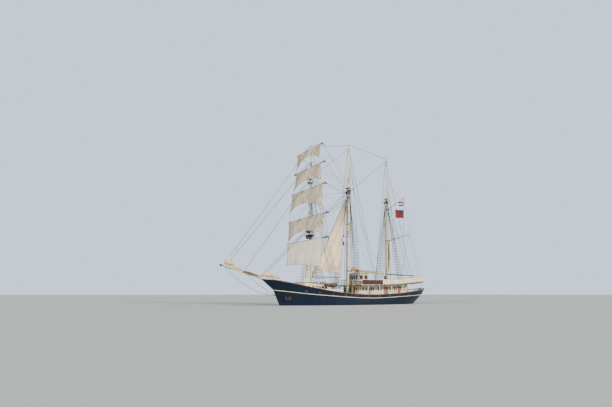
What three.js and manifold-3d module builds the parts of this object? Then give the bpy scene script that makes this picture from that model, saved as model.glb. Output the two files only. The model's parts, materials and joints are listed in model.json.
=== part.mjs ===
// Three-masted barquentine under sail, at half of its real size.
// X points to the bow, Y to port and Z up. The origin is amidships on the waterline.
// All sizes are written in metres of the real ship; SCALE turns them into model millimetres.

import * as THREE from 'three';
import { mergeVertices } from 'three/addons/utils/BufferGeometryUtils.js';
import Module from 'manifold-3d';

const wasm = await Module();
wasm.setup();

const SCALE = 500;            // model millimetres for each real metre, a 1:2 model
const GAP = 0.0008;           // fitting gap between pieces that touch
const V = (x, y, z) => new THREE.Vector3(x, y, z);

// Driving dimensions
const HALF_BEAM = 4.0;
const MAST_RAKE = 0.034;      // metres aft for each metre up
const FORE_X = 10.08;         // where each mast axis crosses the waterline
const MAIN_X = 0.95;
const MIZZEN_X = -9.11;

// Colours and finishes
const paint = (color, roughness = 0.5, metalness = 0) =>
  new THREE.MeshStandardMaterial({ color, roughness, metalness });
const NAVY = paint(0x142133, 0.35);
const RED_BOTTOM = paint(0x4a1c18, 0.6);
const CREAM = paint(0xe9e0c6, 0.5);
const WHITE = paint(0xeeeae0, 0.5);
const TEAK = paint(0x8a6237, 0.7);
const SPAR = paint(0xe3d5a8, 0.45);
const DARK_SPAR = paint(0x2a2622, 0.55);
const WIRE = paint(0x2c2c2e, 0.5, 0.4);
const CANVAS = paint(0xd9c7a2, 0.9);
const TAN_COVER = paint(0xb98f4c, 0.85);
const BRONZE = paint(0x8c6a35, 0.35, 0.9);
const IRON = paint(0x202225, 0.6, 0.5);
const FLAG_RED = paint(0x8e1c22, 0.8);

const ship = new THREE.Group();

function add(name, geometry, material, parent = ship) {
  const shape = geometry.clone();
  shape.scale(SCALE, SCALE, SCALE);
  const mesh = new THREE.Mesh(shape, material);
  mesh.name = name;
  parent.add(mesh);
}

// Joining and cutting
function bare(geometry) {
  const copy = geometry.clone();
  copy.deleteAttribute('normal');
  copy.deleteAttribute('uv');
  return copy;
}

function toSolid(geometry) {
  const merged = mergeVertices(bare(geometry), 1e-5);
  const mesh = new wasm.Mesh({
    numProp: 3,
    vertProperties: new Float32Array(merged.attributes.position.array),
    triVerts: new Uint32Array(merged.index.array),
  });
  return new wasm.Manifold(mesh);
}

function toGeometry(solid) {
  const mesh = solid.getMesh();
  const geometry = new THREE.BufferGeometry();
  geometry.setAttribute('position', new THREE.BufferAttribute(mesh.vertProperties, 3));
  geometry.setIndex(new THREE.BufferAttribute(mesh.triVerts, 1));
  return geometry;
}

// Fills the pinholes that rounding can leave inside a joined piece, and drops its crumbs
const SMALLEST_BODY = 1e-6;
const wholeBody = (solid) => wasm.Manifold.compose(solid.decompose().filter((body) => body.volume() > SMALLEST_BODY));
const join = (...pieces) => toGeometry(wholeBody(pieces.map(toSolid).reduce((a, b) => a.add(b))));
const cut = (piece, ...tools) => toGeometry(wholeBody(tools.map(toSolid).reduce((a, b) => a.subtract(b), toSolid(piece))));

// Copies of a piece moved by the fitting gap, which together stand a little proud of it
function grown(piece, rise = GAP) {
  const side = 2 * GAP;
  return [[side, side], [side, -side], [-side, side], [-side, -side]]
    .map(([x, y]) => piece.clone().translate(x, y, rise));
}

// The same piece on the ship's other side
function mirrorY(geometry) {
  const copy = mergeVertices(bare(geometry), 1e-5).scale(1, -1, 1);
  copy.setIndex(Array.from(copy.index.array).reverse());
  return copy;
}

// Basic shapes
function box(x0, x1, y0, y1, z0, z1) {
  const geometry = new THREE.BoxGeometry(x1 - x0, y1 - y0, z1 - z0);
  geometry.translate((x0 + x1) / 2, (y0 + y1) / 2, (z0 + z1) / 2);
  return geometry;
}

function rod(a, b, radiusA, radiusB = radiusA, sides = 8) {
  const along = b.clone().sub(a);
  const geometry = new THREE.CylinderGeometry(radiusB, radiusA, along.length(), sides);
  const turn = new THREE.Quaternion().setFromUnitVectors(V(0, 1, 0), along.clone().normalize());
  geometry.applyQuaternion(turn);
  geometry.translate(...a.clone().lerp(b, 0.5).toArray());
  return geometry;
}

// Distance of a six-sided rod's flats from its axis, as a share of its radius
const SIX_FLAT = Math.cos(Math.PI / 6);

// A turned shape on the Z axis from [radius, height] pairs that start and end on the axis
function turned(profile, sides = 12) {
  const geometry = new THREE.LatheGeometry(profile.map(([r, z]) => new THREE.Vector2(r, z)), sides);
  geometry.rotateX(Math.PI / 2);
  return geometry;
}

// A ring on the Z axis
function ring(inner, outer, z0, z1, sides = 12) {
  return turned([[inner, z0], [outer, z0], [outer, z1], [inner, z1], [inner, z0]], sides);
}

// Skins a row of equal closed loops; each loop's first half mirrors its second half
function loft(loops) {
  const count = loops[0].length;
  const points = loops.flat().flatMap((p) => [p.x, p.y, p.z]);
  const faces = [];
  const quad = (a, b, c, d) => faces.push(a, b, c, a, c, d);
  for (let i = 0; i < loops.length - 1; i += 1) {
    for (let j = 0; j < count; j += 1) {
      const next = (j + 1) % count;
      quad(i * count + j, i * count + next, (i + 1) * count + next, (i + 1) * count + j);
    }
  }
  const last = (loops.length - 1) * count;
  for (let j = 0; j < count / 2 - 1; j += 1) {
    quad(count - 1 - j, count - 2 - j, j + 1, j);
    quad(last + j, last + j + 1, last + count - 2 - j, last + count - 1 - j);
  }
  return facingOut(points, faces);
}

// Closed body from points and faces, turned so that its faces point outwards
function facingOut(points, faces) {
  const corner = (i) => V(points[3 * i], points[3 * i + 1], points[3 * i + 2]);
  let volume = 0;
  for (let i = 0; i < faces.length; i += 3) {
    volume += corner(faces[i]).dot(corner(faces[i + 1]).cross(corner(faces[i + 2])));
  }
  const geometry = new THREE.BufferGeometry();
  geometry.setAttribute('position', new THREE.Float32BufferAttribute(points, 3));
  geometry.setIndex(volume > 0 ? faces : faces.slice().reverse());
  return geometry;
}

const sorted = (a, b) => (a < b ? [a, b] : [b, a]);

// A thin curved wall between two equal grids of points
function slab(front, back) {
  const rows = front.length;
  const columns = front[0].length;
  const points = [...front.flat(), ...back.flat()].flatMap((p) => [p.x, p.y, p.z]);
  const at = (face, j, i) => face * rows * columns + j * columns + i;
  const faces = [];
  const quad = (a, b, c, d) => faces.push(a, b, c, a, c, d);
  for (let j = 0; j < rows - 1; j += 1) {
    for (let i = 0; i < columns - 1; i += 1) {
      quad(at(0, j, i), at(0, j + 1, i), at(0, j + 1, i + 1), at(0, j, i + 1));
      quad(at(1, j, i), at(1, j, i + 1), at(1, j + 1, i + 1), at(1, j + 1, i));
    }
  }
  for (let i = 0; i < columns - 1; i += 1) {
    quad(at(0, 0, i), at(0, 0, i + 1), at(1, 0, i + 1), at(1, 0, i));
    quad(at(0, rows - 1, i + 1), at(0, rows - 1, i), at(1, rows - 1, i), at(1, rows - 1, i + 1));
  }
  for (let j = 0; j < rows - 1; j += 1) {
    quad(at(0, j + 1, 0), at(0, j, 0), at(1, j, 0), at(1, j + 1, 0));
    quad(at(0, j, columns - 1), at(0, j + 1, columns - 1), at(1, j + 1, columns - 1), at(1, j, columns - 1));
  }
  return facingOut(points, faces);
}

// Smooth curve through a table's rows: first column is the position, `column` the value
function along(table, at, column = 1) {
  const last = table.length - 1;
  const i = Math.min(Math.max(table.findIndex((row) => row[0] > at) - 1, 0), last - 1);
  const row = at >= table[last][0] ? last - 1 : i;
  const [x0, x1] = [table[row][0], table[row + 1][0]];
  const [y0, y1] = [table[row][column], table[row + 1][column]];
  const before = table[Math.max(row - 1, 0)];
  const after = table[Math.min(row + 2, last)];
  const slope0 = (y1 - before[column]) / (x1 - before[0]);
  const slope1 = (after[column] - y0) / (after[0] - x0);
  const t = (at - x0) / (x1 - x0);
  const span = x1 - x0;
  const h00 = 2 * t ** 3 - 3 * t ** 2 + 1;
  const h10 = t ** 3 - 2 * t ** 2 + t;
  const h01 = -2 * t ** 3 + 3 * t ** 2;
  const h11 = t ** 3 - t ** 2;
  return h00 * y0 + h10 * span * slope0 + h01 * y1 + h11 * span * slope1;
}

// Hull form
// columns: x, height of the rail top, height of the deck edge
const SHEER = [
  [-19.1, 3.30, 2.05],
  [-15.4, 2.86, 1.92],
  [-9.6, 2.27, 1.64],
  [-3.5, 1.97, 1.37],
  [1.5, 2.06, 1.45],
  [5.8, 2.44, 1.72],
  [10.9, 3.24, 2.12],
  [16.4, 4.28, 2.76],
  [19.4, 4.62, 3.16],
];
// columns: height, x of the stem, x of the stern
const PROFILE = [
  [-3.6, 12.3, -13.4],
  [-2.4, 14.1, -13.4],
  [-1.3, 15.0, -13.4],
  [0.0, 15.55, -16.15],
  [1.0, 16.03, -17.3],
  [2.0, 16.4, -18.3],
  [3.0, 17.25, -18.95],
  [3.8, 18.6, -19.2],
  [4.6, 19.25, -19.3],
];
const railTop = (x) => along(SHEER, x, 1);
const deckTop = (x) => along(SHEER, x, 2);
const keelLine = (x) => -3.15 + 0.022 * x;
const STATIONS = [-1, -0.985, -0.95, -0.88, -0.76, -0.6, -0.4, -0.15, 0.1, 0.35, 0.55, 0.7, 0.82, 0.91, 0.965, 1];
const STEM_HALF = 0.06;
// columns: half breadth, fore power, fore fullness, aft power, aft fullness
const PLAN = {
  keel: [0.16, 2.0, 1.0, 2.0, 1.0],
  bilge: [2.2, 1.7, 1.5, 1.8, 1.9],
  turn: [3.5, 1.9, 1.2, 2.0, 1.35],
  water: [3.88, 2.1, 0.95, 2.6, 0.9],
  topside: [3.97, 2.3, 0.8, 3.4, 0.68],
  deck: [HALF_BEAM, 2.5, 0.7, 4.0, 0.58],
  rail: [HALF_BEAM + 0.02, 2.8, 0.62, 4.6, 0.54],
};

function profileX(s, z) {
  return s > 0 ? s * along(PROFILE, z, 1) : -s * along(PROFILE, z, 2);
}

function halfBreadth(s, plan) {
  const [breadth, forePower, foreFull, aftPower, aftFull] = PLAN[plan];
  const power = s > 0 ? forePower : aftPower;
  const full = s > 0 ? foreFull : aftFull;
  return Math.max(breadth * (1 - Math.abs(s) ** power) ** full, STEM_HALF);
}

// Point of the moulded hull at station s, where height is a function of x
function hullPoint(s, plan, heightAt) {
  let z = heightAt(s * 17);
  for (let pass = 0; pass < 4; pass += 1) z = heightAt(profileX(s, z));
  return V(profileX(s, z), halfBreadth(s, plan), z);
}

const mirrored = (half) => [...half, ...half.slice().reverse().map((p) => V(p.x, -p.y, p.z))];

const HULL_ROWS = [
  ['keel', (x) => keelLine(x)],
  ['bilge', (x) => keelLine(x) * 0.72],
  ['turn', (x) => keelLine(x) * 0.38],
  ['water', () => 0],
  ['topside', (x) => deckTop(x) * 0.55],
  ['deck', (x) => deckTop(x)],
];
const hullSections = STATIONS.map((s) => HULL_ROWS.map(([plan, height]) => hullPoint(s, plan, height)));
const hullBody = loft(hullSections.map(mirrored));

// Underwater gear
const SHAFT_Z = -2.35;
const STERN_TUBE_X = -13.5;
const RUDDER_X = -14.6;
const TRUNK_Z = -0.95;
const SHOE_Z = -3.38;
const sternTube = rod(V(-12.9, 0, SHAFT_Z), V(STERN_TUBE_X, 0, SHAFT_Z), 0.2, 0.2, 12);
const rudderTrunk = rod(V(RUDDER_X, 0, TRUNK_Z), V(RUDDER_X, 0, 0.6), 0.17, 0.17, 12);

const keelLoop = (x, half) => mirrored([
  V(x, half, keelLine(x) - 0.32),
  V(x, half, keelLine(x) + 0.05),
]);
const keelBar = loft([keelLoop(-15.0, 0.12), keelLoop(-13.0, 0.16), keelLoop(11.0, 0.16), keelLoop(12.2, 0.1)]);
const heelBearing = rod(V(RUDDER_X, 0, SHOE_Z - 0.2), V(RUDDER_X, 0, SHOE_Z), 0.16, 0.16, 12);
const keelShoe = join(keelBar, heelBearing);

const rudderBlade = loft([[-14.42, 0.09], [-14.8, 0.1], [-15.5, 0.05], [-16.0, 0.02]].map(([x, half]) => mirrored([
  V(x, half, SHOE_Z + 0.08),
  V(x, half, TRUNK_Z - 0.12),
])));
const rudderStock = rod(V(RUDDER_X, 0, SHOE_Z + GAP), V(RUDDER_X, 0, TRUNK_Z - GAP), 0.12, 0.12, 12);
add('rudder', join(rudderBlade, rudderStock), RED_BOTTOM);

const PROPELLER_BLADES = 4;
const PROPELLER_RADIUS = 0.72;
const hub = rod(V(STERN_TUBE_X - GAP, 0, SHAFT_Z), V(STERN_TUBE_X - 0.48, 0, SHAFT_Z), 0.16, 0.1, 12);
const blades = [];
for (let i = 0; i < PROPELLER_BLADES; i += 1) {
  const blade = new THREE.SphereGeometry(1, 10, 6);
  blade.scale(0.035, 0.24, PROPELLER_RADIUS / 2);
  blade.rotateZ(0.6);
  blade.translate(0, 0, PROPELLER_RADIUS / 2);
  blade.rotateX((i * 2 * Math.PI) / PROPELLER_BLADES);
  blade.translate(STERN_TUBE_X - 0.22, 0, SHAFT_Z);
  blades.push(blade);
}
add('propeller', join(hub, ...blades), BRONZE);

// Bulwark, rail cap and the moulding along the deck edge
const CAP_HEIGHT = 0.1;
const BULWARK_THICKNESS = 0.12;
const bulwarkTop = (x) => railTop(x) - CAP_HEIGHT;
const lowEdge = STATIONS.map((s) => hullPoint(s, 'deck', deckTop));
const highEdge = STATIONS.map((s) => hullPoint(s, 'rail', bulwarkTop));

// Moves a deck-edge curve sideways by `distance`, outwards when positive; an end may be sharp or square
const SHARP_END = 0.5;
const BOW_STEP = 2.6;
function offsetEdge(edge, distance) {
  return edge.map((p, i) => {
    const a = edge[Math.max(i - 1, 0)];
    const b = edge[Math.min(i + 1, edge.length - 1)];
    const isBow = i === edge.length - 1;
    const isStern = i === 0;
    if (isBow || isStern) {
      const isSharp = p.y < SHARP_END;
      const inward = isBow && isSharp && distance < 0 ? BOW_STEP * distance : distance;
      return V(p.x + (isBow ? inward : -inward), isSharp ? Math.max(p.y, 0.004) : p.y + distance, p.z);
    }
    const out = V(-(b.y - a.y), b.x - a.x, 0).normalize();
    return V(p.x + out.x * distance, Math.max(p.y + out.y * distance, 0.004), p.z);
  });
}

// Solid between two edges of the ship's plan
function between(low, high) {
  return loft(low.map((p, i) => mirrored([p, high[i]])));
}

const lifted = (edge, rise) => edge.map((p) => V(p.x, p.y, p.z + rise));
const bulwarkOutside = between(lifted(lowEdge, GAP), highEdge);
const innerLow = offsetEdge(lowEdge, -BULWARK_THICKNESS);
const innerHigh = offsetEdge(highEdge, -BULWARK_THICKNESS);
const blend = (share) => innerLow.map((low, i) => low.clone().lerp(innerHigh[i], share));
const bulwarkCore = between(blend(-0.1), blend(1.1));

const BOWSPRIT_HEEL = V(15.6, 0, 3.82);
const BOWSPRIT_TIP = V(26.7, 0, 6.72);
const BOWSPRIT_RADIUS = 0.21;
const bowspritLine = BOWSPRIT_TIP.clone().sub(BOWSPRIT_HEEL).normalize();
const onBowsprit = (x) => BOWSPRIT_HEEL.clone().addScaledVector(bowspritLine, (x - BOWSPRIT_HEEL.x) / bowspritLine.x);
const bowspritWay = rod(onBowsprit(15.0), onBowsprit(22.0), BOWSPRIT_RADIUS + GAP, BOWSPRIT_RADIUS + GAP, 12);
add('bulwark', cut(bulwarkOutside, bulwarkCore, bowspritWay), NAVY);

const capEdge = offsetEdge(highEdge, 0.06);
const capInner = offsetEdge(highEdge, -0.22);
const capSlab = between(lifted(capEdge, -0.03), lifted(capEdge, CAP_HEIGHT));
const capHole = between(lifted(capInner, -0.4), lifted(capInner, 0.4));
add('rail_cap', cut(capSlab, capHole, ...grown(bulwarkOutside), bowspritWay), DARK_SPAR);

// The moulding runs round the hull just under the deck edge
const MOULDING_DEPTH = 0.05;
const hullRow = (level) => hullSections.map((section) => section[level]);
const grownRows = HULL_ROWS.map((row, level) => offsetEdge(hullRow(level), GAP));
const grownHull = loft(STATIONS.map((s, i) => mirrored(grownRows.map((row) => row[i]))));
const mouldingEdge = (share) => offsetEdge(
  hullRow(4).map((low, i) => low.clone().lerp(hullRow(5)[i], share)),
  MOULDING_DEPTH,
);
const mouldingBand = cut(between(mouldingEdge(0.78), mouldingEdge(0.97)), grownHull);
add('moulding', mouldingBand, CREAM);

// Masts stand in raked groups: in each, Z runs up the mast and the origin is on the waterline
const RAKE_ANGLE = Math.atan(MAST_RAKE);
function rakedGroup(x) {
  const group = new THREE.Group();
  group.position.set(x * SCALE, 0, 0);
  group.rotation.y = -RAKE_ANGLE;
  ship.add(group);
  return group;
}
const raked = (geometry, x) => geometry.clone().rotateY(-RAKE_ANGLE).translate(x, 0, 0);
const onMast = (x, height) => V(x - Math.sin(RAKE_ANGLE) * height, 0, Math.cos(RAKE_ANGLE) * height);
const foreRig = rakedGroup(FORE_X);
const mainRig = rakedGroup(MAIN_X);
const mizzenRig = rakedGroup(MIZZEN_X);

// columns: height, radius; a repeated height is the step at a doubling
const FORE_TAPER = [[4.42, 0.24], [13.0, 0.2], [13.0, 0.15], [23.4, 0.12], [23.4, 0.09], [30.9, 0.06]];
const MAIN_TAPER = [[1.72, 0.26], [22.9, 0.19], [22.9, 0.13], [32.8, 0.07]];
const MIZZEN_TAPER = [[4.22, 0.23], [21.8, 0.17], [21.8, 0.11], [31.35, 0.06]];
function mastRadius(taper, height) {
  const i = taper.findIndex((row, n) => n > 0 && height <= row[0] && height >= taper[n - 1][0]);
  const [h0, r0] = taper[i - 1];
  const [h1, r1] = taper[i];
  return r0 + ((r1 - r0) * (height - h0)) / (h1 - h0);
}
function mastPole(taper) {
  const base = taper[0][0] + GAP;
  const top = taper[taper.length - 1][0];
  const sides = taper.map(([height, radius]) => [radius, Math.max(height, base)]);
  return turned([[0, base], ...sides, [0.09, top], [0.09, top + 0.09], [0, top + 0.09]], 12);
}
const step = (height, radius = 0.42) => turned([[0, height - 0.75], [radius, height - 0.75], [radius, height], [0, height]]);

// Hull with the mast step of the main mast on its deck
const mainStep = raked(step(MAIN_TAPER[0][0]), MAIN_X);
const onDeck = (piece) => cut(piece, ...grown(hullBody));

// Bowsprit with its bitts, windlass and anchors
const bowspritSpar = join(
  rod(BOWSPRIT_HEEL, onBowsprit(21.5), BOWSPRIT_RADIUS, BOWSPRIT_RADIUS, 12),
  rod(onBowsprit(21.4), BOWSPRIT_TIP, 0.19, 0.12, 12),
  new THREE.SphereGeometry(0.2, 12, 8).translate(...BOWSPRIT_TIP.toArray()),
);
add('bowsprit', bowspritSpar, SPAR);
const bitts = join(
  box(15.25, 15.6 - GAP, -0.42, 0.42, 2.2, 4.05),
  box(15.5, 15.95, -0.42, -0.24, 2.2, 4.35),
  box(15.5, 15.95, 0.24, 0.42, 2.2, 4.35),
  box(15.5, 15.95, -0.42, 0.42, 2.2, 3.5),
);
const clearBitts = cut(bitts, ...grown(bowspritSpar, -GAP), ...grown(bowspritSpar));
add('hull', join(hullBody, keelShoe, sternTube, rudderTrunk, mainStep, clearBitts), NAVY);
const windlass = join(
  box(13.3, 14.1, -0.85, -0.7, 2.0, 3.35),
  box(13.3, 14.1, 0.7, 0.85, 2.0, 3.35),
  box(13.3, 14.1, -0.85, 0.85, 2.0, 2.65),
  rod(V(13.7, -1.3, 3.1), V(13.7, 1.3, 3.1), 0.22, 0.22, 10),
);
add('windlass', onDeck(windlass), IRON);

const ANCHOR_STATION = 0.9;
const hawseFoot = hullPoint(ANCHOR_STATION, 'topside', HULL_ROWS[4][1]);
const hawseAft = hullPoint(ANCHOR_STATION - 0.04, 'topside', HULL_ROWS[4][1]);
const hawseAngle = Math.atan2(hawseFoot.y - hawseAft.y, hawseFoot.x - hawseAft.x);
for (const [side, name] of [[1, 'anchor_port'], [-1, 'anchor_starboard']]) {
  const stowed = join(
    box(-0.07, 0.07, -0.2, 0.16, -0.35, 0.45),
    box(-0.5, 0.5, -0.2, 0.14, -0.5, -0.3),
    box(-0.5, -0.34, -0.2, 0.12, -0.4, 0.15),
    box(0.34, 0.5, -0.2, 0.12, -0.4, 0.15),
  );
  stowed.rotateZ(hawseAngle).translate(hawseFoot.x, hawseFoot.y, hawseFoot.z + 0.1);
  add(name, cut(side > 0 ? stowed : mirrorY(stowed), ...grown(hullBody)), IRON);
}

// Deckhouses
// A house between two x positions, its roof and floor following two heights at each end
function house(x0, x1, half, roof0, roof1, floor) {
  return loft([[x0, roof0], [x1, roof1]].map(([x, roof]) => mirrored([V(x, half, floor), V(x, half, roof)])));
}
const eaves = (x0, x1, half, roof0, roof1) => loft([[x0, roof0], [x1, roof1]].map(([x, roof]) => mirrored([
  V(x, half, roof),
  V(x, half, roof + 0.1),
])));
const FORE_HOUSE = { aft: 7.5, fore: 11.5, half: 1.75, roofAft: 3.82, roofFore: 4.05 };
const foreStep = raked(step(FORE_TAPER[0][0]), FORE_X);
const foreHouseBody = onDeck(join(
  house(FORE_HOUSE.aft, FORE_HOUSE.fore, FORE_HOUSE.half, FORE_HOUSE.roofAft, FORE_HOUSE.roofFore, 1.5),
  eaves(FORE_HOUSE.aft - 0.15, FORE_HOUSE.fore + 0.15, FORE_HOUSE.half + 0.15, FORE_HOUSE.roofAft, FORE_HOUSE.roofFore),
  foreStep,
));
add('fore_deckhouse', foreHouseBody, CREAM);
const SKYLIGHT_TOP = 3.0;
add('midship_trunk', onDeck(house(3.0, 6.9, 1.35, SKYLIGHT_TOP, SKYLIGHT_TOP, 1.2)), WHITE);

// Ship's tender on two chocks on the trunk
const TENDER_KEEL = SKYLIGHT_TOP + 0.25;
const tenderSections = [
  // x, half breadth, keel height, gunwale height
  [3.5, 0.5, 0.12, 0.72],
  [4.2, 0.68, 0.02, 0.66],
  [5.6, 0.74, 0.0, 0.66],
  [6.6, 0.45, 0.1, 0.74],
  [7.1, 0.05, 0.3, 0.84],
].map(([x, half, low, high]) => mirrored([
  V(x, 0.12 * half, TENDER_KEEL + low),
  V(x, 0.75 * half, TENDER_KEEL + low + 0.18),
  V(x, half, TENDER_KEEL + high),
]));
const tenderBody = loft(tenderSections);
const chocks = join(
  box(4.1, 4.25, -0.6, 0.6, SKYLIGHT_TOP + GAP, TENDER_KEEL + 0.3),
  box(5.9, 6.05, -0.5, 0.5, SKYLIGHT_TOP + GAP, TENDER_KEEL + 0.3),
);
add('tender', join(tenderBody, chocks), DARK_SPAR);

// Upper deck on its posts, with the lower house under it
// columns: x, height of the upper deck
const UPPER_DECK = [[0.3, 3.70], [-4.0, 3.72], [-10.0, 3.96], [-15.0, 4.36], [-17.8, 4.64]].reverse();
const upperTop = (x) => along(UPPER_DECK, x, 1);
const UPPER_STATIONS = [-17.8, -17.3, -16.4, -15, -12.5, -10, -7, -4, 0.3];
const UPPER_THICKNESS = 0.14;
const railHalfAt = (x) => halfBreadth(x / Math.abs(profileX(Math.sign(x), railTop(x))), 'rail');
const upperHalf = (x) => Math.min(railHalfAt(x) - 0.02, 3.94);
const upperEdge = UPPER_STATIONS.map((x) => V(x, upperHalf(x), upperTop(x)));
const upperSlab = between(lifted(upperEdge, -UPPER_THICKNESS), upperEdge);
const mizzenStep = raked(step(MIZZEN_TAPER[0][0]), MIZZEN_X);
const LOWER_HOUSE = { aft: -12.6, fore: 0.1, half: 2.35 };
const lowerHouse = loft([LOWER_HOUSE.aft, -10, -7, -4, LOWER_HOUSE.fore].map((x) => mirrored([
  V(x, LOWER_HOUSE.half, 1.0),
  V(x, LOWER_HOUSE.half, upperTop(x) - 0.05),
])));
const upperGrown = grown(upperSlab, -GAP);
const stepGrown = grown(mizzenStep, -GAP);
add('lower_deckhouse', onDeck(cut(lowerHouse, ...upperGrown, ...stepGrown)), CREAM);

const POST_STATIONS = [-16.4, -14.6, -12.5, -10, -7, -4, -1.2];
const posts = POST_STATIONS.flatMap((x) => [1, -1].map((side) => {
  const y = side * (upperHalf(x) - 0.1);
  return rod(V(x, y, railTop(x) - 0.03), V(x, y, upperTop(x) - 0.05), 0.05, 0.05, 6);
}));
const upperStructure = join(upperSlab, mizzenStep, ...posts);

// Guard rail round the upper deck, with a weather cloth inside it on each side
const RAIL_HEIGHT = 1.05;
const RAIL_HALF = 0.035;
const railLine = offsetEdge(upperEdge, -0.1).map((p) => V(p.x, p.y, upperTop(p.x)));
const railBand = (low, high) => cut(
  between(lifted(offsetEdge(railLine, RAIL_HALF), low), lifted(offsetEdge(railLine, RAIL_HALF), high)),
  between(lifted(offsetEdge(railLine, -RAIL_HALF), low - 0.2), lifted(offsetEdge(railLine, -RAIL_HALF), high + 0.2)),
);
const railPosts = railLine.flatMap((p) => [1, -1].map((side) => rod(
  V(p.x, side * p.y, p.z - 0.1), V(p.x, side * p.y, p.z + RAIL_HEIGHT - 0.02), 0.03, 0.03, 4,
)));
const guardRail = join(railBand(RAIL_HEIGHT - 0.06, RAIL_HEIGHT), railBand(0.5, 0.54), ...railPosts);
add('upper_guard_rail', cut(guardRail, ...grown(upperSlab)), WHITE);
const clothLine = offsetEdge(railLine, -RAIL_HALF - GAP);
for (const [side, name] of [[1, 'weather_cloth_port'], [-1, 'weather_cloth_starboard']]) {
  const face = (inset) => [0.95, 0.12].map((rise) => offsetEdge(clothLine, -inset).slice(0, -1)
    .map((p, i) => V(p.x, side * p.y, railLine[i].z + rise)));
  add(name, slab(face(0), face(0.025)), FLAG_RED);
}

// Hollow wheelhouse with its windows cut, two doors and the helm inside
const WHEELHOUSE = { aft: -3.0, fore: -0.6, half: 1.7, wall: 0.1, roof: 5.95 };
const SILL = 4.72;
const HEAD = 5.66;
const wheelBox = (inset, low, high) => box(
  WHEELHOUSE.aft + inset, WHEELHOUSE.fore - inset, -WHEELHOUSE.half + inset, WHEELHOUSE.half - inset, low, high,
);
const frontWindows = [-1.12, -0.37, 0.37, 1.12].map((y) => box(-0.9, -0.3, y - 0.31, y + 0.31, SILL, HEAD));
const aftWindows = [-1.0, 0, 1.0].map((y) => box(-3.3, -2.7, y - 0.36, y + 0.36, SILL, HEAD));
const sideWindow = box(-1.72, -0.82, -2, 2, SILL, HEAD);
const DOORWAY = { aft: -2.72, fore: -1.98, low: 3.8, high: 5.7 };
const doorHole = box(DOORWAY.aft, DOORWAY.fore, -2, 2, DOORWAY.low, DOORWAY.high);
const wheelWalls = cut(
  wheelBox(0, 3.62, WHEELHOUSE.roof),
  wheelBox(WHEELHOUSE.wall, 3.0, WHEELHOUSE.roof + 0.5),
  ...frontWindows, ...aftWindows, sideWindow, doorHole,
);
// Doors hang on pins at their fore edges; each pin stands on a lug of the wheelhouse wall
const DOOR = { thick: 0.05, pin: 0.02, off: 0.05 };
const DOOR_PIN = { x: DOORWAY.fore + 0.03, y: WHEELHOUSE.half + DOOR.off };
const pinEye = (radius) => (radius + GAP) / Math.cos(Math.PI / 16);
const upright = (x, y, z0, z1, radius, sides = 16) => rod(V(x, y, z0), V(x, y, z1), radius, radius, sides);
const hingeLugs = (side) => [DOORWAY.low + 0.2, DOORWAY.high - 0.3].flatMap((z) => [
  box(DOOR_PIN.x - 0.02, DOOR_PIN.x + 0.06, ...sorted(side * (WHEELHOUSE.half - 0.05), side * DOOR_PIN.y), z - 0.06, z - 0.02),
  upright(DOOR_PIN.x, side * DOOR_PIN.y, z - 0.06, z - 0.02, 0.04),
  upright(DOOR_PIN.x, side * DOOR_PIN.y, z - 0.04, z + 0.06, DOOR.pin),
]);
function doorLeaf(side) {
  const inner = side * (WHEELHOUSE.half + 0.02);
  const outer = side * (WHEELHOUSE.half + 0.02 + DOOR.thick);
  const leaf = cut(
    box(DOORWAY.aft - 0.06, DOOR_PIN.x - 0.06, ...sorted(inner, outer), DOORWAY.low + 0.1, DOORWAY.high - 0.05),
    box(DOORWAY.aft + 0.12, DOORWAY.fore - 0.14, ...sorted(side, side * 2.2), SILL, HEAD - 0.15),
  );
  const eyes = [DOORWAY.low + 0.2, DOORWAY.high - 0.3].map((z) => cut(
    join(
      upright(DOOR_PIN.x, side * DOOR_PIN.y, z - 0.02 + GAP, z + 0.06, 0.042),
      box(DOOR_PIN.x - 0.12, DOOR_PIN.x, ...sorted(side * (DOOR_PIN.y - 0.02), side * (DOOR_PIN.y + 0.015)), z - 0.02 + GAP, z + 0.06),
    ),
    upright(DOOR_PIN.x, side * DOOR_PIN.y, z - 0.1, z + 0.1, pinEye(DOOR.pin)),
  ));
  return join(leaf, ...eyes);
}
const wheelhouseRoof = box(-3.15, -0.42, -1.86, 1.86, WHEELHOUSE.roof - 0.02, WHEELHOUSE.roof + 0.1);
const wheelhouseShell = join(wheelWalls, wheelhouseRoof, ...hingeLugs(1), ...hingeLugs(-1));
add('wheelhouse', cut(wheelhouseShell, ...grown(upperSlab)), WHITE);
add('wheelhouse_door_port', doorLeaf(1), TEAK);
add('wheelhouse_door_starboard', doorLeaf(-1), TEAK);

// Helm: a pedestal on the upper deck with a shaft, and the spoked wheel on it
const HELM = { x: -1.15, z: 4.72, radius: 0.42 };
const pedestal = join(
  box(HELM.x + 0.1, HELM.x + 0.4, -0.16, 0.16, 3.65, HELM.z + 0.14),
  rod(V(HELM.x + 0.2, 0, HELM.z), V(HELM.x - 0.1, 0, HELM.z), 0.03, 0.03, 16),
);
add('helm_pedestal', cut(pedestal, ...grown(upperSlab)), TEAK);
const helmSpokes = Array.from({ length: 4 }, (_, i) => {
  const reach = V(0, Math.cos((i * Math.PI) / 4), Math.sin((i * Math.PI) / 4)).multiplyScalar(HELM.radius + 0.14);
  const hubCentre = V(HELM.x, 0, HELM.z);
  return rod(hubCentre.clone().sub(reach), hubCentre.clone().add(reach), 0.02, 0.02, 4);
});
const helmRim = new THREE.TorusGeometry(HELM.radius, 0.03, 5, 16).rotateY(Math.PI / 2).translate(HELM.x, 0, HELM.z);
const helmHub = rod(V(HELM.x + 0.1 - GAP, 0, HELM.z), V(HELM.x - 0.06, 0, HELM.z), 0.08, 0.08, 12);
const helmBore = rod(V(HELM.x + 0.3, 0, HELM.z), V(HELM.x - 0.3, 0, HELM.z), pinEye(0.03), pinEye(0.03), 16);
add('helm_wheel', cut(join(helmHub, helmRim, ...helmSpokes), helmBore), TEAK);

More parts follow.
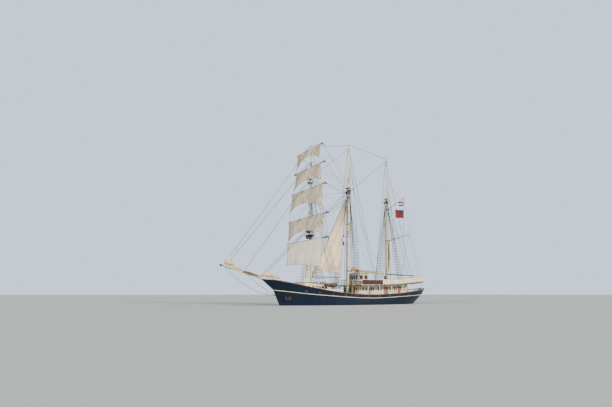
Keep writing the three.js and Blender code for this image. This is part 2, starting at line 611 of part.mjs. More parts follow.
// Masts
// A gooseneck on a mast: a lug with a cross pin; `reach` is from the pin to the mast's axis
const NECK = { pin: 0.035, lug: 0.035, cheek: 0.1, radius: 0.085 };
function lug(reach) {
  return join(
    box(-0.07, reach, -NECK.lug, NECK.lug, -0.07, 0.07),
    rod(V(0, -NECK.cheek - 0.03, 0), V(0, NECK.cheek + 0.03, 0), NECK.pin, NECK.pin, 16),
  );
}
// The spar end that fits on it: two cheeks with the pin's hole, and a block behind them
function forkEnd() {
  const cheeks = [1, -1].flatMap((side) => {
    const [near, far] = sorted(side * (NECK.lug + GAP), side * NECK.cheek);
    return [
      rod(V(0, near, 0), V(0, far, 0), NECK.radius, NECK.radius, 16),
      box(-0.3, 0, near, far, -0.06, 0.06),
    ];
  });
  const block = box(-0.36, -0.22, -NECK.cheek, NECK.cheek, -0.1, 0.1);
  const bore = rod(V(0, -0.3, 0), V(0, 0.3, 0), pinEye(NECK.pin), pinEye(NECK.pin), 16);
  return cut(join(...cheeks, block), bore);
}
const uprightPin = (geometry) => geometry.clone().rotateX(Math.PI / 2);
const placed = (geometry, x, z) => geometry.clone().translate(x, 0, z);
const NECK_REACH = 0.42;

const crossbar = (height, half, radius = 0.05, x = 0) => rod(V(x, -half, height), V(x, half, height), radius, radius, 6);
const collar = (radius, z0, z1) => turned([[0, z0], [radius, z0], [radius, z1], [0, z1]]);

// Yards with their sails
// columns: name, height, half length, spar radius, head half width, clew half width, clew height,
// rise of the foot's middle, belly
const YARDS = [
  ['course', 11.68, 7.5, 0.17, 6.95, 6.7, 7.05, 0.3, 1.05],
  ['lower_topsail', 16.11, 7.27, 0.15, 6.75, 6.75, 12.25, 1.45, 0.9],
  ['upper_topsail', 21.67, 6.46, 0.14, 5.8, 6.5, 17.45, 1.75, 0.9],
  ['topgallant', 25.92, 5.82, 0.12, 5.1, 5.6, 22.35, 1.45, 0.7],
  ['royal', 29.7, 4.87, 0.1, 4.3, 4.75, 26.8, 1.6, 0.55],
];
const PARREL = { wall: 0.07, tall: 0.14, ledge: 0.07 };
function yardOffset(height) {
  return mastRadius(FORE_TAPER, height) + 0.3;
}
function yardSpar([, height, half, radius]) {
  const x = yardOffset(height);
  const mast = mastRadius(FORE_TAPER, height);
  const spar = turned([
    [0, -half], [radius * 0.5, -half], [radius * 0.9, -half * 0.4], [radius, 0],
    [radius * 0.9, half * 0.4], [radius * 0.5, half], [0, half],
  ], 8).rotateX(Math.PI / 2).translate(x, 0, height);
  const collarEye = ring((mast + 0.004) / Math.cos(Math.PI / 16), mast + PARREL.wall, height - PARREL.tall / 2, height + PARREL.tall / 2, 16);
  const arm = box(mast + PARREL.wall / 2, x, -0.07, 0.07, height - 0.06, height + 0.06);
  return join(spar, collarEye, arm);
}
// A square sail: its head lies under the yard, its foot is an arch between the clews
function squareSail([, height, , radius, headHalf, clewHalf, clewHeight, rise, belly]) {
  const ACROSS = 10;
  const DOWN = 6;
  const HALF_THICK = 0.02;
  const top = height - radius - GAP;
  const x = yardOffset(height);
  const sheet = (side) => Array.from({ length: DOWN + 1 }, (_, j) => Array.from({ length: ACROSS + 1 }, (__, i) => {
    const across = (2 * i) / ACROSS - 1;
    const down = j / DOWN;
    const foot = clewHeight + rise * (1 - Math.abs(across) ** 2.4);
    const half = headHalf + (clewHalf - headHalf) * down ** 1.5;
    const fullness = Math.sin(Math.PI * Math.min(down * 0.62, 1)) * (1 - 0.8 * across ** 2);
    return V(x + belly * fullness + side * HALF_THICK, across * half, top + (foot - top) * down);
  }));
  return slab(sheet(1), sheet(-1));
}
for (const row of YARDS) {
  const yard = yardSpar(row);
  add(`${row[0]}_yard`, yard, DARK_SPAR, foreRig);
  add(`${row[0]}_sail`, cut(squareSail(row), ...grown(yard, -GAP)), CANVAS, foreRig);
}

// Mast poles with their tops, spreaders, yard ledges and goosenecks
const ledges = YARDS.map(([, height]) => {
  const top = height - PARREL.tall / 2 - GAP;
  return collar(mastRadius(FORE_TAPER, height) + PARREL.wall, top - PARREL.ledge, top);
});
const foreMast = join(
  mastPole(FORE_TAPER),
  ...ledges,
  box(-0.75, 0.3, -0.9, 0.9, 12.82, 12.92),
  box(-0.42, 0.28, -0.6, 0.6, 23.2, 23.28),
  collar(0.24, 13.3, 13.5),
);
add('fore_mast', foreMast, SPAR, foreRig);

const MAIN_BOOM = { height: 6.42, length: 8.75 };
const mainMast = join(
  mastPole(MAIN_TAPER),
  placed(lug(NECK_REACH), -NECK_REACH, MAIN_BOOM.height),
  crossbar(22.6, 1.15, 0.06),
  crossbar(15.8, 0.7),
  collar(0.24, 22.45, 22.9),
);
add('main_mast', mainMast, SPAR, mainRig);

// columns: name, heel height, length aft, rise along its length, radius at the heel and at the end
const MIZZEN_SPARS = [
  ['mizzen_boom', 6.05, 7.25, 0.1, 0.12, 0.09],
  ['lower_gaff', 13.0, 6.1, 2.05, 0.09, 0.06],
  ['upper_gaff', 19.8, 4.75, 3.25, 0.08, 0.05],
];
const mizzenMast = join(
  mastPole(MIZZEN_TAPER),
  ...MIZZEN_SPARS.map(([, height]) => placed(uprightPin(lug(NECK_REACH)), -NECK_REACH, height)),
  crossbar(21.5, 0.95, 0.055),
  collar(0.21, 21.35, 21.8),
);
add('mizzen_mast', mizzenMast, SPAR, mizzenRig);

// Main boom, lying in its crutch with the stowed sail lashed on top
const boomEnd = -NECK_REACH - MAIN_BOOM.length;
const boomSpar = (extra) => rod(
  V(-NECK_REACH - 0.24, 0, MAIN_BOOM.height), V(boomEnd, 0, MAIN_BOOM.height), 0.14 + extra, 0.1 + extra, 12,
);
const mainBoom = join(placed(forkEnd(), -NECK_REACH, MAIN_BOOM.height), boomSpar(0));
add('main_boom', mainBoom, SPAR, mainRig);
// columns: distance aft of the mast, half width, height over the boom
const STOWED_SAIL = [[1.0, 0.2, 0.5], [1.5, 0.3, 0.95], [2.1, 0.3, 0.62], [3.5, 0.26, 0.45], [6.0, 0.22, 0.36], [8.0, 0.16, 0.26]];
const stowedSail = loft(STOWED_SAIL.map(([aft, half, high]) => mirrored([
  V(-aft, half * 0.6, MAIN_BOOM.height - 0.02),
  V(-aft, half, MAIN_BOOM.height + high * 0.35),
  V(-aft, half * 0.45, MAIN_BOOM.height + high),
])));
add('main_sail_stowed', cut(stowedSail, ...grown(mainBoom)), TAN_COVER, mainRig);
const CRUTCH = { top: -7.9, foot: -8.35, spread: 0.75 };
const boomSeat = raked(boomSpar(GAP), MAIN_X);
const crutch = join(
  rod(V(CRUTCH.foot, CRUTCH.spread, upperTop(CRUTCH.foot) - 0.05), V(CRUTCH.top, 0.06, 6.3), 0.05, 0.05, 8),
  rod(V(CRUTCH.foot, -CRUTCH.spread, upperTop(CRUTCH.foot) - 0.05), V(CRUTCH.top, -0.06, 6.3), 0.05, 0.05, 8),
  box(CRUTCH.top - 0.07, CRUTCH.top + 0.07, -0.24, 0.24, 6.12, 6.36),
);
add('boom_crutch', cut(crutch, boomSeat, ...grown(upperSlab)), SPAR);
add('upper_deck', cut(upperStructure, ...grown(cut(capSlab, capHole))), WHITE);

// Mizzen spars, swinging on upright pins
const [, GAFF_HEEL, GAFF_LENGTH, GAFF_RISE] = MIZZEN_SPARS[2];
const HALYARD = { x: -NECK_REACH - GAFF_LENGTH + 0.1, radius: 0.02, low: 17.6 };
const halyard = rod(
  V(HALYARD.x, 0, HALYARD.low), V(HALYARD.x, 0, GAFF_HEEL + GAFF_RISE - 0.08), HALYARD.radius, HALYARD.radius, 6,
);
for (const [name, height, length, rise, heel, end] of MIZZEN_SPARS) {
  const spar = join(
    placed(uprightPin(forkEnd()), -NECK_REACH, height),
    rod(V(-NECK_REACH - 0.24, 0, height), V(-NECK_REACH - length, 0, height + rise), heel, end, 10),
    ...(name === 'upper_gaff' ? [halyard] : []),
  );
  add(name, spar, name === 'mizzen_boom' ? DARK_SPAR : SPAR, mizzenRig);
}

// The mizzen sail is brailed up to the mast: a long bundle along its after side
const brailed = loft([[6.6, 0.1], [8.5, 0.2], [12.2, 0.24], [12.6, 0.16]].map(([height, half]) => {
  const fore = -mastRadius(MIZZEN_TAPER, height) - GAP;
  return mirrored([V(fore, half * 0.6, height), V(fore - 1.3 * half, half, height), V(fore - 2 * half, half * 0.4, height)]);
}));
add('mizzen_sail_brailed', brailed, TAN_COVER, mizzenRig);

// Flags on a halyard under the end of the upper gaff
// columns: name, length of the fly, bottom, top
const FLAGS = [['striped_flag', 1.6, 20.75, 21.7], ['red_flag', 2.6, 17.9, 19.7]];
for (const [name, fly, low, high] of FLAGS) {
  const COLUMNS = 8;
  const face = (side) => [high, low].map((height) => Array.from({ length: COLUMNS + 1 }, (_, i) => {
    const out = i / COLUMNS;
    const wave = 0.14 * out * Math.sin(out * 7);
    return V(HALYARD.x + HALYARD.radius * SIX_FLAT + GAP + out * fly, wave + side * 0.01, height - 0.25 * out);
  }));
  add(name, slab(face(1), face(-1)), FLAG_RED, mizzenRig);
}

// Standing stays: each runs from one point to another and stops just short of the spar it is made fast to
const STAY_RADIUS = 0.022;
const SEATED = 0.965;           // how near a stay's slanting end comes to its spar, as a share of its radius
function trimmed(from, to, spar) {
  // `spar` holds a point and direction of its axis, and its radius there
  const along = to.clone().sub(from).normalize();
  const lean = Math.abs(along.dot(spar.line));
  const slope = Math.sqrt(1 - lean ** 2);
  return from.clone().addScaledVector(along, (spar.radius + GAP) / slope + (STAY_RADIUS * SEATED * lean) / slope);
}
const mastLine = V(-Math.sin(RAKE_ANGLE), 0, Math.cos(RAKE_ANGLE));
const atMast = (x, taper, height, extra = 0) => ({
  point: onMast(x, height), line: mastLine, radius: mastRadius(taper, height) + extra,
});
const atFore = (height, extra) => atMast(FORE_X, FORE_TAPER, height, extra);
const atMain = (height, extra) => atMast(MAIN_X, MAIN_TAPER, height, extra);
const atMizzen = (height, extra) => atMast(MIZZEN_X, MIZZEN_TAPER, height, extra);
const atBowsprit = (x) => ({ point: onBowsprit(x), line: bowspritLine, radius: x < 21.5 ? BOWSPRIT_RADIUS : 0.19 - 0.07 * ((x - 21.4) / 5.3) });
// columns: name, upper end, lower end
const STAYS = [
  ['fore_stay', atFore(14.3), atBowsprit(19.6)],
  ['fore_topmast_stay', atFore(24.3), atBowsprit(22.6)],
  ['jib_stay', atFore(27.3), atBowsprit(25.9)],
  ['royal_stay', atFore(30.75), atBowsprit(26.3)],
  ['main_topmast_stay', atMain(31.6), atFore(24.0)],
  ['fore_main_springstay', atMain(32.4), atFore(30.6)],
  ['main_mizzen_springstay', atMain(32.6), atMizzen(31.1)],
  ['mizzen_stay', atMizzen(30.6), atMain(22.2)],
];
for (const [name, upper, lower] of STAYS) {
  const high = trimmed(upper.point, lower.point, upper);
  const low = trimmed(lower.point, upper.point, lower);
  add(name, cut(rod(low, high, STAY_RADIUS, STAY_RADIUS, 6), ...grown(bowspritSpar)), WIRE);
}
const BOBSTAY_FOOT = V(16.62, 0, 2.1);
const bobstays = [26.0, 22.3].map((x) => {
  const sprit = atBowsprit(x);
  return rod(BOBSTAY_FOOT, trimmed(sprit.point, BOBSTAY_FOOT, sprit), STAY_RADIUS, STAY_RADIUS, 6);
});
const stemEye = box(16.2, 16.7, -0.05, 0.05, 2.03, 2.17);
const offSprit = grown(bowspritSpar, -GAP);
add('bobstays', cut(join(stemEye, ...bobstays), ...grown(hullBody), ...grown(mouldingBand), ...offSprit), WIRE);

// Main stay and the boomed staysail that swings round it
const LUFF_FOOT = V(9.3, 0, 4.3);
const LUFF_RADIUS = 0.03;
const luffHead = atMain(22.35, 0.05);
const luffLine = luffHead.point.clone().sub(LUFF_FOOT).normalize();
const onLuff = (height) => LUFF_FOOT.clone().addScaledVector(luffLine, (height - LUFF_FOOT.z) / luffLine.z);
const stayFoot = onLuff(3.5);
const mainStay = rod(stayFoot, trimmed(luffHead.point, LUFF_FOOT, luffHead), LUFF_RADIUS, LUFF_RADIUS, 16);
add('main_stay', cut(mainStay, ...grown(foreHouseBody)), WIRE);

// columns: height of the eyes that hold the sail to its stay
const HANKS = [6.55, 11.5, 16.5, 20.6];
function stayEye(height, tall, wall) {
  const low = onLuff(height - tall / 2);
  const high = onLuff(height + tall / 2);
  const radius = (LUFF_RADIUS + GAP) / Math.cos(Math.PI / 16);
  return {
    outside: rod(low, high, LUFF_RADIUS + wall, LUFF_RADIUS + wall, 16),
    bore: rod(onLuff(height - tall), onLuff(height + tall), radius, radius, 16),
  };
}
const SAIL_THICK = 0.02;
const luffGap = 0.07;
const staysailOutline = new THREE.Shape([
  [onLuff(20.95).x - luffGap, 20.95], [onLuff(6.3).x - luffGap, 6.3], [2.4, 5.95], [1.75, 12.5],
].map(([x, z]) => new THREE.Vector2(x, z)));
const staysailPlate = new THREE.ExtrudeGeometry(staysailOutline, { depth: 2 * SAIL_THICK, bevelEnabled: false })
  .rotateX(Math.PI / 2).translate(0, SAIL_THICK, 0);
const hanks = HANKS.map((height) => stayEye(height, 0.08, 0.03));
const hankTabs = HANKS.map((height) => {
  const eye = onLuff(height);
  return box(eye.x - luffGap - 0.15, eye.x - LUFF_RADIUS - 0.012, -SAIL_THICK, SAIL_THICK, height - 0.02, height + 0.02);
});
const staysail = cut(join(staysailPlate, ...hankTabs, ...hanks.map((eye) => eye.outside)), ...hanks.map((eye) => eye.bore));
add('main_staysail', staysail, CANVAS);

const STAYSAIL_BOOM = { height: 5.1, end: 2.35, radius: 0.085 };
const boomHeel = onLuff(STAYSAIL_BOOM.height);
const boomEye = stayEye(STAYSAIL_BOOM.height, 0.24, 0.08);
const pendants = [
  rod(V(2.5, 0, STAYSAIL_BOOM.height), V(2.5, 0, 5.955 - SAIL_THICK), 0.025, 0.025, 6),
  rod(V(onLuff(6.3).x - 0.3, 0, STAYSAIL_BOOM.height), V(onLuff(6.3).x - 0.3, 0, 6.25), 0.025, 0.025, 6),
];
const staysailBoom = join(
  rod(V(boomHeel.x - 0.06, 0, STAYSAIL_BOOM.height), V(STAYSAIL_BOOM.end, 0, STAYSAIL_BOOM.height + 0.05), STAYSAIL_BOOM.radius, 0.06, 10),
  boomEye.outside,
  ...pendants,
);
add('staysail_boom', cut(staysailBoom, boomEye.bore, ...grown(staysail, -GAP)), DARK_SPAR);

// Headsails furled along the bowsprit: long bundles that lie on top of it
// columns: name, fore end, after end, height over the spar's top at the fore end, thickness
const FURLED = [['furled_jib', 25.6, 22.9, 0.75, 0.26], ['furled_staysail', 19.3, 16.6, 0.8, 0.24]];
for (const [name, foreX, aftX, high, thick] of FURLED) {
  const sprit = (x) => atBowsprit(x);
  const lie = (x, rise) => sprit(x).point.clone().add(V(0, 0, sprit(x).radius + rise));
  const bundle = join(
    rod(lie(aftX, 0.1), lie((foreX + aftX) / 2, thick), 0.1, thick, 8),
    rod(lie((foreX + aftX) / 2, thick), lie(foreX, high), thick, thick * 0.6, 8),
  );
  const stays = STAYS.filter(([, , lower]) => Math.abs(lower.point.x - foreX) < 4).map(([, upper, lower]) => (
    rod(lower.point, lower.point.clone().lerp(upper.point, 0.3), STAY_RADIUS + GAP, STAY_RADIUS + GAP, 6)
  ));
  add(name, cut(bundle, ...grown(bowspritSpar), ...stays, ...grown(cut(capSlab, capHole))), CANVAS);
}

export default ship;
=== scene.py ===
# %% [markdown]
# # A three-masted barquentine under sail
#
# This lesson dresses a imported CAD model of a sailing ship. The CAD part gives every real size, every joint and the
# place of each piece. Blender adds what the eye looks for: a smooth painted hull, planked decks, cloth sails with
# their seams, and some hundreds of ropes. The ship floats, so the floor of the scene is at her waterline.
#
# The first cell loads the frame. Nothing in it is ever moved: new pieces are built around it.

# %% Load the frame
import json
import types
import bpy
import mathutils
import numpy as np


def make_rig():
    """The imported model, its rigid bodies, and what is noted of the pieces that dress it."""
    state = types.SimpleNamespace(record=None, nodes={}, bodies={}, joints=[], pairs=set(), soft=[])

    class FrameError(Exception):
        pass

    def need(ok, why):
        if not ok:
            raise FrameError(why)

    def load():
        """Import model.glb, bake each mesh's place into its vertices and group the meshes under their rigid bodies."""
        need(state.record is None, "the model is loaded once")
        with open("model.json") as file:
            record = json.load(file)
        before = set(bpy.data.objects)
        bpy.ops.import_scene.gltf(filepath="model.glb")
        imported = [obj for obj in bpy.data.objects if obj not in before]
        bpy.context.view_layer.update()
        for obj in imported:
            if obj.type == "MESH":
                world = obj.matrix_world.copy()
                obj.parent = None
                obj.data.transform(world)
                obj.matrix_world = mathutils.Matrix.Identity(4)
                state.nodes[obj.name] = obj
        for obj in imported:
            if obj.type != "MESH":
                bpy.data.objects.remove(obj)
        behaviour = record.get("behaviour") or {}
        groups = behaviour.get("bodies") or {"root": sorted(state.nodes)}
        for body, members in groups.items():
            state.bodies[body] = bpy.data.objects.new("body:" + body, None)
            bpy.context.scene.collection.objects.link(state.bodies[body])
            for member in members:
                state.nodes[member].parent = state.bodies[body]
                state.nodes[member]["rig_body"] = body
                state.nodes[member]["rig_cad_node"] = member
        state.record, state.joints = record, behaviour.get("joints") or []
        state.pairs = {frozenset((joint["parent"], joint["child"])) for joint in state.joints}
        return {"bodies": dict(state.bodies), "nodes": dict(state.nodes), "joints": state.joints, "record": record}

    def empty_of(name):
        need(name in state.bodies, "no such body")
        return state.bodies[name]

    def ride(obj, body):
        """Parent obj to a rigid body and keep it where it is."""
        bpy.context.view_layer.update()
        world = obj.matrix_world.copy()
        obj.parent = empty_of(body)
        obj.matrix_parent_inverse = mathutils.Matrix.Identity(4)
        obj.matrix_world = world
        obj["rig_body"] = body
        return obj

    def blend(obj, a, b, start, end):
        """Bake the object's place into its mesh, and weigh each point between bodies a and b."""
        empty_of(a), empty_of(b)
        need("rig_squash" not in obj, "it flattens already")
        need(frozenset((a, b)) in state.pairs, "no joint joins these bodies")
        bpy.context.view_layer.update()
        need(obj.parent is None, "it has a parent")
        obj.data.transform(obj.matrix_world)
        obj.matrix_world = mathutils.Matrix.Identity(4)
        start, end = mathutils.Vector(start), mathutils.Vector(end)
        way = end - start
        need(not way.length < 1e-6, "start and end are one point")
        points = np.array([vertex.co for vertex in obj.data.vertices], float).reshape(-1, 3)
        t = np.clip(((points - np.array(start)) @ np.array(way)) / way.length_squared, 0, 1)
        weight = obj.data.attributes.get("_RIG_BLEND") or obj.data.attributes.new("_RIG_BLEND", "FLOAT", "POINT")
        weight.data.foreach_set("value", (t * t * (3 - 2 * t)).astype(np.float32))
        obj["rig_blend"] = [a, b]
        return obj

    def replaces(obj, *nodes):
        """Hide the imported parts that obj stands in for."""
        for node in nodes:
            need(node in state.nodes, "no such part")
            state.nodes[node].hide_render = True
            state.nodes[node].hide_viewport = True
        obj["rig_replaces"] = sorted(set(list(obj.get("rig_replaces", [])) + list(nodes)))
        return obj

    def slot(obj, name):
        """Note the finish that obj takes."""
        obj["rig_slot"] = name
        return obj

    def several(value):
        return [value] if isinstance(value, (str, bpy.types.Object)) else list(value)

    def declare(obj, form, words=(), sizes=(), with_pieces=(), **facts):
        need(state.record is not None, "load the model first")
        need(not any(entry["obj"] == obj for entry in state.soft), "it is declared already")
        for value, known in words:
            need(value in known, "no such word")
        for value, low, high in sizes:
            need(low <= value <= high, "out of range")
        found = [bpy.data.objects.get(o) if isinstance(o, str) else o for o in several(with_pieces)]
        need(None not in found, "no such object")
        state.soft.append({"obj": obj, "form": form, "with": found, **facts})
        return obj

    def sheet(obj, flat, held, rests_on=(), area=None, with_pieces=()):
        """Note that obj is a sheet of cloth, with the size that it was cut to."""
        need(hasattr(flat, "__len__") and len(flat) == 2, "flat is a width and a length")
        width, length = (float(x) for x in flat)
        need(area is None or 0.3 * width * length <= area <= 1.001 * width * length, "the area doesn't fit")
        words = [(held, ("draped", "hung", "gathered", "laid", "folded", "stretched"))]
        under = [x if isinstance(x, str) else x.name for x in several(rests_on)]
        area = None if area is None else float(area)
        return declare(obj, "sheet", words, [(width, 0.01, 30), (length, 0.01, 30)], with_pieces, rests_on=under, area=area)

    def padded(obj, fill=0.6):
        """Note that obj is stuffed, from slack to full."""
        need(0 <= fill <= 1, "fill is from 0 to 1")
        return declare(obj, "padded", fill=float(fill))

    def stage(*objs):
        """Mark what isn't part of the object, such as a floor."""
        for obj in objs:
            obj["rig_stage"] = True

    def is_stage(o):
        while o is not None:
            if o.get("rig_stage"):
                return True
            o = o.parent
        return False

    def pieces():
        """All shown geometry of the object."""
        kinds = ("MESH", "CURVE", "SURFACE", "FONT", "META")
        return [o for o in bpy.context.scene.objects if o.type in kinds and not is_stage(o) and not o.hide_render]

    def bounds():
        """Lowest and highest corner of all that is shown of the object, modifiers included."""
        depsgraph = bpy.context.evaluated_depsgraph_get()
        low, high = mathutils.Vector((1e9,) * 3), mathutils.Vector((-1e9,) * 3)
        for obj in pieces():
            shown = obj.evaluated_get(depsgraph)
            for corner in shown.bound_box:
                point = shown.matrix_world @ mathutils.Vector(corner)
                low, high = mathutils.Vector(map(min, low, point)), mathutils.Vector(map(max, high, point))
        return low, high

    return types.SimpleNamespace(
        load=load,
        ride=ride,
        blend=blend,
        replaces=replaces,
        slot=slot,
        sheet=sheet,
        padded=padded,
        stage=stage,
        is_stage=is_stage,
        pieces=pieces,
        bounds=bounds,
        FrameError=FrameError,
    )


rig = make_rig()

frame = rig.load()

import json
import math
from collections import namedtuple

import bpy
from mathutils import Vector, noise

CAD_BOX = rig.bounds()
ROOT = "ship_root"
print("CAD box", [[round(v, 2) for v in corner] for corner in CAD_BOX])

# %% [markdown]
# ## Camera
#
# The picture was taken from a low boat ahead of the ship and to port. Camera height, distance and lens come from
# matching known points of the ship with their places in the picture. A camera looks along its own -Z axis, so a
# track quaternion turns that axis towards the view direction.

# %% Camera
CAMERA_AT = Vector((25.827, 34.712, 0.9965))
CAMERA_HEADING = Vector((-0.5124, -0.8587, 0.0))
CAMERA_TILT = math.radians(11.82)
LENS_MM = 25.47

view = bpy.data.cameras.new("photo_camera")
view.lens = LENS_MM
view.sensor_width = 36.0
view.clip_end = 2000.0
camera = bpy.data.objects.new("photo_camera", view)
bpy.context.scene.collection.objects.link(camera)
look = CAMERA_HEADING * math.cos(CAMERA_TILT) + Vector((0, 0, math.sin(CAMERA_TILT)))
camera.location = CAMERA_AT
camera.rotation_euler = look.to_track_quat("-Z", "Y").to_euler()
bpy.context.scene.camera = camera

# %% [markdown]
# ## Studio
#
# A plain pale floor stands in for the sea, at the height of the waterline. A warm low sun comes from the right of
# the camera, as the evening light does on the real ship. A weaker, wider one from the left reaches her bow, and the
# pale world fills the shadows. The world is brighter where the camera looks straight at it, so that masts and ropes
# stand dark against it.

# %% Floor and light
FLOOR_SIZE = 1600.0
FILL, BACKDROP = 0.5, 1.6


def select_only(*pieces):
    """Only these objects stay selected, and the first one is active."""
    bpy.ops.object.select_all(action="DESELECT")
    for piece in pieces:
        piece.select_set(True)
    bpy.context.view_layer.objects.active = pieces[0]


bpy.ops.object.select_all(action="DESELECT")
bpy.ops.mesh.primitive_plane_add(size=FLOOR_SIZE, location=(0, 0, 0))
floor = bpy.context.active_object
floor.name = "studio_floor"
floor_paint = bpy.data.materials.new("floor_paint")
floor_paint.use_nodes = True
floor_shader = floor_paint.node_tree.nodes["Principled BSDF"]
floor_shader.inputs["Base Color"].default_value = (0.46, 0.51, 0.54, 1)
floor_shader.inputs["Roughness"].default_value = 0.8
floor.data.materials.append(floor_paint)
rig.stage(floor)


def add_sun(name, towards, strength, colour, angle):
    """A distant light that shines from `towards`; a wide angle makes its shadows soft."""
    light = bpy.data.lights.new(name, "SUN")
    light.energy = strength
    light.color = colour
    light.angle = math.radians(angle)
    lamp = bpy.data.objects.new(name, light)
    bpy.context.scene.collection.objects.link(lamp)
    lamp.rotation_euler = Vector(towards).to_track_quat("Z", "Y").to_euler()
    return lamp


add_sun("key_light", (-0.34, 0.80, 0.42), 5.4, (1.0, 0.88, 0.72), 6)
add_sun("bow_light", (0.95, 0.30, 0.35), 2.8, (1.0, 0.93, 0.82), 20)
world = bpy.data.worlds.new("studio_world")
bpy.context.scene.world = world
world.use_nodes = True
sky = world.node_tree.nodes["Background"]
sky.inputs["Color"].default_value = (0.60, 0.72, 0.86, 1)
seen = world.node_tree.nodes.new("ShaderNodeLightPath")
strength = world.node_tree.nodes.new("ShaderNodeMapRange")
strength.inputs["To Min"].default_value = FILL
strength.inputs["To Max"].default_value = BACKDROP
world.node_tree.links.new(seen.outputs["Is Camera Ray"], strength.inputs["Value"])
world.node_tree.links.new(strength.outputs["Result"], sky.inputs["Strength"])

# %% [markdown]
# ## Finishes
#
# Every finish on the ship is one of five effects: weathered paint, wood grain, laid planks, sail canvas or worn
# metal. Each effect is a node group with named inputs, built once. A material places one group and gives it its own
# colours and scales, and keeps the Principled shader itself. The groups put out a colour, a roughness and a height.

# %% Node helpers
# kinds of inputs and outputs
COLOUR, FLOAT, VECTOR = "NodeSocketColor", "NodeSocketFloat", "NodeSocketVector"


def feed(tree, socket, value):
    """Gives an input its value, or a link when the value is a (node, output) pair."""
    if isinstance(value, tuple) and isinstance(value[0], bpy.types.Node):
        tree.links.new(value[0].outputs[value[1]], socket)
    else:
        socket.default_value = value


def put(tree, kind, inputs=None, **settings):
    """Adds a node, with settings as attributes and inputs as values or as (node, output) links."""
    made = tree.nodes.new(kind)
    for name, value in settings.items():
        setattr(made, name, value)
    for name, value in (inputs or {}).items():
        feed(tree, made.inputs[name], value)
    return made


def effect(name, inputs):
    """A node group with these inputs, and the outputs that every effect here has."""
    tree = bpy.data.node_groups.new(name, "ShaderNodeTree")
    for label, kind, value in inputs:
        socket = tree.interface.new_socket(label, in_out="INPUT", socket_type=kind)
        socket.default_value = value
    for label, kind in (("Colour", COLOUR), ("Roughness", FLOAT), ("Height", FLOAT)):
        tree.interface.new_socket(label, in_out="OUTPUT", socket_type=kind)
    return tree, tree.nodes.new("NodeGroupInput"), tree.nodes.new("NodeGroupOutput")


# a Mix node has one set of sockets for each data type; these are the ones for colours
MIX_INPUTS, MIX_RESULT = (0, 6, 7), 2


def mix_colour(tree, factor, first, second, blend="MIX"):
    """Mixes two colours; each argument is a value or a (node, output) link."""
    made = put(tree, "ShaderNodeMix", data_type="RGBA", blend_type=blend)
    for index, value in zip(MIX_INPUTS, (factor, first, second)):
        feed(tree, made.inputs[index], value)
    return (made, MIX_RESULT)


def spread(tree, source, low, high, to_low=0.0, to_high=1.0):
    """Stretches a value from low..high to to_low..to_high, and clamps it."""
    made = put(tree, "ShaderNodeMapRange", {
        "Value": source, "From Min": low, "From Max": high, "To Min": to_low, "To Max": to_high,
    })
    return (made, "Result")


def arithmetic(tree, operation, first, second=0.0):
    """One Math node on two values or links."""
    return (put(tree, "ShaderNodeMath", {0: first, 1: second}, operation=operation), "Value")


def times(tree, first, second):
    """The product of two values or links."""
    return arithmetic(tree, "MULTIPLY", first, second)


def plus(tree, first, second):
    """The sum of two values or links."""
    return arithmetic(tree, "ADD", first, second)


def larger(tree, first, second):
    """The larger of two values or links."""
    return arithmetic(tree, "MAXIMUM", first, second)


def give_out(tree, end, colour, roughness, height):
    """Links the three results of an effect."""
    for name, source in (("Colour", colour), ("Roughness", roughness), ("Height", height)):
        feed(tree, end.inputs[name], source)


# %% [markdown]
# ### Weathered paint
#
# Paint at sea is never one colour: it fades in broad clouds, and salt and rain leave fine vertical streaks. Two noise
# textures on the object's own coordinates make both, so the pattern stays put on the piece in every view.

# %% Weathered paint
paint_tree, paint_in, paint_out = effect("weathered_paint", [
    ("Colour", COLOUR, (0.8, 0.8, 0.8, 1)), ("Worn colour", COLOUR, (0.6, 0.6, 0.6, 1)),
    ("Scale", FLOAT, 1.0), ("Wear", FLOAT, 0.4), ("Roughness", FLOAT, 0.4),
])
paint_place = put(paint_tree, "ShaderNodeTexCoord")
streak_place = put(paint_tree, "ShaderNodeMapping", {"Vector": (paint_place, "Object"), "Scale": (6.0, 6.0, 0.7)})
cloud = put(paint_tree, "ShaderNodeTexNoise", {
    "Vector": (paint_place, "Object"), "Scale": (paint_in, "Scale"), "Detail": 5.0, "Roughness": 0.6,
})
streak = put(paint_tree, "ShaderNodeTexNoise", {
    "Vector": (streak_place, "Vector"), "Scale": (paint_in, "Scale"), "Detail": 4.0,
})
worn = times(paint_tree, spread(paint_tree, (cloud, "Fac"), 0.42, 0.75), (paint_in, "Wear"))
streaked = times(paint_tree, spread(paint_tree, (streak, "Fac"), 0.5, 0.8), (paint_in, "Wear"))
both = larger(paint_tree, worn, streaked)
paint_colour = mix_colour(paint_tree, both, (paint_in, "Colour"), (paint_in, "Worn colour"))
paint_rough = plus(paint_tree, (paint_in, "Roughness"), times(paint_tree, both, 0.25))
give_out(paint_tree, paint_out, paint_colour, paint_rough, (cloud, "Fac"))

# %% [markdown]
# ### Wood grain
#
# Grain is noise that is stretched along the tree. The Stretch input says how much the coordinates are squeezed along
# each axis: small along a mast, large across it.

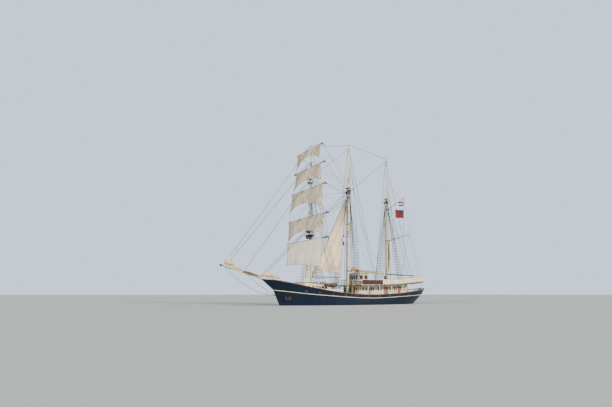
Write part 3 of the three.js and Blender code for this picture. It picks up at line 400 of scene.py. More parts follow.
# %% Wood grain
wood_tree, wood_in, wood_out = effect("wood_grain", [
    ("Light", COLOUR, (0.6, 0.4, 0.2, 1)), ("Dark", COLOUR, (0.3, 0.18, 0.1, 1)),
    ("Stretch", VECTOR, (20.0, 20.0, 1.0)), ("Roughness", FLOAT, 0.45),
])
wood_place = put(wood_tree, "ShaderNodeTexCoord")
wood_scaled = put(wood_tree, "ShaderNodeVectorMath", {0: (wood_place, "Object"), 1: (wood_in, "Stretch")},
                  operation="MULTIPLY")
grain = put(wood_tree, "ShaderNodeTexNoise", {
    "Vector": (wood_scaled, "Vector"), "Scale": 1.0, "Detail": 6.0, "Distortion": 0.4,
})
tone = put(wood_tree, "ShaderNodeTexNoise", {"Vector": (wood_place, "Object"), "Scale": 0.9, "Detail": 2.0})
grain_mask = spread(wood_tree, (grain, "Fac"), 0.35, 0.68)
wood_colour = mix_colour(wood_tree, grain_mask, (wood_in, "Light"), (wood_in, "Dark"))
tone_mask = spread(wood_tree, (tone, "Fac"), 0.3, 0.7, 0.82, 1.0)
tone_grey = put(wood_tree, "ShaderNodeCombineColor", {"Red": tone_mask, "Green": tone_mask, "Blue": tone_mask})
wood_toned = mix_colour(wood_tree, 1.0, wood_colour, (tone_grey, "Color"), "MULTIPLY")
wood_rough = plus(wood_tree, (wood_in, "Roughness"), times(wood_tree, grain_mask, 0.12))
give_out(wood_tree, wood_out, wood_toned, wood_rough, (grain, "Fac"))

# %% [markdown]
# ### Laid planks
#
# Decks are narrow teak planks with dark caulked seams, laid fore and aft. A brick texture has the seams and the
# staggered butts; each plank gets its own tone. Walls of upright boards turn the same texture with Turn.

# %% Laid planks
plank_tree, plank_in, plank_out = effect("laid_planks", [
    ("Light", COLOUR, (0.6, 0.45, 0.28, 1)), ("Dark", COLOUR, (0.45, 0.32, 0.2, 1)),
    ("Seam", COLOUR, (0.03, 0.025, 0.02, 1)), ("Turn", VECTOR, (0.0, 0.0, 0.0)),
    ("Width", FLOAT, 0.06), ("Seam width", FLOAT, 0.006), ("Roughness", FLOAT, 0.7),
])
PLANK_LENGTH = 2.4
plank_place = put(plank_tree, "ShaderNodeTexCoord")
plank_turned = put(plank_tree, "ShaderNodeMapping", {
    "Vector": (plank_place, "Object"), "Rotation": (plank_in, "Turn"),
})
bricks = put(plank_tree, "ShaderNodeTexBrick", {
    "Vector": (plank_turned, "Vector"), "Color1": (plank_in, "Light"), "Color2": (plank_in, "Dark"),
    "Mortar": (plank_in, "Seam"), "Scale": 1.0, "Mortar Size": (plank_in, "Seam width"), "Mortar Smooth": 0.2,
    "Brick Width": PLANK_LENGTH, "Row Height": (plank_in, "Width"),
})
board_place = put(plank_tree, "ShaderNodeVectorMath", {0: (plank_turned, "Vector"), 1: (1.5, 40.0, 40.0)},
                  operation="MULTIPLY")
board_grain = put(plank_tree, "ShaderNodeTexNoise", {"Vector": (board_place, "Vector"), "Scale": 1.0, "Detail": 5.0})
board_mask = spread(plank_tree, (board_grain, "Fac"), 0.3, 0.75, 0.78, 1.0)
board_grey = put(plank_tree, "ShaderNodeCombineColor", {"Red": board_mask, "Green": board_mask, "Blue": board_mask})
plank_colour = mix_colour(plank_tree, 1.0, (bricks, "Color"), (board_grey, "Color"), "MULTIPLY")
plank_rough = plus(plank_tree, (plank_in, "Roughness"), times(plank_tree, (bricks, "Fac"), 0.2))
plank_height = arithmetic(plank_tree, "SUBTRACT", 1.0, (bricks, "Fac"))
give_out(plank_tree, plank_out, plank_colour, plank_rough, plank_height)

# %% [markdown]
# ### Sail canvas
#
# A sail is sewn from narrow cloths. On the mesh, U is the width in metres and V the drop in metres, so one wave
# texture makes the seams at their true spacing on every sail. Weather adds soft stains, and creases run at a slant
# with painted shade in them. Painted shade darkens a sail from its side where U is 0, the starboard edge of a square
# sail, and the sail also darkens towards its head; the two reaches say how many metres each gets.

# %% Sail canvas
cloth_tree, cloth_in, cloth_out = effect("sail_canvas", [
    ("Colour", COLOUR, (0.8, 0.72, 0.58, 1)), ("Shade", COLOUR, (0.6, 0.5, 0.36, 1)),
    ("Seam", COLOUR, (0.45, 0.37, 0.26, 1)), ("Cloth width", FLOAT, 0.36), ("Stain", FLOAT, 0.5),
    ("Side reach", FLOAT, 0.001), ("Head reach", FLOAT, 0.001),
])
cloth_place = put(cloth_tree, "ShaderNodeTexCoord")
cloth_axes = put(cloth_tree, "ShaderNodeSeparateXYZ", {"Vector": (cloth_place, "UV")})
LAP_STEP = 1.15          # metres between two cross seams
# where a seam begins and is full, from the middle of a cloth whose width is 1
SEAM_EDGE, LAP_EDGE = (0.445, 0.485), (0.488, 0.496)


def seam_lines(tree, measure, step, edge):
    """A mask of thin lines, one for every step of a measure."""
    share = arithmetic(tree, "FRACT", arithmetic(tree, "DIVIDE", measure, step))
    return spread(tree, arithmetic(tree, "ABSOLUTE", arithmetic(tree, "SUBTRACT", share, 0.5)), *edge)


def edge_gradient(tree, measure, reach):
    """1 at an edge of the sail, and less the further from it, down to 0 at the reach."""
    return arithmetic(tree, "SUBTRACT", 1.0, arithmetic(tree, "DIVIDE", measure, reach))


seam_mask = seam_lines(cloth_tree, (cloth_axes, "X"), (cloth_in, "Cloth width"), SEAM_EDGE)
lap_mask = seam_lines(cloth_tree, (cloth_axes, "Y"), LAP_STEP, LAP_EDGE)
line_mask = larger(cloth_tree, seam_mask, times(cloth_tree, lap_mask, 0.6))
stain = put(cloth_tree, "ShaderNodeTexNoise", {"Vector": (cloth_place, "UV"), "Scale": 0.8, "Detail": 6.0,
                                               "Roughness": 0.62, "Distortion": 0.6})
crease_place = put(cloth_tree, "ShaderNodeMapping", {
    "Vector": (cloth_place, "UV"), "Rotation": (0.0, 0.0, 0.5), "Scale": (3.4, 0.5, 1.0),
})
crease = put(cloth_tree, "ShaderNodeTexNoise", {"Vector": (crease_place, "Vector"), "Scale": 1.0, "Detail": 4.0})
weave = put(cloth_tree, "ShaderNodeTexNoise", {"Vector": (cloth_place, "UV"), "Scale": 90.0, "Detail": 2.0})
stain_mask = times(cloth_tree, spread(cloth_tree, (stain, "Fac"), 0.42, 0.68), (cloth_in, "Stain"))
# the creases also darken the colour: painted shade in their hollows
crease_shade_mask = times(cloth_tree, spread(cloth_tree, (crease, "Fac"), 0.5, 0.68), (cloth_in, "Stain"))
# painted shade: the canvas darkens towards the side where U is 0, a square sail's starboard edge; it also darkens
# towards its head, where V is 0
side_shade_and_head_darkening = larger(cloth_tree, edge_gradient(cloth_tree, (cloth_axes, "X"), (cloth_in, "Side reach")),
               edge_gradient(cloth_tree, (cloth_axes, "Y"), (cloth_in, "Head reach")))
# real stains, and the painted shade of the creases
stains_and_crease_shade = larger(cloth_tree, stain_mask, times(cloth_tree, crease_shade_mask, 0.9))
edge_darkening_clouds = spread(cloth_tree, (stain, "Fac"), 0.25, 0.7, 0.5, 0.85)
# all that darkens the canvas: stains, painted shade in creases and along the side, and the darker head
stains_painted_shade_and_dark_head = larger(cloth_tree, stains_and_crease_shade, times(cloth_tree, side_shade_and_head_darkening, edge_darkening_clouds))
stained = mix_colour(cloth_tree, stains_painted_shade_and_dark_head, (cloth_in, "Colour"), (cloth_in, "Shade"))
cloth_colour = mix_colour(cloth_tree, times(cloth_tree, line_mask, 0.75), stained, (cloth_in, "Seam"))
cloth_rough = spread(cloth_tree, (weave, "Fac"), 0.3, 0.7, 0.82, 0.96)
cloth_relief = plus(cloth_tree, (crease, "Fac"), times(cloth_tree, (weave, "Fac"), 0.12))
cloth_height = plus(cloth_tree, times(cloth_tree, line_mask, 0.7), cloth_relief)
give_out(cloth_tree, cloth_out, cloth_colour, cloth_rough, cloth_height)

# %% [markdown]
# ### Worn metal
#
# Iron gear on deck is painted and rusts at once; bronze goes brown. A fine noise sets where the second colour shows,
# and makes those places rougher.

# %% Worn metal
metal_tree, metal_in, metal_out = effect("worn_metal", [
    ("Colour", COLOUR, (0.1, 0.1, 0.1, 1)), ("Rust", COLOUR, (0.25, 0.1, 0.04, 1)),
    ("Scale", FLOAT, 6.0), ("Wear", FLOAT, 0.4), ("Roughness", FLOAT, 0.45),
])
metal_place = put(metal_tree, "ShaderNodeTexCoord")
rust = put(metal_tree, "ShaderNodeTexNoise", {
    "Vector": (metal_place, "Object"), "Scale": (metal_in, "Scale"), "Detail": 7.0, "Roughness": 0.7,
})
rust_mask = times(metal_tree, spread(metal_tree, (rust, "Fac"), 0.45, 0.65), (metal_in, "Wear"))
metal_colour = mix_colour(metal_tree, rust_mask, (metal_in, "Colour"), (metal_in, "Rust"))
metal_rough = plus(metal_tree, (metal_in, "Roughness"), times(metal_tree, rust_mask, 0.4))
give_out(metal_tree, metal_out, metal_colour, metal_rough, (rust, "Fac"))

# %% [markdown]
# ## Materials
#
# One row for each finish: its effect, the effect's values, and the shader's own numbers. The bump's distance is a
# true depth in metres.


# %% Materials
def rgb(red, green, blue):
    """A colour as the shader wants it, with full alpha."""
    return (red, green, blue, 1.0)


# how deep light goes into canvas, in metres, and how far each colour of it spreads
GLOW_DEPTH, GLOW_RADIUS = 0.0022, (1.0, 0.8, 0.55)
RUST_SCALE = 6.0
NO_EDGE_DARKENING = 0.001         # a reach so short that nothing is darkened


def finish(name, tree, values, bump=0.3, depth=0.01, metallic=0.0, coat=0.0, sheen=0.0, glow=0.0):
    """A material that takes its colour, roughness and bump from one shared effect."""
    material = bpy.data.materials.new(name)
    material.use_nodes = True
    nodes = material.node_tree
    shader = nodes.nodes["Principled BSDF"]
    group = put(nodes, "ShaderNodeGroup", node_tree=tree)
    for label, value in values.items():
        group.inputs[label].default_value = value
    relief = put(nodes, "ShaderNodeBump", {"Strength": bump, "Distance": depth, "Height": (group, "Height")})
    nodes.links.new(group.outputs["Colour"], shader.inputs["Base Color"])
    nodes.links.new(group.outputs["Roughness"], shader.inputs["Roughness"])
    nodes.links.new(relief.outputs["Normal"], shader.inputs["Normal"])
    for label, value in (("Metallic", metallic), ("Coat Weight", coat), ("Sheen Weight", sheen),
                         ("Subsurface Weight", glow), ("Subsurface Scale", GLOW_DEPTH),
                         ("Subsurface Radius", GLOW_RADIUS)):
        shader.inputs[label].default_value = value
    return material


def painted(name, colour, worn_colour, scale=1.2, wear=0.4, roughness=0.4, **more):
    """Weathered paint in one colour."""
    return finish(name, paint_tree, {"Colour": rgb(*colour), "Worn colour": rgb(*worn_colour), "Scale": scale,
                                     "Wear": wear, "Roughness": roughness}, **more)


def wooden(name, light, dark, stretch, roughness=0.45, **more):
    """Wood with its grain along the axis where `stretch` is small."""
    return finish(name, wood_tree, {"Light": rgb(*light), "Dark": rgb(*dark), "Stretch": stretch,
                                    "Roughness": roughness}, **more)


def planked(name, light, dark, seam, turn=(0, 0, 0), width=0.06, seam_width=0.006, roughness=0.7, **more):
    """Planks or boards with seams."""
    return finish(name, plank_tree, {"Light": rgb(*light), "Dark": rgb(*dark), "Seam": rgb(*seam), "Turn": turn,
                                     "Width": width, "Seam width": seam_width, "Roughness": roughness}, **more)


def metal(name, colour, rust_colour, wear=0.4, roughness=0.45, **more):
    """Metal with worn or rusty places."""
    return finish(name, metal_tree, {"Colour": rgb(*colour), "Rust": rgb(*rust_colour), "Scale": RUST_SCALE,
                                     "Wear": wear, "Roughness": roughness}, **more)


def sailcloth(name, colour, shade, seam, width=0.36, stain_amount=0.5, side_reach=NO_EDGE_DARKENING, head_reach=NO_EDGE_DARKENING,
              **more):
    """Canvas with seams at their true spacing; the reaches say how far painted shade darkens it from its side, and how
    far it darkens towards its head.
    """
    return finish(name, cloth_tree, {"Colour": rgb(*colour), "Shade": rgb(*shade), "Seam": rgb(*seam),
                                     "Cloth width": width, "Stain": stain_amount, "Side reach": side_reach,
                                     "Head reach": head_reach}, depth=0.02, sheen=0.15, **more)


UPRIGHT = (math.radians(90), 0.0, 0.0)
ALONG_MAST, ALONG_YARD, ALONG_SHIP = (22.0, 22.0, 0.8), (24.0, 0.9, 24.0), (0.8, 24.0, 24.0)

WHITE_PAINT = painted("white_paint", (0.80, 0.78, 0.72), (0.55, 0.50, 0.42), wear=0.35)
CREAM_PAINT = painted("cream_paint", (0.83, 0.74, 0.52), (0.60, 0.47, 0.28), wear=0.4)
CREAM_BOARDS = planked("cream_boards", (0.84, 0.76, 0.56), (0.78, 0.69, 0.48), (0.42, 0.34, 0.22), turn=UPRIGHT,
                       width=0.16, seam_width=0.004, roughness=0.5, bump=0.4)
DARK_EDGE = painted("dark_edge", (0.035, 0.04, 0.055), (0.10, 0.08, 0.07), wear=0.5)
BLACK_PAINT = painted("black_paint", (0.018, 0.017, 0.017), (0.07, 0.05, 0.04), wear=0.35, roughness=0.35)
TEAK_DECK = planked("teak_deck", (0.46, 0.34, 0.21), (0.37, 0.27, 0.17), (0.035, 0.03, 0.028))
TEAK_TRIM = wooden("teak_trim", (0.36, 0.19, 0.08), (0.20, 0.095, 0.04), (0.9, 14.0, 14.0), coat=0.3)
BROWN_TRIM = wooden("brown_trim", (0.20, 0.10, 0.05), (0.10, 0.05, 0.028), (0.9, 14.0, 14.0), coat=0.2)
SPAR_PAINT = wooden("spar_paint", (0.80, 0.74, 0.56), (0.70, 0.62, 0.42), ALONG_MAST, roughness=0.35, coat=0.3)
SPRIT_PAINT = wooden("sprit_paint", (0.80, 0.68, 0.44), (0.66, 0.52, 0.30), ALONG_SHIP, roughness=0.4, coat=0.2)
YARD_PAINT = wooden("yard_paint", (0.085, 0.07, 0.06), (0.04, 0.034, 0.03), ALONG_YARD, roughness=0.5)
BOOM_PAINT = wooden("boom_paint", (0.10, 0.095, 0.09), (0.05, 0.047, 0.045), ALONG_SHIP, roughness=0.5)
TARRED_ROPE = painted("tarred_rope", (0.035, 0.033, 0.032), (0.09, 0.075, 0.06), scale=9.0, wear=0.6, roughness=0.75)
MANILA_ROPE = painted("manila_rope", (0.46, 0.38, 0.25), (0.30, 0.23, 0.14), scale=9.0, wear=0.6, roughness=0.85)
RUNNING_ROPE = painted("running_rope", (0.11, 0.095, 0.08), (0.22, 0.17, 0.11), scale=9.0, wear=0.6, roughness=0.85)
IRON = metal("painted_iron", (0.035, 0.035, 0.038), (0.20, 0.08, 0.035))
RUSTY_IRON = metal("rusty_iron", (0.040, 0.021, 0.017), (0.075, 0.032, 0.020), wear=0.8, roughness=0.6)
GALVANISED = metal("galvanised_steel", (0.42, 0.43, 0.43), (0.28, 0.24, 0.2), wear=0.5, metallic=0.9)
BRONZE = metal("bronze", (0.50, 0.33, 0.13), (0.20, 0.14, 0.08), wear=0.5, roughness=0.3, metallic=1.0)
# side_reach paints shade on the starboard edge of the square sails
SQUARE_CANVAS = sailcloth("square_canvas", (0.80, 0.69, 0.52), (0.045, 0.032, 0.02), (0.12, 0.085, 0.05),
                          stain_amount=0.75, side_reach=2.4, glow=0.3)
# the course takes a lighter copy of the square canvas: painted light for the stronger light through it; side_reach
# paints shade on its starboard edge
LIT_COURSE_CANVAS = sailcloth("course_canvas", (0.95, 0.90, 0.78), (0.24, 0.16, 0.085), (0.45, 0.34, 0.21),
                          stain_amount=0.25, side_reach=0.9, glow=0.7)
STAYSAIL_CANVAS = sailcloth("staysail_canvas", (0.90, 0.77, 0.60), (0.13, 0.075, 0.04), (0.24, 0.16, 0.10),
                            width=0.42, stain_amount=0.4, head_reach=5.0, glow=0.35)
FURLED_CANVAS = sailcloth("furled_canvas", (0.72, 0.60, 0.42), (0.38, 0.27, 0.16), (0.34, 0.24, 0.14), width=0.5,
                          stain_amount=0.9)
TAN_CANVAS = sailcloth("tan_canvas", (0.52, 0.36, 0.15), (0.24, 0.14, 0.07), (0.25, 0.15, 0.06), width=0.6)
BROWN_CANVAS = sailcloth("brown_canvas", (0.19, 0.12, 0.07), (0.09, 0.055, 0.035), (0.05, 0.035, 0.025), width=0.5)
RED_CLOTH = sailcloth("red_cloth", (0.055, 0.008, 0.007), (0.03, 0.010, 0.008), (0.02, 0.006, 0.005), width=0.9)
COVER_CLOTH = sailcloth("dark_cover", (0.035, 0.036, 0.038), (0.075, 0.07, 0.065), (0.015, 0.015, 0.015), width=0.6)
print(len(bpy.data.materials), "materials")

# %% [markdown]
# ### Glass
#
# The windows of a ship look dark by day, because the rooms behind them are. The panes are dark and smooth with a
# clear coat, and the paint effect lays a faint cloud of salt on them.

# %% Glass
GLASS = painted("window_glass", (0.02, 0.03, 0.035), (0.10, 0.11, 0.11), scale=3.0, wear=0.3, roughness=0.06,
                bump=0.05, coat=0.5)

# %% [markdown]
# ## Tools for making pieces
#
# The tables in this lesson hold the real ship's metres, as a shipwright would read them; `m` halves them into the
# model. Each new piece ends in `done`, which puts its place into its mesh, turns its faces outwards, smooths it, and
# says which body it rides on and which finish slot it takes.

# %% Making pieces
HALF = 0.5
SIDES = (1, -1)          # port, starboard


def m(x, y, z):
    """A point of the real ship, in metres, as a point of the half-size model."""
    return Vector((x, y, z)) * HALF


def edit(piece, *steps):
    """Enters edit mode with everything selected, runs the steps, and leaves it."""
    select_only(piece)
    bpy.ops.object.mode_set(mode="EDIT")
    bpy.ops.mesh.select_all(action="SELECT")
    for step in steps:
        step()
    bpy.ops.object.mode_set(mode="OBJECT")


def apply_modifier(piece, kind, **settings):
    """Adds a modifier and applies it at once."""
    select_only(piece)
    made = piece.modifiers.new(kind.lower(), kind)
    for name, value in settings.items():
        setattr(made, name, value)
    bpy.ops.object.modifier_apply(modifier=made.name)


def rounded(piece, width, segments=2, angle=30):
    """Bevels the sharp edges."""
    apply_modifier(piece, "BEVEL", width=width, segments=segments, limit_method="ANGLE",
                   angle_limit=math.radians(angle))


def paint_with(piece, *materials):
    """Gives the piece these materials in place of any it has."""
    piece.data.materials.clear()
    for material in materials:
        piece.data.materials.append(material)


def two_tone(piece, first, second, test):
    """Gives the second material to the faces that pass a test."""
    paint_with(piece, first, second)
    for face in piece.data.polygons:
        face.material_index = int(test(face))


def done(piece, name, material, slot, body=ROOT, replaces=(), smooth=35, outside=True):
    """Finishes a piece: name, place in the mesh, normals, smoothing, material, body, slot and CAD nodes."""
    piece.name = name
    piece.data.name = name
    select_only(piece)
    bpy.ops.object.transform_apply(location=True, rotation=True, scale=True)
    if outside:
        edit(piece, lambda: bpy.ops.mesh.normals_make_consistent(inside=False))
    if smooth:
        select_only(piece)
        bpy.ops.object.shade_smooth_by_angle(angle=math.radians(smooth))
    if material is not None:
        paint_with(piece, material)
    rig.slot(piece, slot)
    if replaces:
        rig.replaces(piece, *replaces)
    if body is not None:
        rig.ride(piece, body)
    return piece


def mesh_piece(points, faces):
    """A new object from points and faces."""
    data = bpy.data.meshes.new("piece")
    data.from_pydata([tuple(p) for p in points], [], faces)
    piece = bpy.data.objects.new("piece", data)
    bpy.context.scene.collection.objects.link(piece)
    return piece


def skin(rows, round_rows=False, round_columns=False, caps=False):
    """A surface over rows of points; rows or columns may close on themselves, and the ends may be capped."""
    tall, wide = len(rows), len(rows[0])
    faces = []
    for j in range(tall if round_rows else tall - 1):
        for i in range(wide if round_columns else wide - 1):
            k, n = (j + 1) % tall, (i + 1) % wide
            faces.append((j * wide + i, j * wide + n, k * wide + n, k * wide + i))
    if caps:
        faces.append(tuple(reversed(range(wide))))
        faces.append(tuple(range((tall - 1) * wide, tall * wide)))
    return mesh_piece([p for row in rows for p in row], faces)


def block(low, high, bevel=0.012):
    """A bevelled box between two corners, in the real ship's metres."""
    low, high = m(*low), m(*high)
    bpy.ops.object.select_all(action="DESELECT")
    bpy.ops.mesh.primitive_cube_add(size=1, location=(low + high) / 2)
    piece = bpy.context.active_object
    piece.scale = high - low
    bpy.ops.object.transform_apply(location=True, rotation=True, scale=True)
    if bevel:
        rounded(piece, bevel, 2)
    return piece


def post(start, end, radius, bevel=0.0):
    """A round bar between two points of the real ship."""
    start, end = m(*start), m(*end)
    line = end - start
    bpy.ops.object.select_all(action="DESELECT")
    bpy.ops.mesh.primitive_cone_add(vertices=12, radius1=radius * HALF, radius2=radius * HALF, depth=line.length,
                                    location=(start + end) / 2, rotation=line.to_track_quat("Z", "Y").to_euler())
    piece = bpy.context.active_object
    bpy.ops.object.transform_apply(location=True, rotation=True, scale=True)
    if bevel:
        rounded(piece, bevel, 2, 40)
    return piece


def joined(pieces):
    """Several pieces as one object."""
    select_only(*pieces)
    bpy.ops.object.join()
    return bpy.context.view_layer.objects.active


def dressed(node, name, material, slot, bevel, body=ROOT):
    """A copy of a CAD node with soft edges, which then stands for it."""
    twin = bpy.data.objects.new("piece", frame["nodes"][node].data.copy())
    bpy.context.scene.collection.objects.link(twin)
    edit(twin, lambda: bpy.ops.mesh.remove_doubles(threshold=0.0001))
    edit(twin, lambda: bpy.ops.mesh.dissolve_limited(angle_limit=math.radians(1)))
    rounded(twin, bevel, 2)
    return done(twin, name, material, slot, body, [node], outside=False)


# %% [markdown]
# ### Ropes
#
# A ship has hundreds of ropes, so each is only a thin tube with four or six sides. A curve object holds many lines
# at once: its bevel gives them their thickness, and converting it makes one light mesh. A line that hangs gets a sag.

# %% Ropes
def hanging(start, end, sag=0.0, steps=1):
    """Points of a rope between two points of the model, which may sag by `sag` metres."""
    points = []
    for i in range(steps + 1):
        share = i / steps
        points.append(start.lerp(end, share) - Vector((0, 0, 4 * sag * share * (1 - share))))
    return points


def ropes(lines, radius, resolution=1):
    """One mesh of round ropes; each line is a list of points of the model."""
    data = bpy.data.curves.new("ropes", "CURVE")
    data.dimensions = "3D"
    data.bevel_depth = radius
    data.bevel_resolution = resolution
    data.use_fill_caps = True
    for line in lines:
        spline = data.splines.new("POLY")
        spline.points.add(len(line) - 1)
        for point, place in zip(spline.points, line):
            point.co = (*place, 1.0)
    piece = bpy.data.objects.new("ropes", data)
    bpy.context.scene.collection.objects.link(piece)
    select_only(piece)
    bpy.ops.object.convert(target="MESH")
    return bpy.context.view_layer.objects.active


def other_side(points):
    """The same points on the other side of the ship."""
    return [Vector((p.x, -p.y, p.z)) for p in points]


def both_sides(lines):
    """The lines and their mirror images on the other side of the ship."""
    return lines + [other_side(line) for line in lines]


def rope_set(name, lines, radius, material, body=ROOT, slot="wire", detail=1, replaces=()):
    """Ropes as a finished piece."""
    return done(ropes(lines, radius, detail), name, material, slot, body, replaces, smooth=60)


# %% [markdown]
# ## Hull
#
# A steel hull is a skin over curved frames. The tables give its lines: how high the rail and the deck edge are along
# the ship, where stem and stern stand at each height, and how wide the ship is at seven levels. One smooth curve runs
# through each table. The skin is then lofted over 81 frames, close together at the ends, where the shape turns fast.
# A lofted grid is used because no primitive can be pulled into these lines.

# %% Hull lines
# columns: x, height of the rail top, height of the deck edge
SHEER = [
    (-19.1, 3.30, 2.05), (-15.4, 2.86, 1.92), (-9.6, 2.27, 1.64), (-3.5, 1.97, 1.37), (1.5, 2.06, 1.45),
    (5.8, 2.44, 1.72), (10.9, 3.24, 2.12), (16.4, 4.28, 2.76), (19.4, 4.62, 3.16),
]
# columns: height, x of the stem, x of the stern
PROFILE = [
    (-3.6, 12.3, -13.4), (-2.4, 14.1, -13.4), (-1.3, 15.0, -13.4), (0.0, 15.55, -16.15), (1.0, 16.03, -17.3),
    (2.0, 16.4, -18.3), (3.0, 17.25, -18.95), (3.8, 18.6, -19.2), (4.6, 19.25, -19.3),
]
# columns: half breadth, fore power, fore fullness, aft power, aft fullness
PLAN = {
    "keel": (0.16, 2.0, 1.0, 2.0, 1.0), "bilge": (2.2, 1.7, 1.5, 1.8, 1.9), "turn": (3.5, 1.9, 1.2, 2.0, 1.35),
    "water": (3.88, 2.1, 0.95, 2.6, 0.9), "topside": (3.97, 2.3, 0.8, 3.4, 0.68),
    "deck": (4.0, 2.5, 0.7, 4.0, 0.58), "rail": (4.02, 2.8, 0.62, 4.6, 0.54),
}
STEM_HALF = 0.06
FRAMES = 40
STATIONS = [math.sin(math.pi / 2 * k / FRAMES) for k in range(-FRAMES, FRAMES + 1)]


def along(table, at, column=1):
    """Smooth curve through a table's rows, at a place in its first column."""
    last = len(table) - 1
    row = next((i for i, values in enumerate(table) if values[0] > at), last) - 1
    row = min(max(row, 0), last - 1)
    (x0, y0), (x1, y1) = [(table[i][0], table[i][column]) for i in (row, row + 1)]
    before, after = table[max(row - 1, 0)], table[min(row + 2, last)]
    slope0 = (y1 - before[column]) / (x1 - before[0])
    slope1 = (after[column] - y0) / (after[0] - x0)
    t, span = (at - x0) / (x1 - x0), x1 - x0
    return ((2 * t**3 - 3 * t**2 + 1) * y0 + (t**3 - 2 * t**2 + t) * span * slope0
            + (-2 * t**3 + 3 * t**2) * y1 + (t**3 - t**2) * span * slope1)


def rail_top(x):
    return along(SHEER, x, 1)


def deck_top(x):
    return along(SHEER, x, 2)


def keel_line(x):
    return -3.15 + 0.022 * x


def profile_x(s, z):
    """x of station s at height z: a share of the way to the stem or to the stern."""
    return s * along(PROFILE, z, 1) if s > 0 else -s * along(PROFILE, z, 2)


def half_breadth(s, plan):
    """Half the ship's width at station s on one of the levels."""
    breadth, fore_power, fore_full, aft_power, aft_full = PLAN[plan]
    power, full = (fore_power, fore_full) if s > 0 else (aft_power, aft_full)
    return max(breadth * (1 - abs(s) ** power) ** full, STEM_HALF)


ABOUT_HALF_LENGTH = 17   # the first guess of where a station lies


def hull_point(s, plan, height_at):
    """Point of the hull at station s on a level whose height depends on x, in the real ship's metres."""
    z = height_at(s * ABOUT_HALF_LENGTH)
    for _ in range(4):
        z = height_at(profile_x(s, z))
    return Vector((profile_x(s, z), half_breadth(s, plan), z))


LEVELS = [
    ("keel", keel_line), ("bilge", lambda x: keel_line(x) * 0.72), ("turn", lambda x: keel_line(x) * 0.38),
    ("water", lambda x: 0.0), ("topside", lambda x: deck_top(x) * 0.55), ("deck", deck_top),
]
FINE = 4                # points between two levels


def smooth_section(corners):
    """A rounded frame through its corner points."""
    table = [(i, *corner) for i, corner in enumerate(corners)]
    shares = [i / FINE for i in range((len(corners) - 1) * FINE + 1)]
    return [Vector([along(table, share, column) for column in (1, 2, 3)]) for share in shares]


def hull_edge(plan, height_at):
    """A line along the port side, from stern to stem."""
    return [hull_point(s, plan, height_at) for s in STATIONS]


def to_model(points):
    """Points of the real ship as points of the model."""
    return [p * HALF for p in points]


# %% Hull skin
sections = [smooth_section([hull_point(s, plan, height) for plan, height in LEVELS]) for s in STATIONS]
hull = skin([to_model(half + other_side(half)[::-1]) for half in sections], round_columns=True, caps=True)
print("hull frames", len(sections), "points a frame", 2 * len(sections[0]))

# %% [markdown]
# The paint changes with height: dark red below the water, a thin maroon boot top above it, and navy blue over that.
# Two masks on the object's Z coordinate make the three bands, and the weathered paint goes over them. The deck is the
# set of faces that look straight up, and gets planks.

# %% Hull paint
BOOT_TOP, BOOT_FOOT, BAND_SOFTNESS = 0.02, -0.02, 0.01
HULL_PAINT = painted("hull_paint", (0.005, 0.012, 0.030), (0.014, 0.024, 0.042), scale=0.8, wear=0.55, roughness=0.42,
                     bump=0.12, coat=0.06)


def band_below(material, height, colour):
    """Paints everything under a height in another colour, before the weathering."""
    tree = material.node_tree
    group = next(n for n in tree.nodes if n.type == "GROUP")
    axes = put(tree, "ShaderNodeSeparateXYZ", {"Vector": (put(tree, "ShaderNodeTexCoord"), "Object")})
    above = spread(tree, (axes, "Z"), height - BAND_SOFTNESS, height + BAND_SOFTNESS)
    old = group.inputs["Colour"]
    link = next((l for l in tree.links if l.to_socket == old), None)
    source = (link.from_node, MIX_RESULT) if link else tuple(old.default_value)
    feed(tree, old, mix_colour(tree, above, colour, source))


band_below(HULL_PAINT, BOOT_TOP, rgb(0.13, 0.022, 0.02))
band_below(HULL_PAINT, BOOT_FOOT, rgb(0.22, 0.035, 0.025))
hull_shader = HULL_PAINT.node_tree.nodes["Principled BSDF"]
hull_shader.inputs["Specular IOR Level"].default_value = 0.15
done(hull, "hull_skin", None, "hull_paint", replaces=["hull"], smooth=40)
two_tone(hull, HULL_PAINT, TEAK_DECK, lambda face: face.normal.z > 0.9 and face.center.z > 0.3)
print("deck faces", sum(face.material_index for face in hull.data.polygons))

# %% [markdown]
# The keel bar, stern tube, rudder post, mast step and bowsprit bitts belong to the same CAD node; all but the mast
# step are made again here, each where the CAD has it.

# %% Keel, stern tube, bitts
SHAFT_Z, RUDDER_X, SHOE_Z, MAST_RAKE = -2.35, -14.6, -3.38, 0.034
RAKE = math.atan(MAST_RAKE)
keel_rows = []
for x, half in ((-15.0, 0.12), (-13.0, 0.16), (11.0, 0.16), (12.2, 0.1)):
    low, high = keel_line(x) - 0.32, keel_line(x) + 0.05
    keel_rows.append([m(x, half, low), m(x, half, high), m(x, -half, high), m(x, -half, low)])
keel = skin(keel_rows, round_columns=True, caps=True)
rounded(keel, 0.01)
tube = post((-12.9, 0, SHAFT_Z), (-13.5, 0, SHAFT_Z), 0.2, bevel=0.01)
trunk = post((RUDDER_X, 0, -0.95), (RUDDER_X, 0, 0.6), 0.17)
heel = post((RUDDER_X, 0, SHOE_Z - 0.2), (RUDDER_X, 0, SHOE_Z), 0.16, bevel=0.01)
done(joined([keel, tube, trunk, heel]), "keel_and_stern_gear", HULL_PAINT, "hull_paint")
bitt_posts = [block((15.5, y0, 2.6), (15.95, y1, 4.35), 0.02) for y0, y1 in ((-0.42, -0.245), (0.245, 0.42))]
cross = block((15.25, -0.42, 2.6), (15.55, 0.42, 3.58), 0.02)
cap = [block((15.45, y0, 4.35), (16.0, y1, 4.42), 0.01) for y0, y1 in ((-0.46, -0.24), (0.24, 0.46))]
done(joined([*bitt_posts, cross, *cap]), "bowsprit_bitts", BROWN_TRIM, "dark_wood")

# %% [markdown]
# ## Bulwark, rail and mouldings
#
# Above the deck the plating goes on as a bulwark, with a broad wooden rail on top. Both are bands that run right
# round the ship, so one helper makes them: it takes the corner lines of the band along the port side, mirrors them,
# and closes the loop.

# %% Bands round the ship
SHARP_END, BOW_STEP = 0.5, 2.6


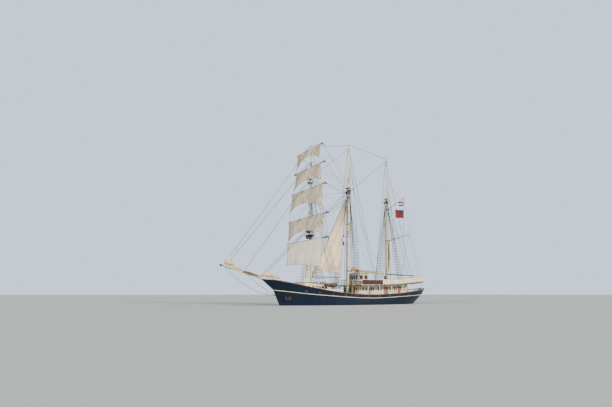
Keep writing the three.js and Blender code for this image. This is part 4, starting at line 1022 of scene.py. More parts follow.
def offset_edge(edge, distance):
    """Moves a line of the ship's plan sideways, outwards when positive; a sharp bow is moved fore and aft."""
    moved = []
    for i, p in enumerate(edge):
        a, b = edge[max(i - 1, 0)], edge[min(i + 1, len(edge) - 1)]
        is_bow, is_stern = i == len(edge) - 1, i == 0
        if is_bow or is_stern:
            sharp = p.y < SHARP_END
            inward = BOW_STEP * distance if is_bow and sharp and distance < 0 else distance
            y = max(p.y, 0.004) if sharp else p.y + distance
            moved.append(Vector((p.x + (inward if is_bow else -inward), y, p.z)))
            continue
        out = Vector((-(b.y - a.y), b.x - a.x, 0)).normalized()
        moved.append(Vector((p.x + out.x * distance, max(p.y + out.y * distance, 0.004), p.z)))
    return moved


def lifted(edge, rise):
    return [Vector((p.x, p.y, p.z + rise)) for p in edge]


def girdle(corners):
    """A closed band round the ship from its corner lines along the port side."""
    return skin([to_model(line + other_side(line)[::-1]) for line in corners], round_rows=True, round_columns=True)


def belt(line, out, inward, low, high):
    """A band of rectangular section on a line: from `inward` to `out` sideways, and from `low` to `high`."""
    return girdle([
        lifted(offset_edge(line, out), low), lifted(offset_edge(line, out), high),
        lifted(offset_edge(line, inward), high), lifted(offset_edge(line, inward), low),
    ])


CAP_HEIGHT, BULWARK_THICKNESS = 0.1, 0.12
deck_edge = hull_edge("deck", deck_top)
rail_edge = hull_edge("rail", lambda x: rail_top(x) - CAP_HEIGHT)
bulwark = girdle([lifted(deck_edge, -0.02), rail_edge, offset_edge(rail_edge, -BULWARK_THICKNESS),
                  lifted(offset_edge(deck_edge, -BULWARK_THICKNESS), -0.02)])
INNER_PAINT = painted("bulwark_inside", (0.80, 0.76, 0.64), (0.56, 0.49, 0.37))


def looks_inboard(face):
    """Whether a face of the bulwark looks towards the middle of the ship."""
    outward = Vector((face.center.x * 0.02, face.center.y, 0))
    return face.normal.dot(outward) < 0 and abs(face.normal.z) < 0.8


done(bulwark, "bulwark_plating", None, "hull_paint", replaces=["bulwark"], smooth=40)
two_tone(bulwark, HULL_PAINT, INNER_PAINT, looks_inboard)
rail_cap = belt(rail_edge, 0.06, -0.22, 0.0, CAP_HEIGHT)
rounded(rail_cap, 0.012, 2, 50)
done(rail_cap, "rail_cap_wood", BROWN_TRIM, "dark_wood", replaces=["rail_cap"], smooth=50)

# %% [markdown]
# A cream moulding follows the deck edge along the whole side: it is the fine light line of the photograph.

# %% Mouldings
topside_edge = hull_edge("topside", LEVELS[4][1])


def side_line(share):
    """A line on the topside, a share of the way from the topside level to the deck edge."""
    return [low.lerp(high, share) for low, high in zip(topside_edge, deck_edge)]


STRIPE_SHARE = 0.875
moulding = belt(side_line(STRIPE_SHARE), 0.05, -0.03, -0.042, 0.035)
rounded(moulding, 0.008, 2, 50)
done(moulding, "cream_moulding", CREAM_PAINT, "cream_paint", replaces=["moulding"], smooth=50)

# %% [markdown]
# ## Masts and spars
#
# A spar is turned from one long tree, so one helper turns them all: it takes a profile of (distance, radius) rows and
# a rule that says where a point of that spar lies. The masts lean aft a little, and their rule leans with them. Two
# rows at one distance make a step, which is how the doublings and the hoops get their sharp shoulders.

# %% Turned spars
MAST_FOOT = {"fore": 10.08, "main": 0.95, "mizzen": -9.11}
# columns: height up the mast, radius
MAST_TAPER = {
    "fore": [(4.42, 0.27), (13.0, 0.23), (13.0, 0.17), (23.4, 0.14), (23.4, 0.10), (30.9, 0.07)],
    "main": [(1.72, 0.32), (22.9, 0.25), (22.9, 0.17), (32.8, 0.1)],
    "mizzen": [(4.22, 0.28), (21.8, 0.21), (21.8, 0.15), (31.35, 0.09)],
}


def aloft(mast, height, ahead=0.0, across=0.0):
    """Point of the model at a height up a raked mast, ahead and across of its centre line, in the ship's metres."""
    x = MAST_FOOT[mast] + ahead * math.cos(RAKE) - height * math.sin(RAKE)
    return m(x, across, ahead * math.sin(RAKE) + height * math.cos(RAKE))


def mast_radius(mast, height):
    """Radius of a mast at a height."""
    taper = MAST_TAPER[mast]
    for (low, first), (high, second) in zip(taper, taper[1:]):
        if low <= height < high:
            return first + (second - first) * (height - low) / (high - low)
    return taper[-1][1]


def up_mast(mast):
    """The rule of places for a mast: distance is height."""
    return lambda at, a, b: aloft(mast, at, a, b)


def between(start, end):
    """The rule of places for a spar between two points of the model: distance runs from the start."""
    line = (end - start).normalized()
    side = line.cross(Vector((0, 0, 1))).normalized()
    rise = side.cross(line)
    return lambda at, a, b: start + (line * at + side * a + rise * b) * HALF


def turned(place, profile, sides=24, ring=False):
    """A turned spar from rows of (distance, radius); a ring's profile closes on itself."""
    turns = [math.tau * k / sides for k in range(sides)]
    return skin([[place(at, r * math.cos(t), r * math.sin(t)) for t in turns] for at, r in profile],
                round_rows=ring, round_columns=True, caps=not ring)


def finer(profile, step):
    """The same profile with rows added, so that no stretch is longer than a step."""
    rows = [profile[0]]
    for (a, ra), (b, rb) in zip(profile, profile[1:]):
        count = max(1, math.ceil(abs(b - a) / step))
        rows += [(a + (b - a) * k / count, ra + (rb - ra) * k / count) for k in range(1, count + 1)]
    return rows


def hoops(place, bands, sides=24):
    """Iron hoops on a spar: each (distance, radius, width) row becomes a rounded ring that hugs it."""
    made = []
    for at, radius, width in bands:
        edge, half, inner = min(0.012, radius * 0.2), width / 2, radius * 0.98
        made.append(turned(place, [(at - half, inner), (at - half, radius), (at - half + edge, radius + edge),
                                   (at + half - edge, radius + edge), (at + half, radius), (at + half, inner)],
                           sides, ring=True))
    return made


def eye(place, low, high, inner, outer, sides=24):
    """A flat ring round a pin or a rope."""
    return turned(place, [(low, inner), (low, outer), (high, outer), (high, inner)], sides, ring=True)


# %% [markdown]
# The three masts follow. Each has a truck at its head, and hoops where ropes are made fast. Each ledge under a yard
# carries the yard's collar.

# %% Masts
TRUCK = [(0.0, 0.06), (0.0, 0.13), (0.03, 0.16), (0.07, 0.16), (0.11, 0.1), (0.13, 0.02)]
# heights of the iron hoops on each mast
HOOPS = {
    "fore": (6.4, 9.2, 10.4, 12.2, 12.72, 14.3, 15.2, 17.2, 19.8, 22.6, 23.1, 24.3, 27.3, 30.6),
    "main": (3.6, 7.1, 9.6, 13.2, 15.65, 18.3, 21.2, 24.9, 28.0, 30.4, 31.6, 32.5),
    "mizzen": (5.1, 6.7, 12.5, 17.4, 19.4, 20.4, 24.5, 27.3, 30.5, 31.1),
}
# columns: mast, height and radius of the dark collars where two lengths of a mast double
COLLARS = [("fore", 13.4, 0.245), ("fore", 23.86, 0.16), ("main", 22.68, 0.295), ("mizzen", 21.58, 0.255)]
for mast, taper in MAST_TAPER.items():
    top, top_radius = taper[-1]
    pole = turned(up_mast(mast), finer(taper, 1.2), 28)
    truck = turned(up_mast(mast), [(top - 0.04 + at, r * 0.85) for at, r in TRUCK], 20)
    done(joined([pole, truck]), f"{mast}_mast_pole", SPAR_PAINT, "spar", replaces=[f"{mast}_mast"], smooth=40)
    rows = [(h, mast_radius(mast, h), 0.11) for h in HOOPS[mast]]
    rows += [(height, radius, 0.3) for at, height, radius in COLLARS if at == mast]
    done(joined(hoops(up_mast(mast), rows)), f"{mast}_mast_hoops", BLACK_PAINT, "iron", smooth=40)

# %% [markdown]
# Tops, crosstrees and spreaders hold the shrouds of the mast above away from the mast. The fore top is a grated
# platform. The others are bars that lie on trestle trees.


# %% Tops and crosstrees
def aloft_block(mast, low, high, bevel=0.006):
    """A bevelled box that leans with a mast; the corners are (ahead, across, height)."""
    corners = [aloft(mast, h, a, c) for h in (low[2], high[2]) for a, c in
               ((low[0], low[1]), (high[0], low[1]), (high[0], high[1]), (low[0], high[1]))]
    piece = mesh_piece(corners, [(3, 2, 1, 0), (4, 5, 6, 7), (0, 1, 5, 4), (1, 2, 6, 5), (2, 3, 7, 6), (3, 0, 4, 7)])
    if bevel:
        rounded(piece, bevel, 1)
    return piece


# columns: mast, lower corner and upper corner as (ahead, across, height); paired bars are mirrored
TOP_BARS = [
    ("fore", (-0.78, 0.2, 12.62), (0.34, 0.32, 12.78)), ("fore", (-0.78, 0.84, 12.78), (0.34, 0.95, 12.92)),
    ("fore", (-0.68, 0.28, 12.8), (0.24, 0.38, 12.9)), ("fore", (-0.68, 0.46, 12.8), (0.24, 0.56, 12.9)),
    ("fore", (-0.68, 0.64, 12.8), (0.24, 0.74, 12.9)), ("fore", (0.24, 0.0, 12.78), (0.34, 0.95, 12.92)),
    ("fore", (-0.78, 0.0, 12.78), (-0.68, 0.95, 12.92)), ("fore", (-0.44, 0.0, 23.16), (-0.34, 0.65, 23.28)),
    ("fore", (0.2, 0.0, 23.16), (0.3, 0.65, 23.28)), ("fore", (-0.44, 0.13, 23.08), (0.3, 0.22, 23.16)),
    ("main", (-0.42, 0.26, 22.36), (0.42, 0.38, 22.56)), ("mizzen", (-0.36, 0.22, 21.28), (0.36, 0.32, 21.46)),
    ("fore", (-0.5, 0.24, 12.22), (0.42, 0.4, 12.6)), ("fore", (-0.4, 0.18, 13.42), (0.4, 0.34, 13.74)),
    ("fore", (-0.4, 0.12, 22.86), (0.36, 0.3, 23.08)), ("fore", (-0.34, 0.11, 23.72), (0.34, 0.28, 24.0)),
    ("main", (-0.36, 0.26, 21.9), (0.36, 0.42, 22.36)), ("main", (-0.4, 0.2, 23.0), (0.4, 0.34, 23.3)),
    ("mizzen", (-0.3, 0.2, 20.9), (0.3, 0.32, 21.28)), ("mizzen", (-0.32, 0.16, 21.9), (0.32, 0.3, 22.16)),
]
bars = []
for mast, low, high in TOP_BARS:
    bars.append(aloft_block(mast, low, high))
    bars.append(aloft_block(mast, (low[0], -high[1], low[2]), (high[0], -low[1], high[2])))
# columns: mast, height, half length, radius
SPREADERS = [("main", 22.6, 1.9, 0.09), ("main", 15.8, 0.7, 0.05), ("mizzen", 21.5, 1.3, 0.075)]
for mast, height, half, radius in SPREADERS:
    arm = between(aloft(mast, height, 0, -half), aloft(mast, height, 0, half))
    bars.append(turned(arm, [(0.0, radius * 0.7), (half, radius), (2 * half, radius * 0.7)], 14))
done(joined(bars), "tops_and_spreaders", BLACK_PAINT, "dark_wood", smooth=35)

# %% [markdown]
# The bowsprit runs up and forward from the bitts, with a black ball at its end. Its outer half is thinner.

# %% Bowsprit
SPRIT_START, SPRIT_END = (15.6, 3.82), (26.7, 6.72)
SPRIT_LENGTH = math.hypot(SPRIT_END[0] - SPRIT_START[0], SPRIT_END[1] - SPRIT_START[1])


def on_sprit(x, up=0.0, across=0.0):
    """Point of the model at x on the bowsprit's centre line, or above or beside it."""
    share = (x - SPRIT_START[0]) / (SPRIT_END[0] - SPRIT_START[0])
    return m(x, across, SPRIT_START[1] + share * (SPRIT_END[1] - SPRIT_START[1]) + up)


def sprit_distance(x):
    return (x - SPRIT_START[0]) * SPRIT_LENGTH / (SPRIT_END[0] - SPRIT_START[0])


sprit = between(on_sprit(SPRIT_START[0]), on_sprit(SPRIT_END[0]))
sprit_profile = [(0.0, 0.21), (sprit_distance(21.5), 0.21), (sprit_distance(21.5), 0.19), (SPRIT_LENGTH, 0.12)]
done(turned(sprit, finer(sprit_profile, 1.0), 28), "bowsprit_spar", SPRIT_PAINT, "spar", replaces=["bowsprit"],
     smooth=40)
ball = turned(sprit, [(SPRIT_LENGTH - 0.2 * math.cos(t), max(0.2 * math.sin(t), 0.002))
                      for t in [math.pi * k / 12 for k in range(13)]], 24)
SPRIT_HOOPS = [(17.4, 0.21), (19.6, 0.21), (21.3, 0.21), (21.7, 0.19), (22.6, 0.18), (25.9, 0.13), (26.4, 0.124)]
irons = hoops(sprit, [(sprit_distance(x), radius, 0.14) for x, radius in SPRIT_HOOPS])
done(joined([ball, *irons]), "bowsprit_irons", BLACK_PAINT, "iron", smooth=40)

# %% [markdown]
# ### Yards
#
# Each yard tapers from its middle to its tips, and carries a jackstay on top, iron bands, and a footrope that hangs
# in stirrups for the crew to stand on. Everything on a yard turns with it, so it rides on the yard's body. A collar
# and an arm hold the yard to the mast.

# %% Yards
# Widths are half widths, to port and to starboard; low is the height of a clew
Yard = namedtuple("Yard", "height half_length radius gap head_port head_starboard clew_port clew_starboard "
                          "low_port low_starboard rise belly")
YARDS = {
    "course": Yard(11.68, 7.5, 0.17, 0.3, 5.9, 7.0, 5.6, 6.7, 6.6, 7.5, 0.2, 1.05),
    "lower_topsail": Yard(16.11, 7.27, 0.15, 0.3, 5.75, 6.9, 5.85, 6.65, 12.35, 12.15, 1.2, 0.9),
    "upper_topsail": Yard(21.67, 6.46, 0.14, 0.3, 5.2, 5.95, 5.7, 6.5, 17.3, 17.9, 1.2, 0.9),
    "topgallant": Yard(25.92, 5.82, 0.12, 0.3, 4.2, 4.7, 4.95, 5.55, 22.5, 22.15, 1.05, 0.7),
    "royal": Yard(29.7, 4.87, 0.10, 0.3, 3.9, 4.6, 3.9, 4.75, 27.0, 26.4, 1.5, 0.38),
}
PARREL_WALL, PARREL_HALF = 0.07, 0.07
# columns: share of the half length, share of the radius
YARD_SHAPE = [(-1.0, 0.5), (-0.95, 0.57), (-0.4, 0.9), (0.0, 1.0), (0.4, 0.9), (0.95, 0.57), (1.0, 0.5)]


def yard_ahead(name):
    """How far a yard's centre line stands ahead of the mast's centre line."""
    return mast_radius("fore", YARDS[name].height) + YARDS[name].gap


def on_yard(name):
    """The rule of places for a yard: distance runs from its middle to port."""
    height, ahead = YARDS[name].height, yard_ahead(name)
    return lambda at, a, b: aloft("fore", height + b, ahead + a, at)


STIRRUPS, FOOTROPE_DROP = 4, 0.85
# columns: share of the way out along the yard, share of its radius
YARD_BANDS = [(0.06, 0.98), (0.3, 0.93), (0.62, 0.77), (0.9, 0.6), (0.985, 0.53)]
for name, (height, half_length, radius, *_) in YARDS.items():
    body, place, mast = f"{name}_yard_body", on_yard(name), mast_radius("fore", height)
    rows = [(share * half_length, size * radius) for share, size in YARD_SHAPE]
    done(turned(place, finer(rows, 0.8), 20), f"{name}_yard_spar", YARD_PAINT, "dark_wood", body,
         [f"{name}_yard"], 40)
    bands = [(side * share * half_length, radius * size * 1.04, 0.1)
             for side in (-1, 1) for share, size in YARD_BANDS]
    arm = aloft_block("fore", (mast + PARREL_WALL * 0.5, -0.07, height - 0.06),
                      (yard_ahead(name) - radius * 0.6, 0.07, height + 0.06))
    parrel = eye(up_mast("fore"), height - PARREL_HALF, height + PARREL_HALF, mast + 0.006, mast + PARREL_WALL)
    done(joined([*hoops(place, bands, 18), arm, parrel]), f"{name}_yard_bands", BLACK_PAINT, "iron", body, smooth=40)
    lines = [[place(side * share * half_length, 0.0, radius * size + 0.05)
              for side, share, size in [(-1, 0.93, 0.6), (-1, 0.4, 0.9), (1, 0.4, 0.9), (1, 0.93, 0.6)]]]
    for side in (-1, 1):
        stations = [side * half_length * (0.05 + 0.87 * k / STIRRUPS) for k in range(STIRRUPS + 1)]
        knots = [place(at, -0.12, -radius * 0.7 - drop)
                 for at, drop in zip(stations, (0.1, *[FOOTROPE_DROP] * (STIRRUPS - 1), 0.0))]
        for a, b in zip(knots, knots[1:]):
            lines.append(hanging(a, b, 0.05, 5))
        lines += [[place(at, -0.04, -radius * 0.6), knot] for at, knot in zip(stations[1:-1], knots[1:-1])]
    rope_set(f"{name}_footropes", lines, 0.0075, TARRED_ROPE, body)
LEDGE_DEPTH, LEDGE_GAP = 0.0748, 0.0008
ledges = []
for yard in YARDS.values():
    under, wall = yard.height - PARREL_HALF, mast_radius("fore", yard.height)
    ledges.append(eye(up_mast("fore"), under - LEDGE_DEPTH, under - LEDGE_GAP, wall * 0.95, wall + PARREL_WALL))
done(joined(ledges), "yard_ledges", BLACK_PAINT, "iron", smooth=40)

# %% [markdown]
# ### Booms and gaffs
#
# The main boom hinges up and down on a level pin; the mizzen's spars swing on upright pins. A lug on the mast holds
# each pin, and two cheeks on the spar's end go round it.

# %% Booms and gaffs
NECK_REACH, PIN_RADIUS = 0.42, 0.035
LUG_HALF, CHEEK_OUT, CHEEK_RADIUS = 0.035, 0.1, 0.085
HINGE_SLACK, HINGE_BEVEL = 0.004, 0.004
# rise is how much higher the end is than the heel; heel and end are radii
Spar = namedtuple("Spar", "mast height length rise heel end material slot")
SPARS = {
    "main_boom": Spar("main", 6.42, 8.75, 0.0, 0.14, 0.10, SPAR_PAINT, "spar"),
    "mizzen_boom": Spar("mizzen", 6.05, 7.25, 0.1, 0.12, 0.09, BOOM_PAINT, "dark_wood"),
    "lower_gaff": Spar("mizzen", 13.0, 6.1, 2.05, 0.09, 0.06, BOOM_PAINT, "spar"),
    "upper_gaff": Spar("mizzen", 19.8, 4.75, 3.25, 0.08, 0.05, BOOM_PAINT, "spar"),
}


def on_spar(name):
    """The rule of places for a boom or gaff: distance runs aft from its pin."""
    spar = SPARS[name]
    return between(aloft(spar.mast, spar.height, -NECK_REACH),
                   aloft(spar.mast, spar.height + spar.rise, -NECK_REACH - spar.length))


def spar_length(name):
    """From the pin to the end, along the spar."""
    return math.hypot(SPARS[name].length, SPARS[name].rise)


for name, (mast, height, length, rise, heel, end, material, slot) in SPARS.items():
    body, place, reach = f"{name}_body", on_spar(name), spar_length(name)
    tip_ring = (reach - 0.12, end, 0.1)
    spar = turned(place, finer([(0.24, heel * 0.8), (0.3, heel), (reach - 0.05, end), (reach, end * 0.7)], 0.9), 20)
    done(spar, f"{name}_spar", material, slot, body, [name], 40)
    level = name == "main_boom"

    def pin_rule(at, a, b, mast=mast, height=height, level=level):
        """The rule of places for a hinge pin, which lies across the ship or stands upright."""
        across, rise = (at, b) if level else (b, at)
        return aloft(mast, height + rise, -NECK_REACH + a, across)

    def hinge_block(aft, fore, low, high, half, mast=mast, height=height, level=level):
        """A box near the pin: from aft to fore of it, from low to high along it, and half its width to each side."""
        (left, right), (under, over) = ((low, high), (-half, half)) if level else ((-half, half), (low, high))
        return aloft_block(mast, (-NECK_REACH + aft, left, height + under),
                           (-NECK_REACH + fore, right, height + over), HINGE_BEVEL)

    cheeks = []
    for near, far in ((-CHEEK_OUT, -LUG_HALF - HINGE_SLACK), (LUG_HALF + HINGE_SLACK, CHEEK_OUT)):
        cheeks += [eye(pin_rule, near, far, PIN_RADIUS + HINGE_SLACK, CHEEK_RADIUS),
                   hinge_block(-0.34, -0.075, near, far, 0.06)]
    cheeks.append(aloft_block(mast, (-NECK_REACH - 0.36, -0.1, height - 0.1),
                              (-NECK_REACH - 0.22, 0.1, height + 0.1)))
    bands = hoops(place, [(0.45, heel, 0.08), (reach * 0.45, (heel + end) / 2, 0.07), tip_ring], 18)
    done(joined([*cheeks, *bands]), f"{name}_irons", BLACK_PAINT, "iron", body, smooth=40)
    pin = turned(pin_rule, [(-0.13, PIN_RADIUS), (0.13, PIN_RADIUS)], 16)
    lug = hinge_block(-0.063, NECK_REACH - mast_radius(mast, height) * 0.8, -LUG_HALF, LUG_HALF, 0.07)
    band = hoops(up_mast(mast), [(height, mast_radius(mast, height), 0.2)])
    done(joined([pin, lug, *band]), f"{name}_gooseneck", BLACK_PAINT, "iron", smooth=40)

# %% [markdown]
# ## Sails
#
# A sail is a thin curved sheet, so each one is a fine grid whose points follow the shape that wind gives to canvas. A
# cloth simulation would need its pins, its wind and its stitching tuned for each sail; here the camber comes from the
# same formula as the CAD sail, and smaller terms are added to it: every sewn cloth swells a little, the head sags
# between its ties, and creases run from the clews. A Solidify modifier gives the canvas its few millimetres.
#
# Each sail keeps its flat cut: its width is the mean length of its rows from edge to edge, and its drop is its area
# divided by that width.

# %% Sailmaking
CANVAS_THICKNESS = 0.0035
CLOTH_WIDTH = 0.72


def ripple(point, size, seed):
    """Smooth noise from -1 to 1 at a point, with waves of about `size`."""
    return noise.noise(Vector((point[0] / size, point[1] / size, seed)))


def metre_map(piece, columns, place):
    """A UV map for a grid with this many points in a row; place(column, row) gives U and V in metres."""
    layer = piece.data.uv_layers.new(name="metres")
    for corner in piece.data.loops:
        j, i = divmod(corner.vertex_index, columns)
        layer.data[corner.index].uv = place(i, j)


def all_smooth(piece):
    """Smooth shading over every edge, as soft things have."""
    select_only(piece)
    bpy.ops.object.shade_smooth()


def grid_sail(rule, across, down, name, material, slot, body, replaces, thickness=CANVAS_THICKNESS):
    """A sheet whose point at (u, v), each from 0 to 1, is rule(u, v); its UV map measures it in metres.

    It gives back the piece, its flat width and drop, its area, and the grid of points.
    """
    rows = [[rule(i / across, j / down) for i in range(across + 1)] for j in range(down + 1)]
    sail = skin(rows)
    wide = [[0.0] * (across + 1) for _ in rows]
    tall = [[0.0] * (across + 1) for _ in rows]
    for j in range(down + 1):
        for i in range(across + 1):
            if i:
                wide[j][i] = wide[j][i - 1] + (rows[j][i] - rows[j][i - 1]).length
            if j:
                tall[j][i] = tall[j - 1][i] + (rows[j][i] - rows[j - 1][i]).length
    top_width = wide[0][across]
    metre_map(sail, across + 1, lambda i, j: (top_width * (i / across) / 2 + wide[j][i] / 2, tall[j][i]))
    area = sum(face.area for face in sail.data.polygons)
    width = sum(row[across] for row in wide) / len(wide)
    apply_modifier(sail, "SOLIDIFY", thickness=thickness, offset=0.0)
    done(sail, name, material, slot, body, replaces, smooth=0)
    all_smooth(sail)
    return sail, (round(width, 3), round(area / width, 3)), round(area, 3), rows


def edge_rope(rows):
    """The line of the bolt rope round a grid of points."""
    outline = rows[0] + [row[-1] for row in rows[1:]] + rows[-1][-2::-1] + [row[0] for row in rows[-2:0:-1]]
    return [outline + outline[:1]]


# %% [markdown]
# ### Square sails
#
# The photograph shows five of them, set but loosely sheeted: the feet are hauled up in deep arches, the clews hang
# low at the sides, and the cloth bags between its seams. The lowest is the brightest.

# %% Square sails
HEAD_TIES = 20
BAG_DEPTH, TIE_SAG, CREASE_DEPTH = 0.045, 0.05, 0.10
CURL_DEPTH, BUCKLE_DEPTH, FLUTTER = 0.16, 0.07, 0.05
FOOT_ARCH, LEECH_CURVE = 2.4, 1.5        # powers: the higher, the more the curve keeps to the ends
# the course takes the lighter canvas, painted light for the stronger light through it
SAIL_FINISH = {"course": LIT_COURSE_CANVAS}
# where the head is bent to the yard, as shares of the yard's radius over and ahead of its centre line
OVER_YARD, SAIL_AHEAD = 0.6, 0.755


def square_sail_point(name, u, v):
    """Point of a square sail: u from starboard to port, v from the head to the foot."""
    yard = YARDS[name]
    across = 2 * u - 1
    port = across > 0
    head = yard.head_port if port else yard.head_starboard
    clew = yard.clew_port if port else yard.clew_starboard
    foot = yard.low_starboard + (yard.low_port - yard.low_starboard) * u + yard.rise * (1 - abs(across) ** FOOT_ARCH)
    half = head + (clew - head) * v ** LEECH_CURVE
    top = yard.height + yard.radius * OVER_YARD - TIE_SAG * abs(math.sin(math.pi * HEAD_TIES * u)) * (1 - v) ** 8
    fullness = math.sin(math.pi * min(0.62 * v, 1)) * (1 - 0.8 * across ** 2)
    seed = yard.height
    cloths = 2 * half / CLOTH_WIDTH
    inside = min(1, 6 * v) * min(1, 5 * (1 - v) + 0.35) * min(1, 8 * (1 - abs(across)) + 0.15)
    bag = BAG_DEPTH * (abs(math.cos(math.pi * cloths * across / 2)) - 0.5) * inside
    slant = abs(across) * 4.2 - v * 3.4
    crease = CREASE_DEPTH * ripple((slant, across * 0.9 + v * 0.6), 0.55, seed) * inside * (0.35 + v)
    curl = CURL_DEPTH * max(0, abs(across) - 0.88) / 0.12 * math.sin(math.pi * v)
    buckle = BUCKLE_DEPTH * ripple((across * half, v * 9), 0.9, seed + 7) * inside
    ahead = yard_ahead(name) + yard.radius * SAIL_AHEAD + 0.03 + yard.belly * fullness
    ahead += bag + crease - curl + buckle
    flutter = FLUTTER * ripple((v * 6, 0.0), 0.8, seed + 3) * v * abs(across) ** 6
    return aloft("fore", top + (foot - top) * v, ahead, across * half + flutter)


SAIL_COLUMNS, SAIL_ROWS = 132, 46
BUNTLINES = (-0.62, -0.3, 0.3, 0.62)
for name, yard in YARDS.items():
    body, place = f"{name}_yard_body", on_yard(name)
    sail, flat, area, rows = grid_sail(
        lambda u, v, name=name: square_sail_point(name, u, v), SAIL_COLUMNS, SAIL_ROWS, f"{name}_canvas",
        SAIL_FINISH.get(name, SQUARE_CANVAS), "canvas", body, [f"{name}_sail"])
    rope_set(f"{name}_bolt_rope", edge_rope(rows), 0.014, MANILA_ROPE, body, slot="canvas")
    ties = []
    for k in range(HEAD_TIES + 1):
        across = 2 * k / HEAD_TIES - 1
        at = 0.995 * across * (yard.head_port if across > 0 else yard.head_starboard)
        size = yard.radius * (1 - 0.43 * abs(at) / yard.half_length) * 1.3
        ties.append([place(at, size * math.sin(t), size * math.cos(t)) for t in
                     [math.tau * n / 10 for n in range(11)]])
    rope_set(f"{name}_head_ties", ties, 0.006, MANILA_ROPE, body, slot="canvas")
    columns = [round((share + 1) / 2 * SAIL_COLUMNS) for share in BUNTLINES]
    gear = [[row[column] + Vector((0.02, 0, 0)) for row in rows[::2]] for column in columns]
    rope_set(f"{name}_buntlines", gear, 0.005, TARRED_ROPE, body)
    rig.sheet(sail, flat=flat, held="stretched", rests_on=[f"{name}_yard_spar"], area=area,
             with_pieces=[f"{name}_bolt_rope", f"{name}_head_ties", f"{name}_buntlines"])
    print(name, "canvas", flat, "m, area", area)

# %% [markdown]
# ### Staysail
#
# The boomed staysail hangs from eyes on the main stay. Its cloths run at a slant, and its after edge curls.

# %% Staysail
LUFF_FOOT, LUFF_HEAD_HEIGHT = Vector((9.3, 0, 4.3)), 22.35
luff_top = aloft("main", LUFF_HEAD_HEIGHT) / HALF
LUFF_GAP, LUFF_RADIUS = 0.07, 0.03


def on_luff(z):
    """Point of the main stay at a height, in the real ship's metres."""
    return LUFF_FOOT.lerp(luff_top, (z - LUFF_FOOT.z) / (luff_top.z - LUFF_FOOT.z))


def corner(x, z):
    return Vector((x, 0, z))


HEAD_CORNER = corner(on_luff(20.95).x - LUFF_GAP, 20.95)
TACK_CORNER = corner(on_luff(6.3).x - LUFF_GAP, 6.3)
LEECH_LOW, LEECH_HIGH = corner(2.4, 5.95), corner(1.75, 12.5)


def leech_point(v):
    """The after edge from the head down to the clew; it has one angle in it, as the CAD outline has."""
    split = (LEECH_HIGH - HEAD_CORNER).length / ((LEECH_HIGH - HEAD_CORNER).length + (LEECH_LOW - LEECH_HIGH).length)
    if v < split:
        return HEAD_CORNER.lerp(LEECH_HIGH, v / split)
    return LEECH_HIGH.lerp(LEECH_LOW, (v - split) / (1 - split))


STAYSAIL_BELLY, STAYSAIL_CREASE, STAYSAIL_BAG, STAYSAIL_CURL = 0.275, 0.05, 0.03, 0.12


def staysail_point(u, v):
    """u from the luff to the leech, v from the head to the foot."""
    luff = HEAD_CORNER.lerp(TACK_CORNER, v)
    place = luff.lerp(leech_point(max(v, 0.004)), u)
    fullness = math.sin(math.pi * u ** 0.8) * math.sin(math.pi * min(v * 0.8 + 0.08, 1))
    crease = ripple((u * 5 + v * 6, v * 3 - u * 2), 0.9, 5.0)
    bag = abs(math.cos(math.pi * (place.z * 0.6 + place.x * 0.8) / CLOTH_WIDTH)) - 0.5
    curl = max(0, u - 0.9) / 0.1 * STAYSAIL_CURL * math.sin(math.pi * min(v, 1)) * math.sin(v * 9)
    inside = min(1, 8 * u) * min(1, 6 * (1 - v) + 0.3)
    across = -STAYSAIL_BELLY * fullness + (STAYSAIL_CREASE * crease + STAYSAIL_BAG * bag) * inside + curl
    return m(place.x, across, place.z)


staysail, flat, area, staysail_rows = grid_sail(
    staysail_point, 44, 110, "staysail_canvas", STAYSAIL_CANVAS, "canvas", "staysail_body", ["main_staysail"])
rope_set("staysail_bolt_rope", edge_rope(staysail_rows), 0.013, MANILA_ROPE, "staysail_body", slot="canvas")


def round_luff(at, a, b):
    """The rule of places for rings on the main stay: distance is height."""
    line = (luff_top - LUFF_FOOT).normalized()
    ahead = Vector((line.z, 0, -line.x))
    return (on_luff(at) + ahead * a + Vector((0, b, 0))) * HALF


HANKS = [6.55 + 0.735 * k for k in range(20)]
rings, tabs = [], []
for h in HANKS:
    rings.append(eye(round_luff, h - 0.03, h + 0.03, LUFF_RADIUS + 0.004, LUFF_RADIUS + 0.035, 12))
    x = on_luff(h).x
    tabs.append(block((x - LUFF_GAP - 0.12, -0.025, h - 0.025), (x - LUFF_RADIUS - 0.008, 0.025, h + 0.025), 0.003))
done(joined([*rings, *tabs]), "staysail_hanks", BRONZE, "bronze", "staysail_body", smooth=40)
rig.sheet(staysail, flat=flat, held="hung", rests_on=["staysail_hanks"], area=area,
         with_pieces=["staysail_bolt_rope", "staysail_hanks"])
print("staysail", flat, area)
STAYSAIL_BOOM_Z, STAYSAIL_BOOM_END, STAYSAIL_BOOM_GAP = 5.1, 2.35, 0.14
boom_heel = on_luff(STAYSAIL_BOOM_Z).x - STAYSAIL_BOOM_GAP
boom_place = between(m(boom_heel, 0, STAYSAIL_BOOM_Z), m(STAYSAIL_BOOM_END, 0, STAYSAIL_BOOM_Z + 0.05))
boom_length = boom_heel - STAYSAIL_BOOM_END
boom_profile = [(0.0, 0.075), (0.3, 0.085), (boom_length - 0.05, 0.06), (boom_length, 0.045)]
club = turned(boom_place, finer(boom_profile, 0.8), 20)
done(club, "staysail_boom_spar", BOOM_PAINT, "dark_wood", "staysail_body", ["staysail_boom"], 40)
heel_eye = eye(round_luff, STAYSAIL_BOOM_Z - 0.12, STAYSAIL_BOOM_Z + 0.12, LUFF_RADIUS + 0.004, LUFF_RADIUS + 0.08)
club_bands = hoops(boom_place, [(0.3, 0.085, 0.08), (2.4, 0.078, 0.06), (boom_length - 0.2, 0.062, 0.08)], 16)
done(joined([heel_eye, *club_bands]), "staysail_boom_irons", BLACK_PAINT, "iron", "staysail_body", smooth=40)
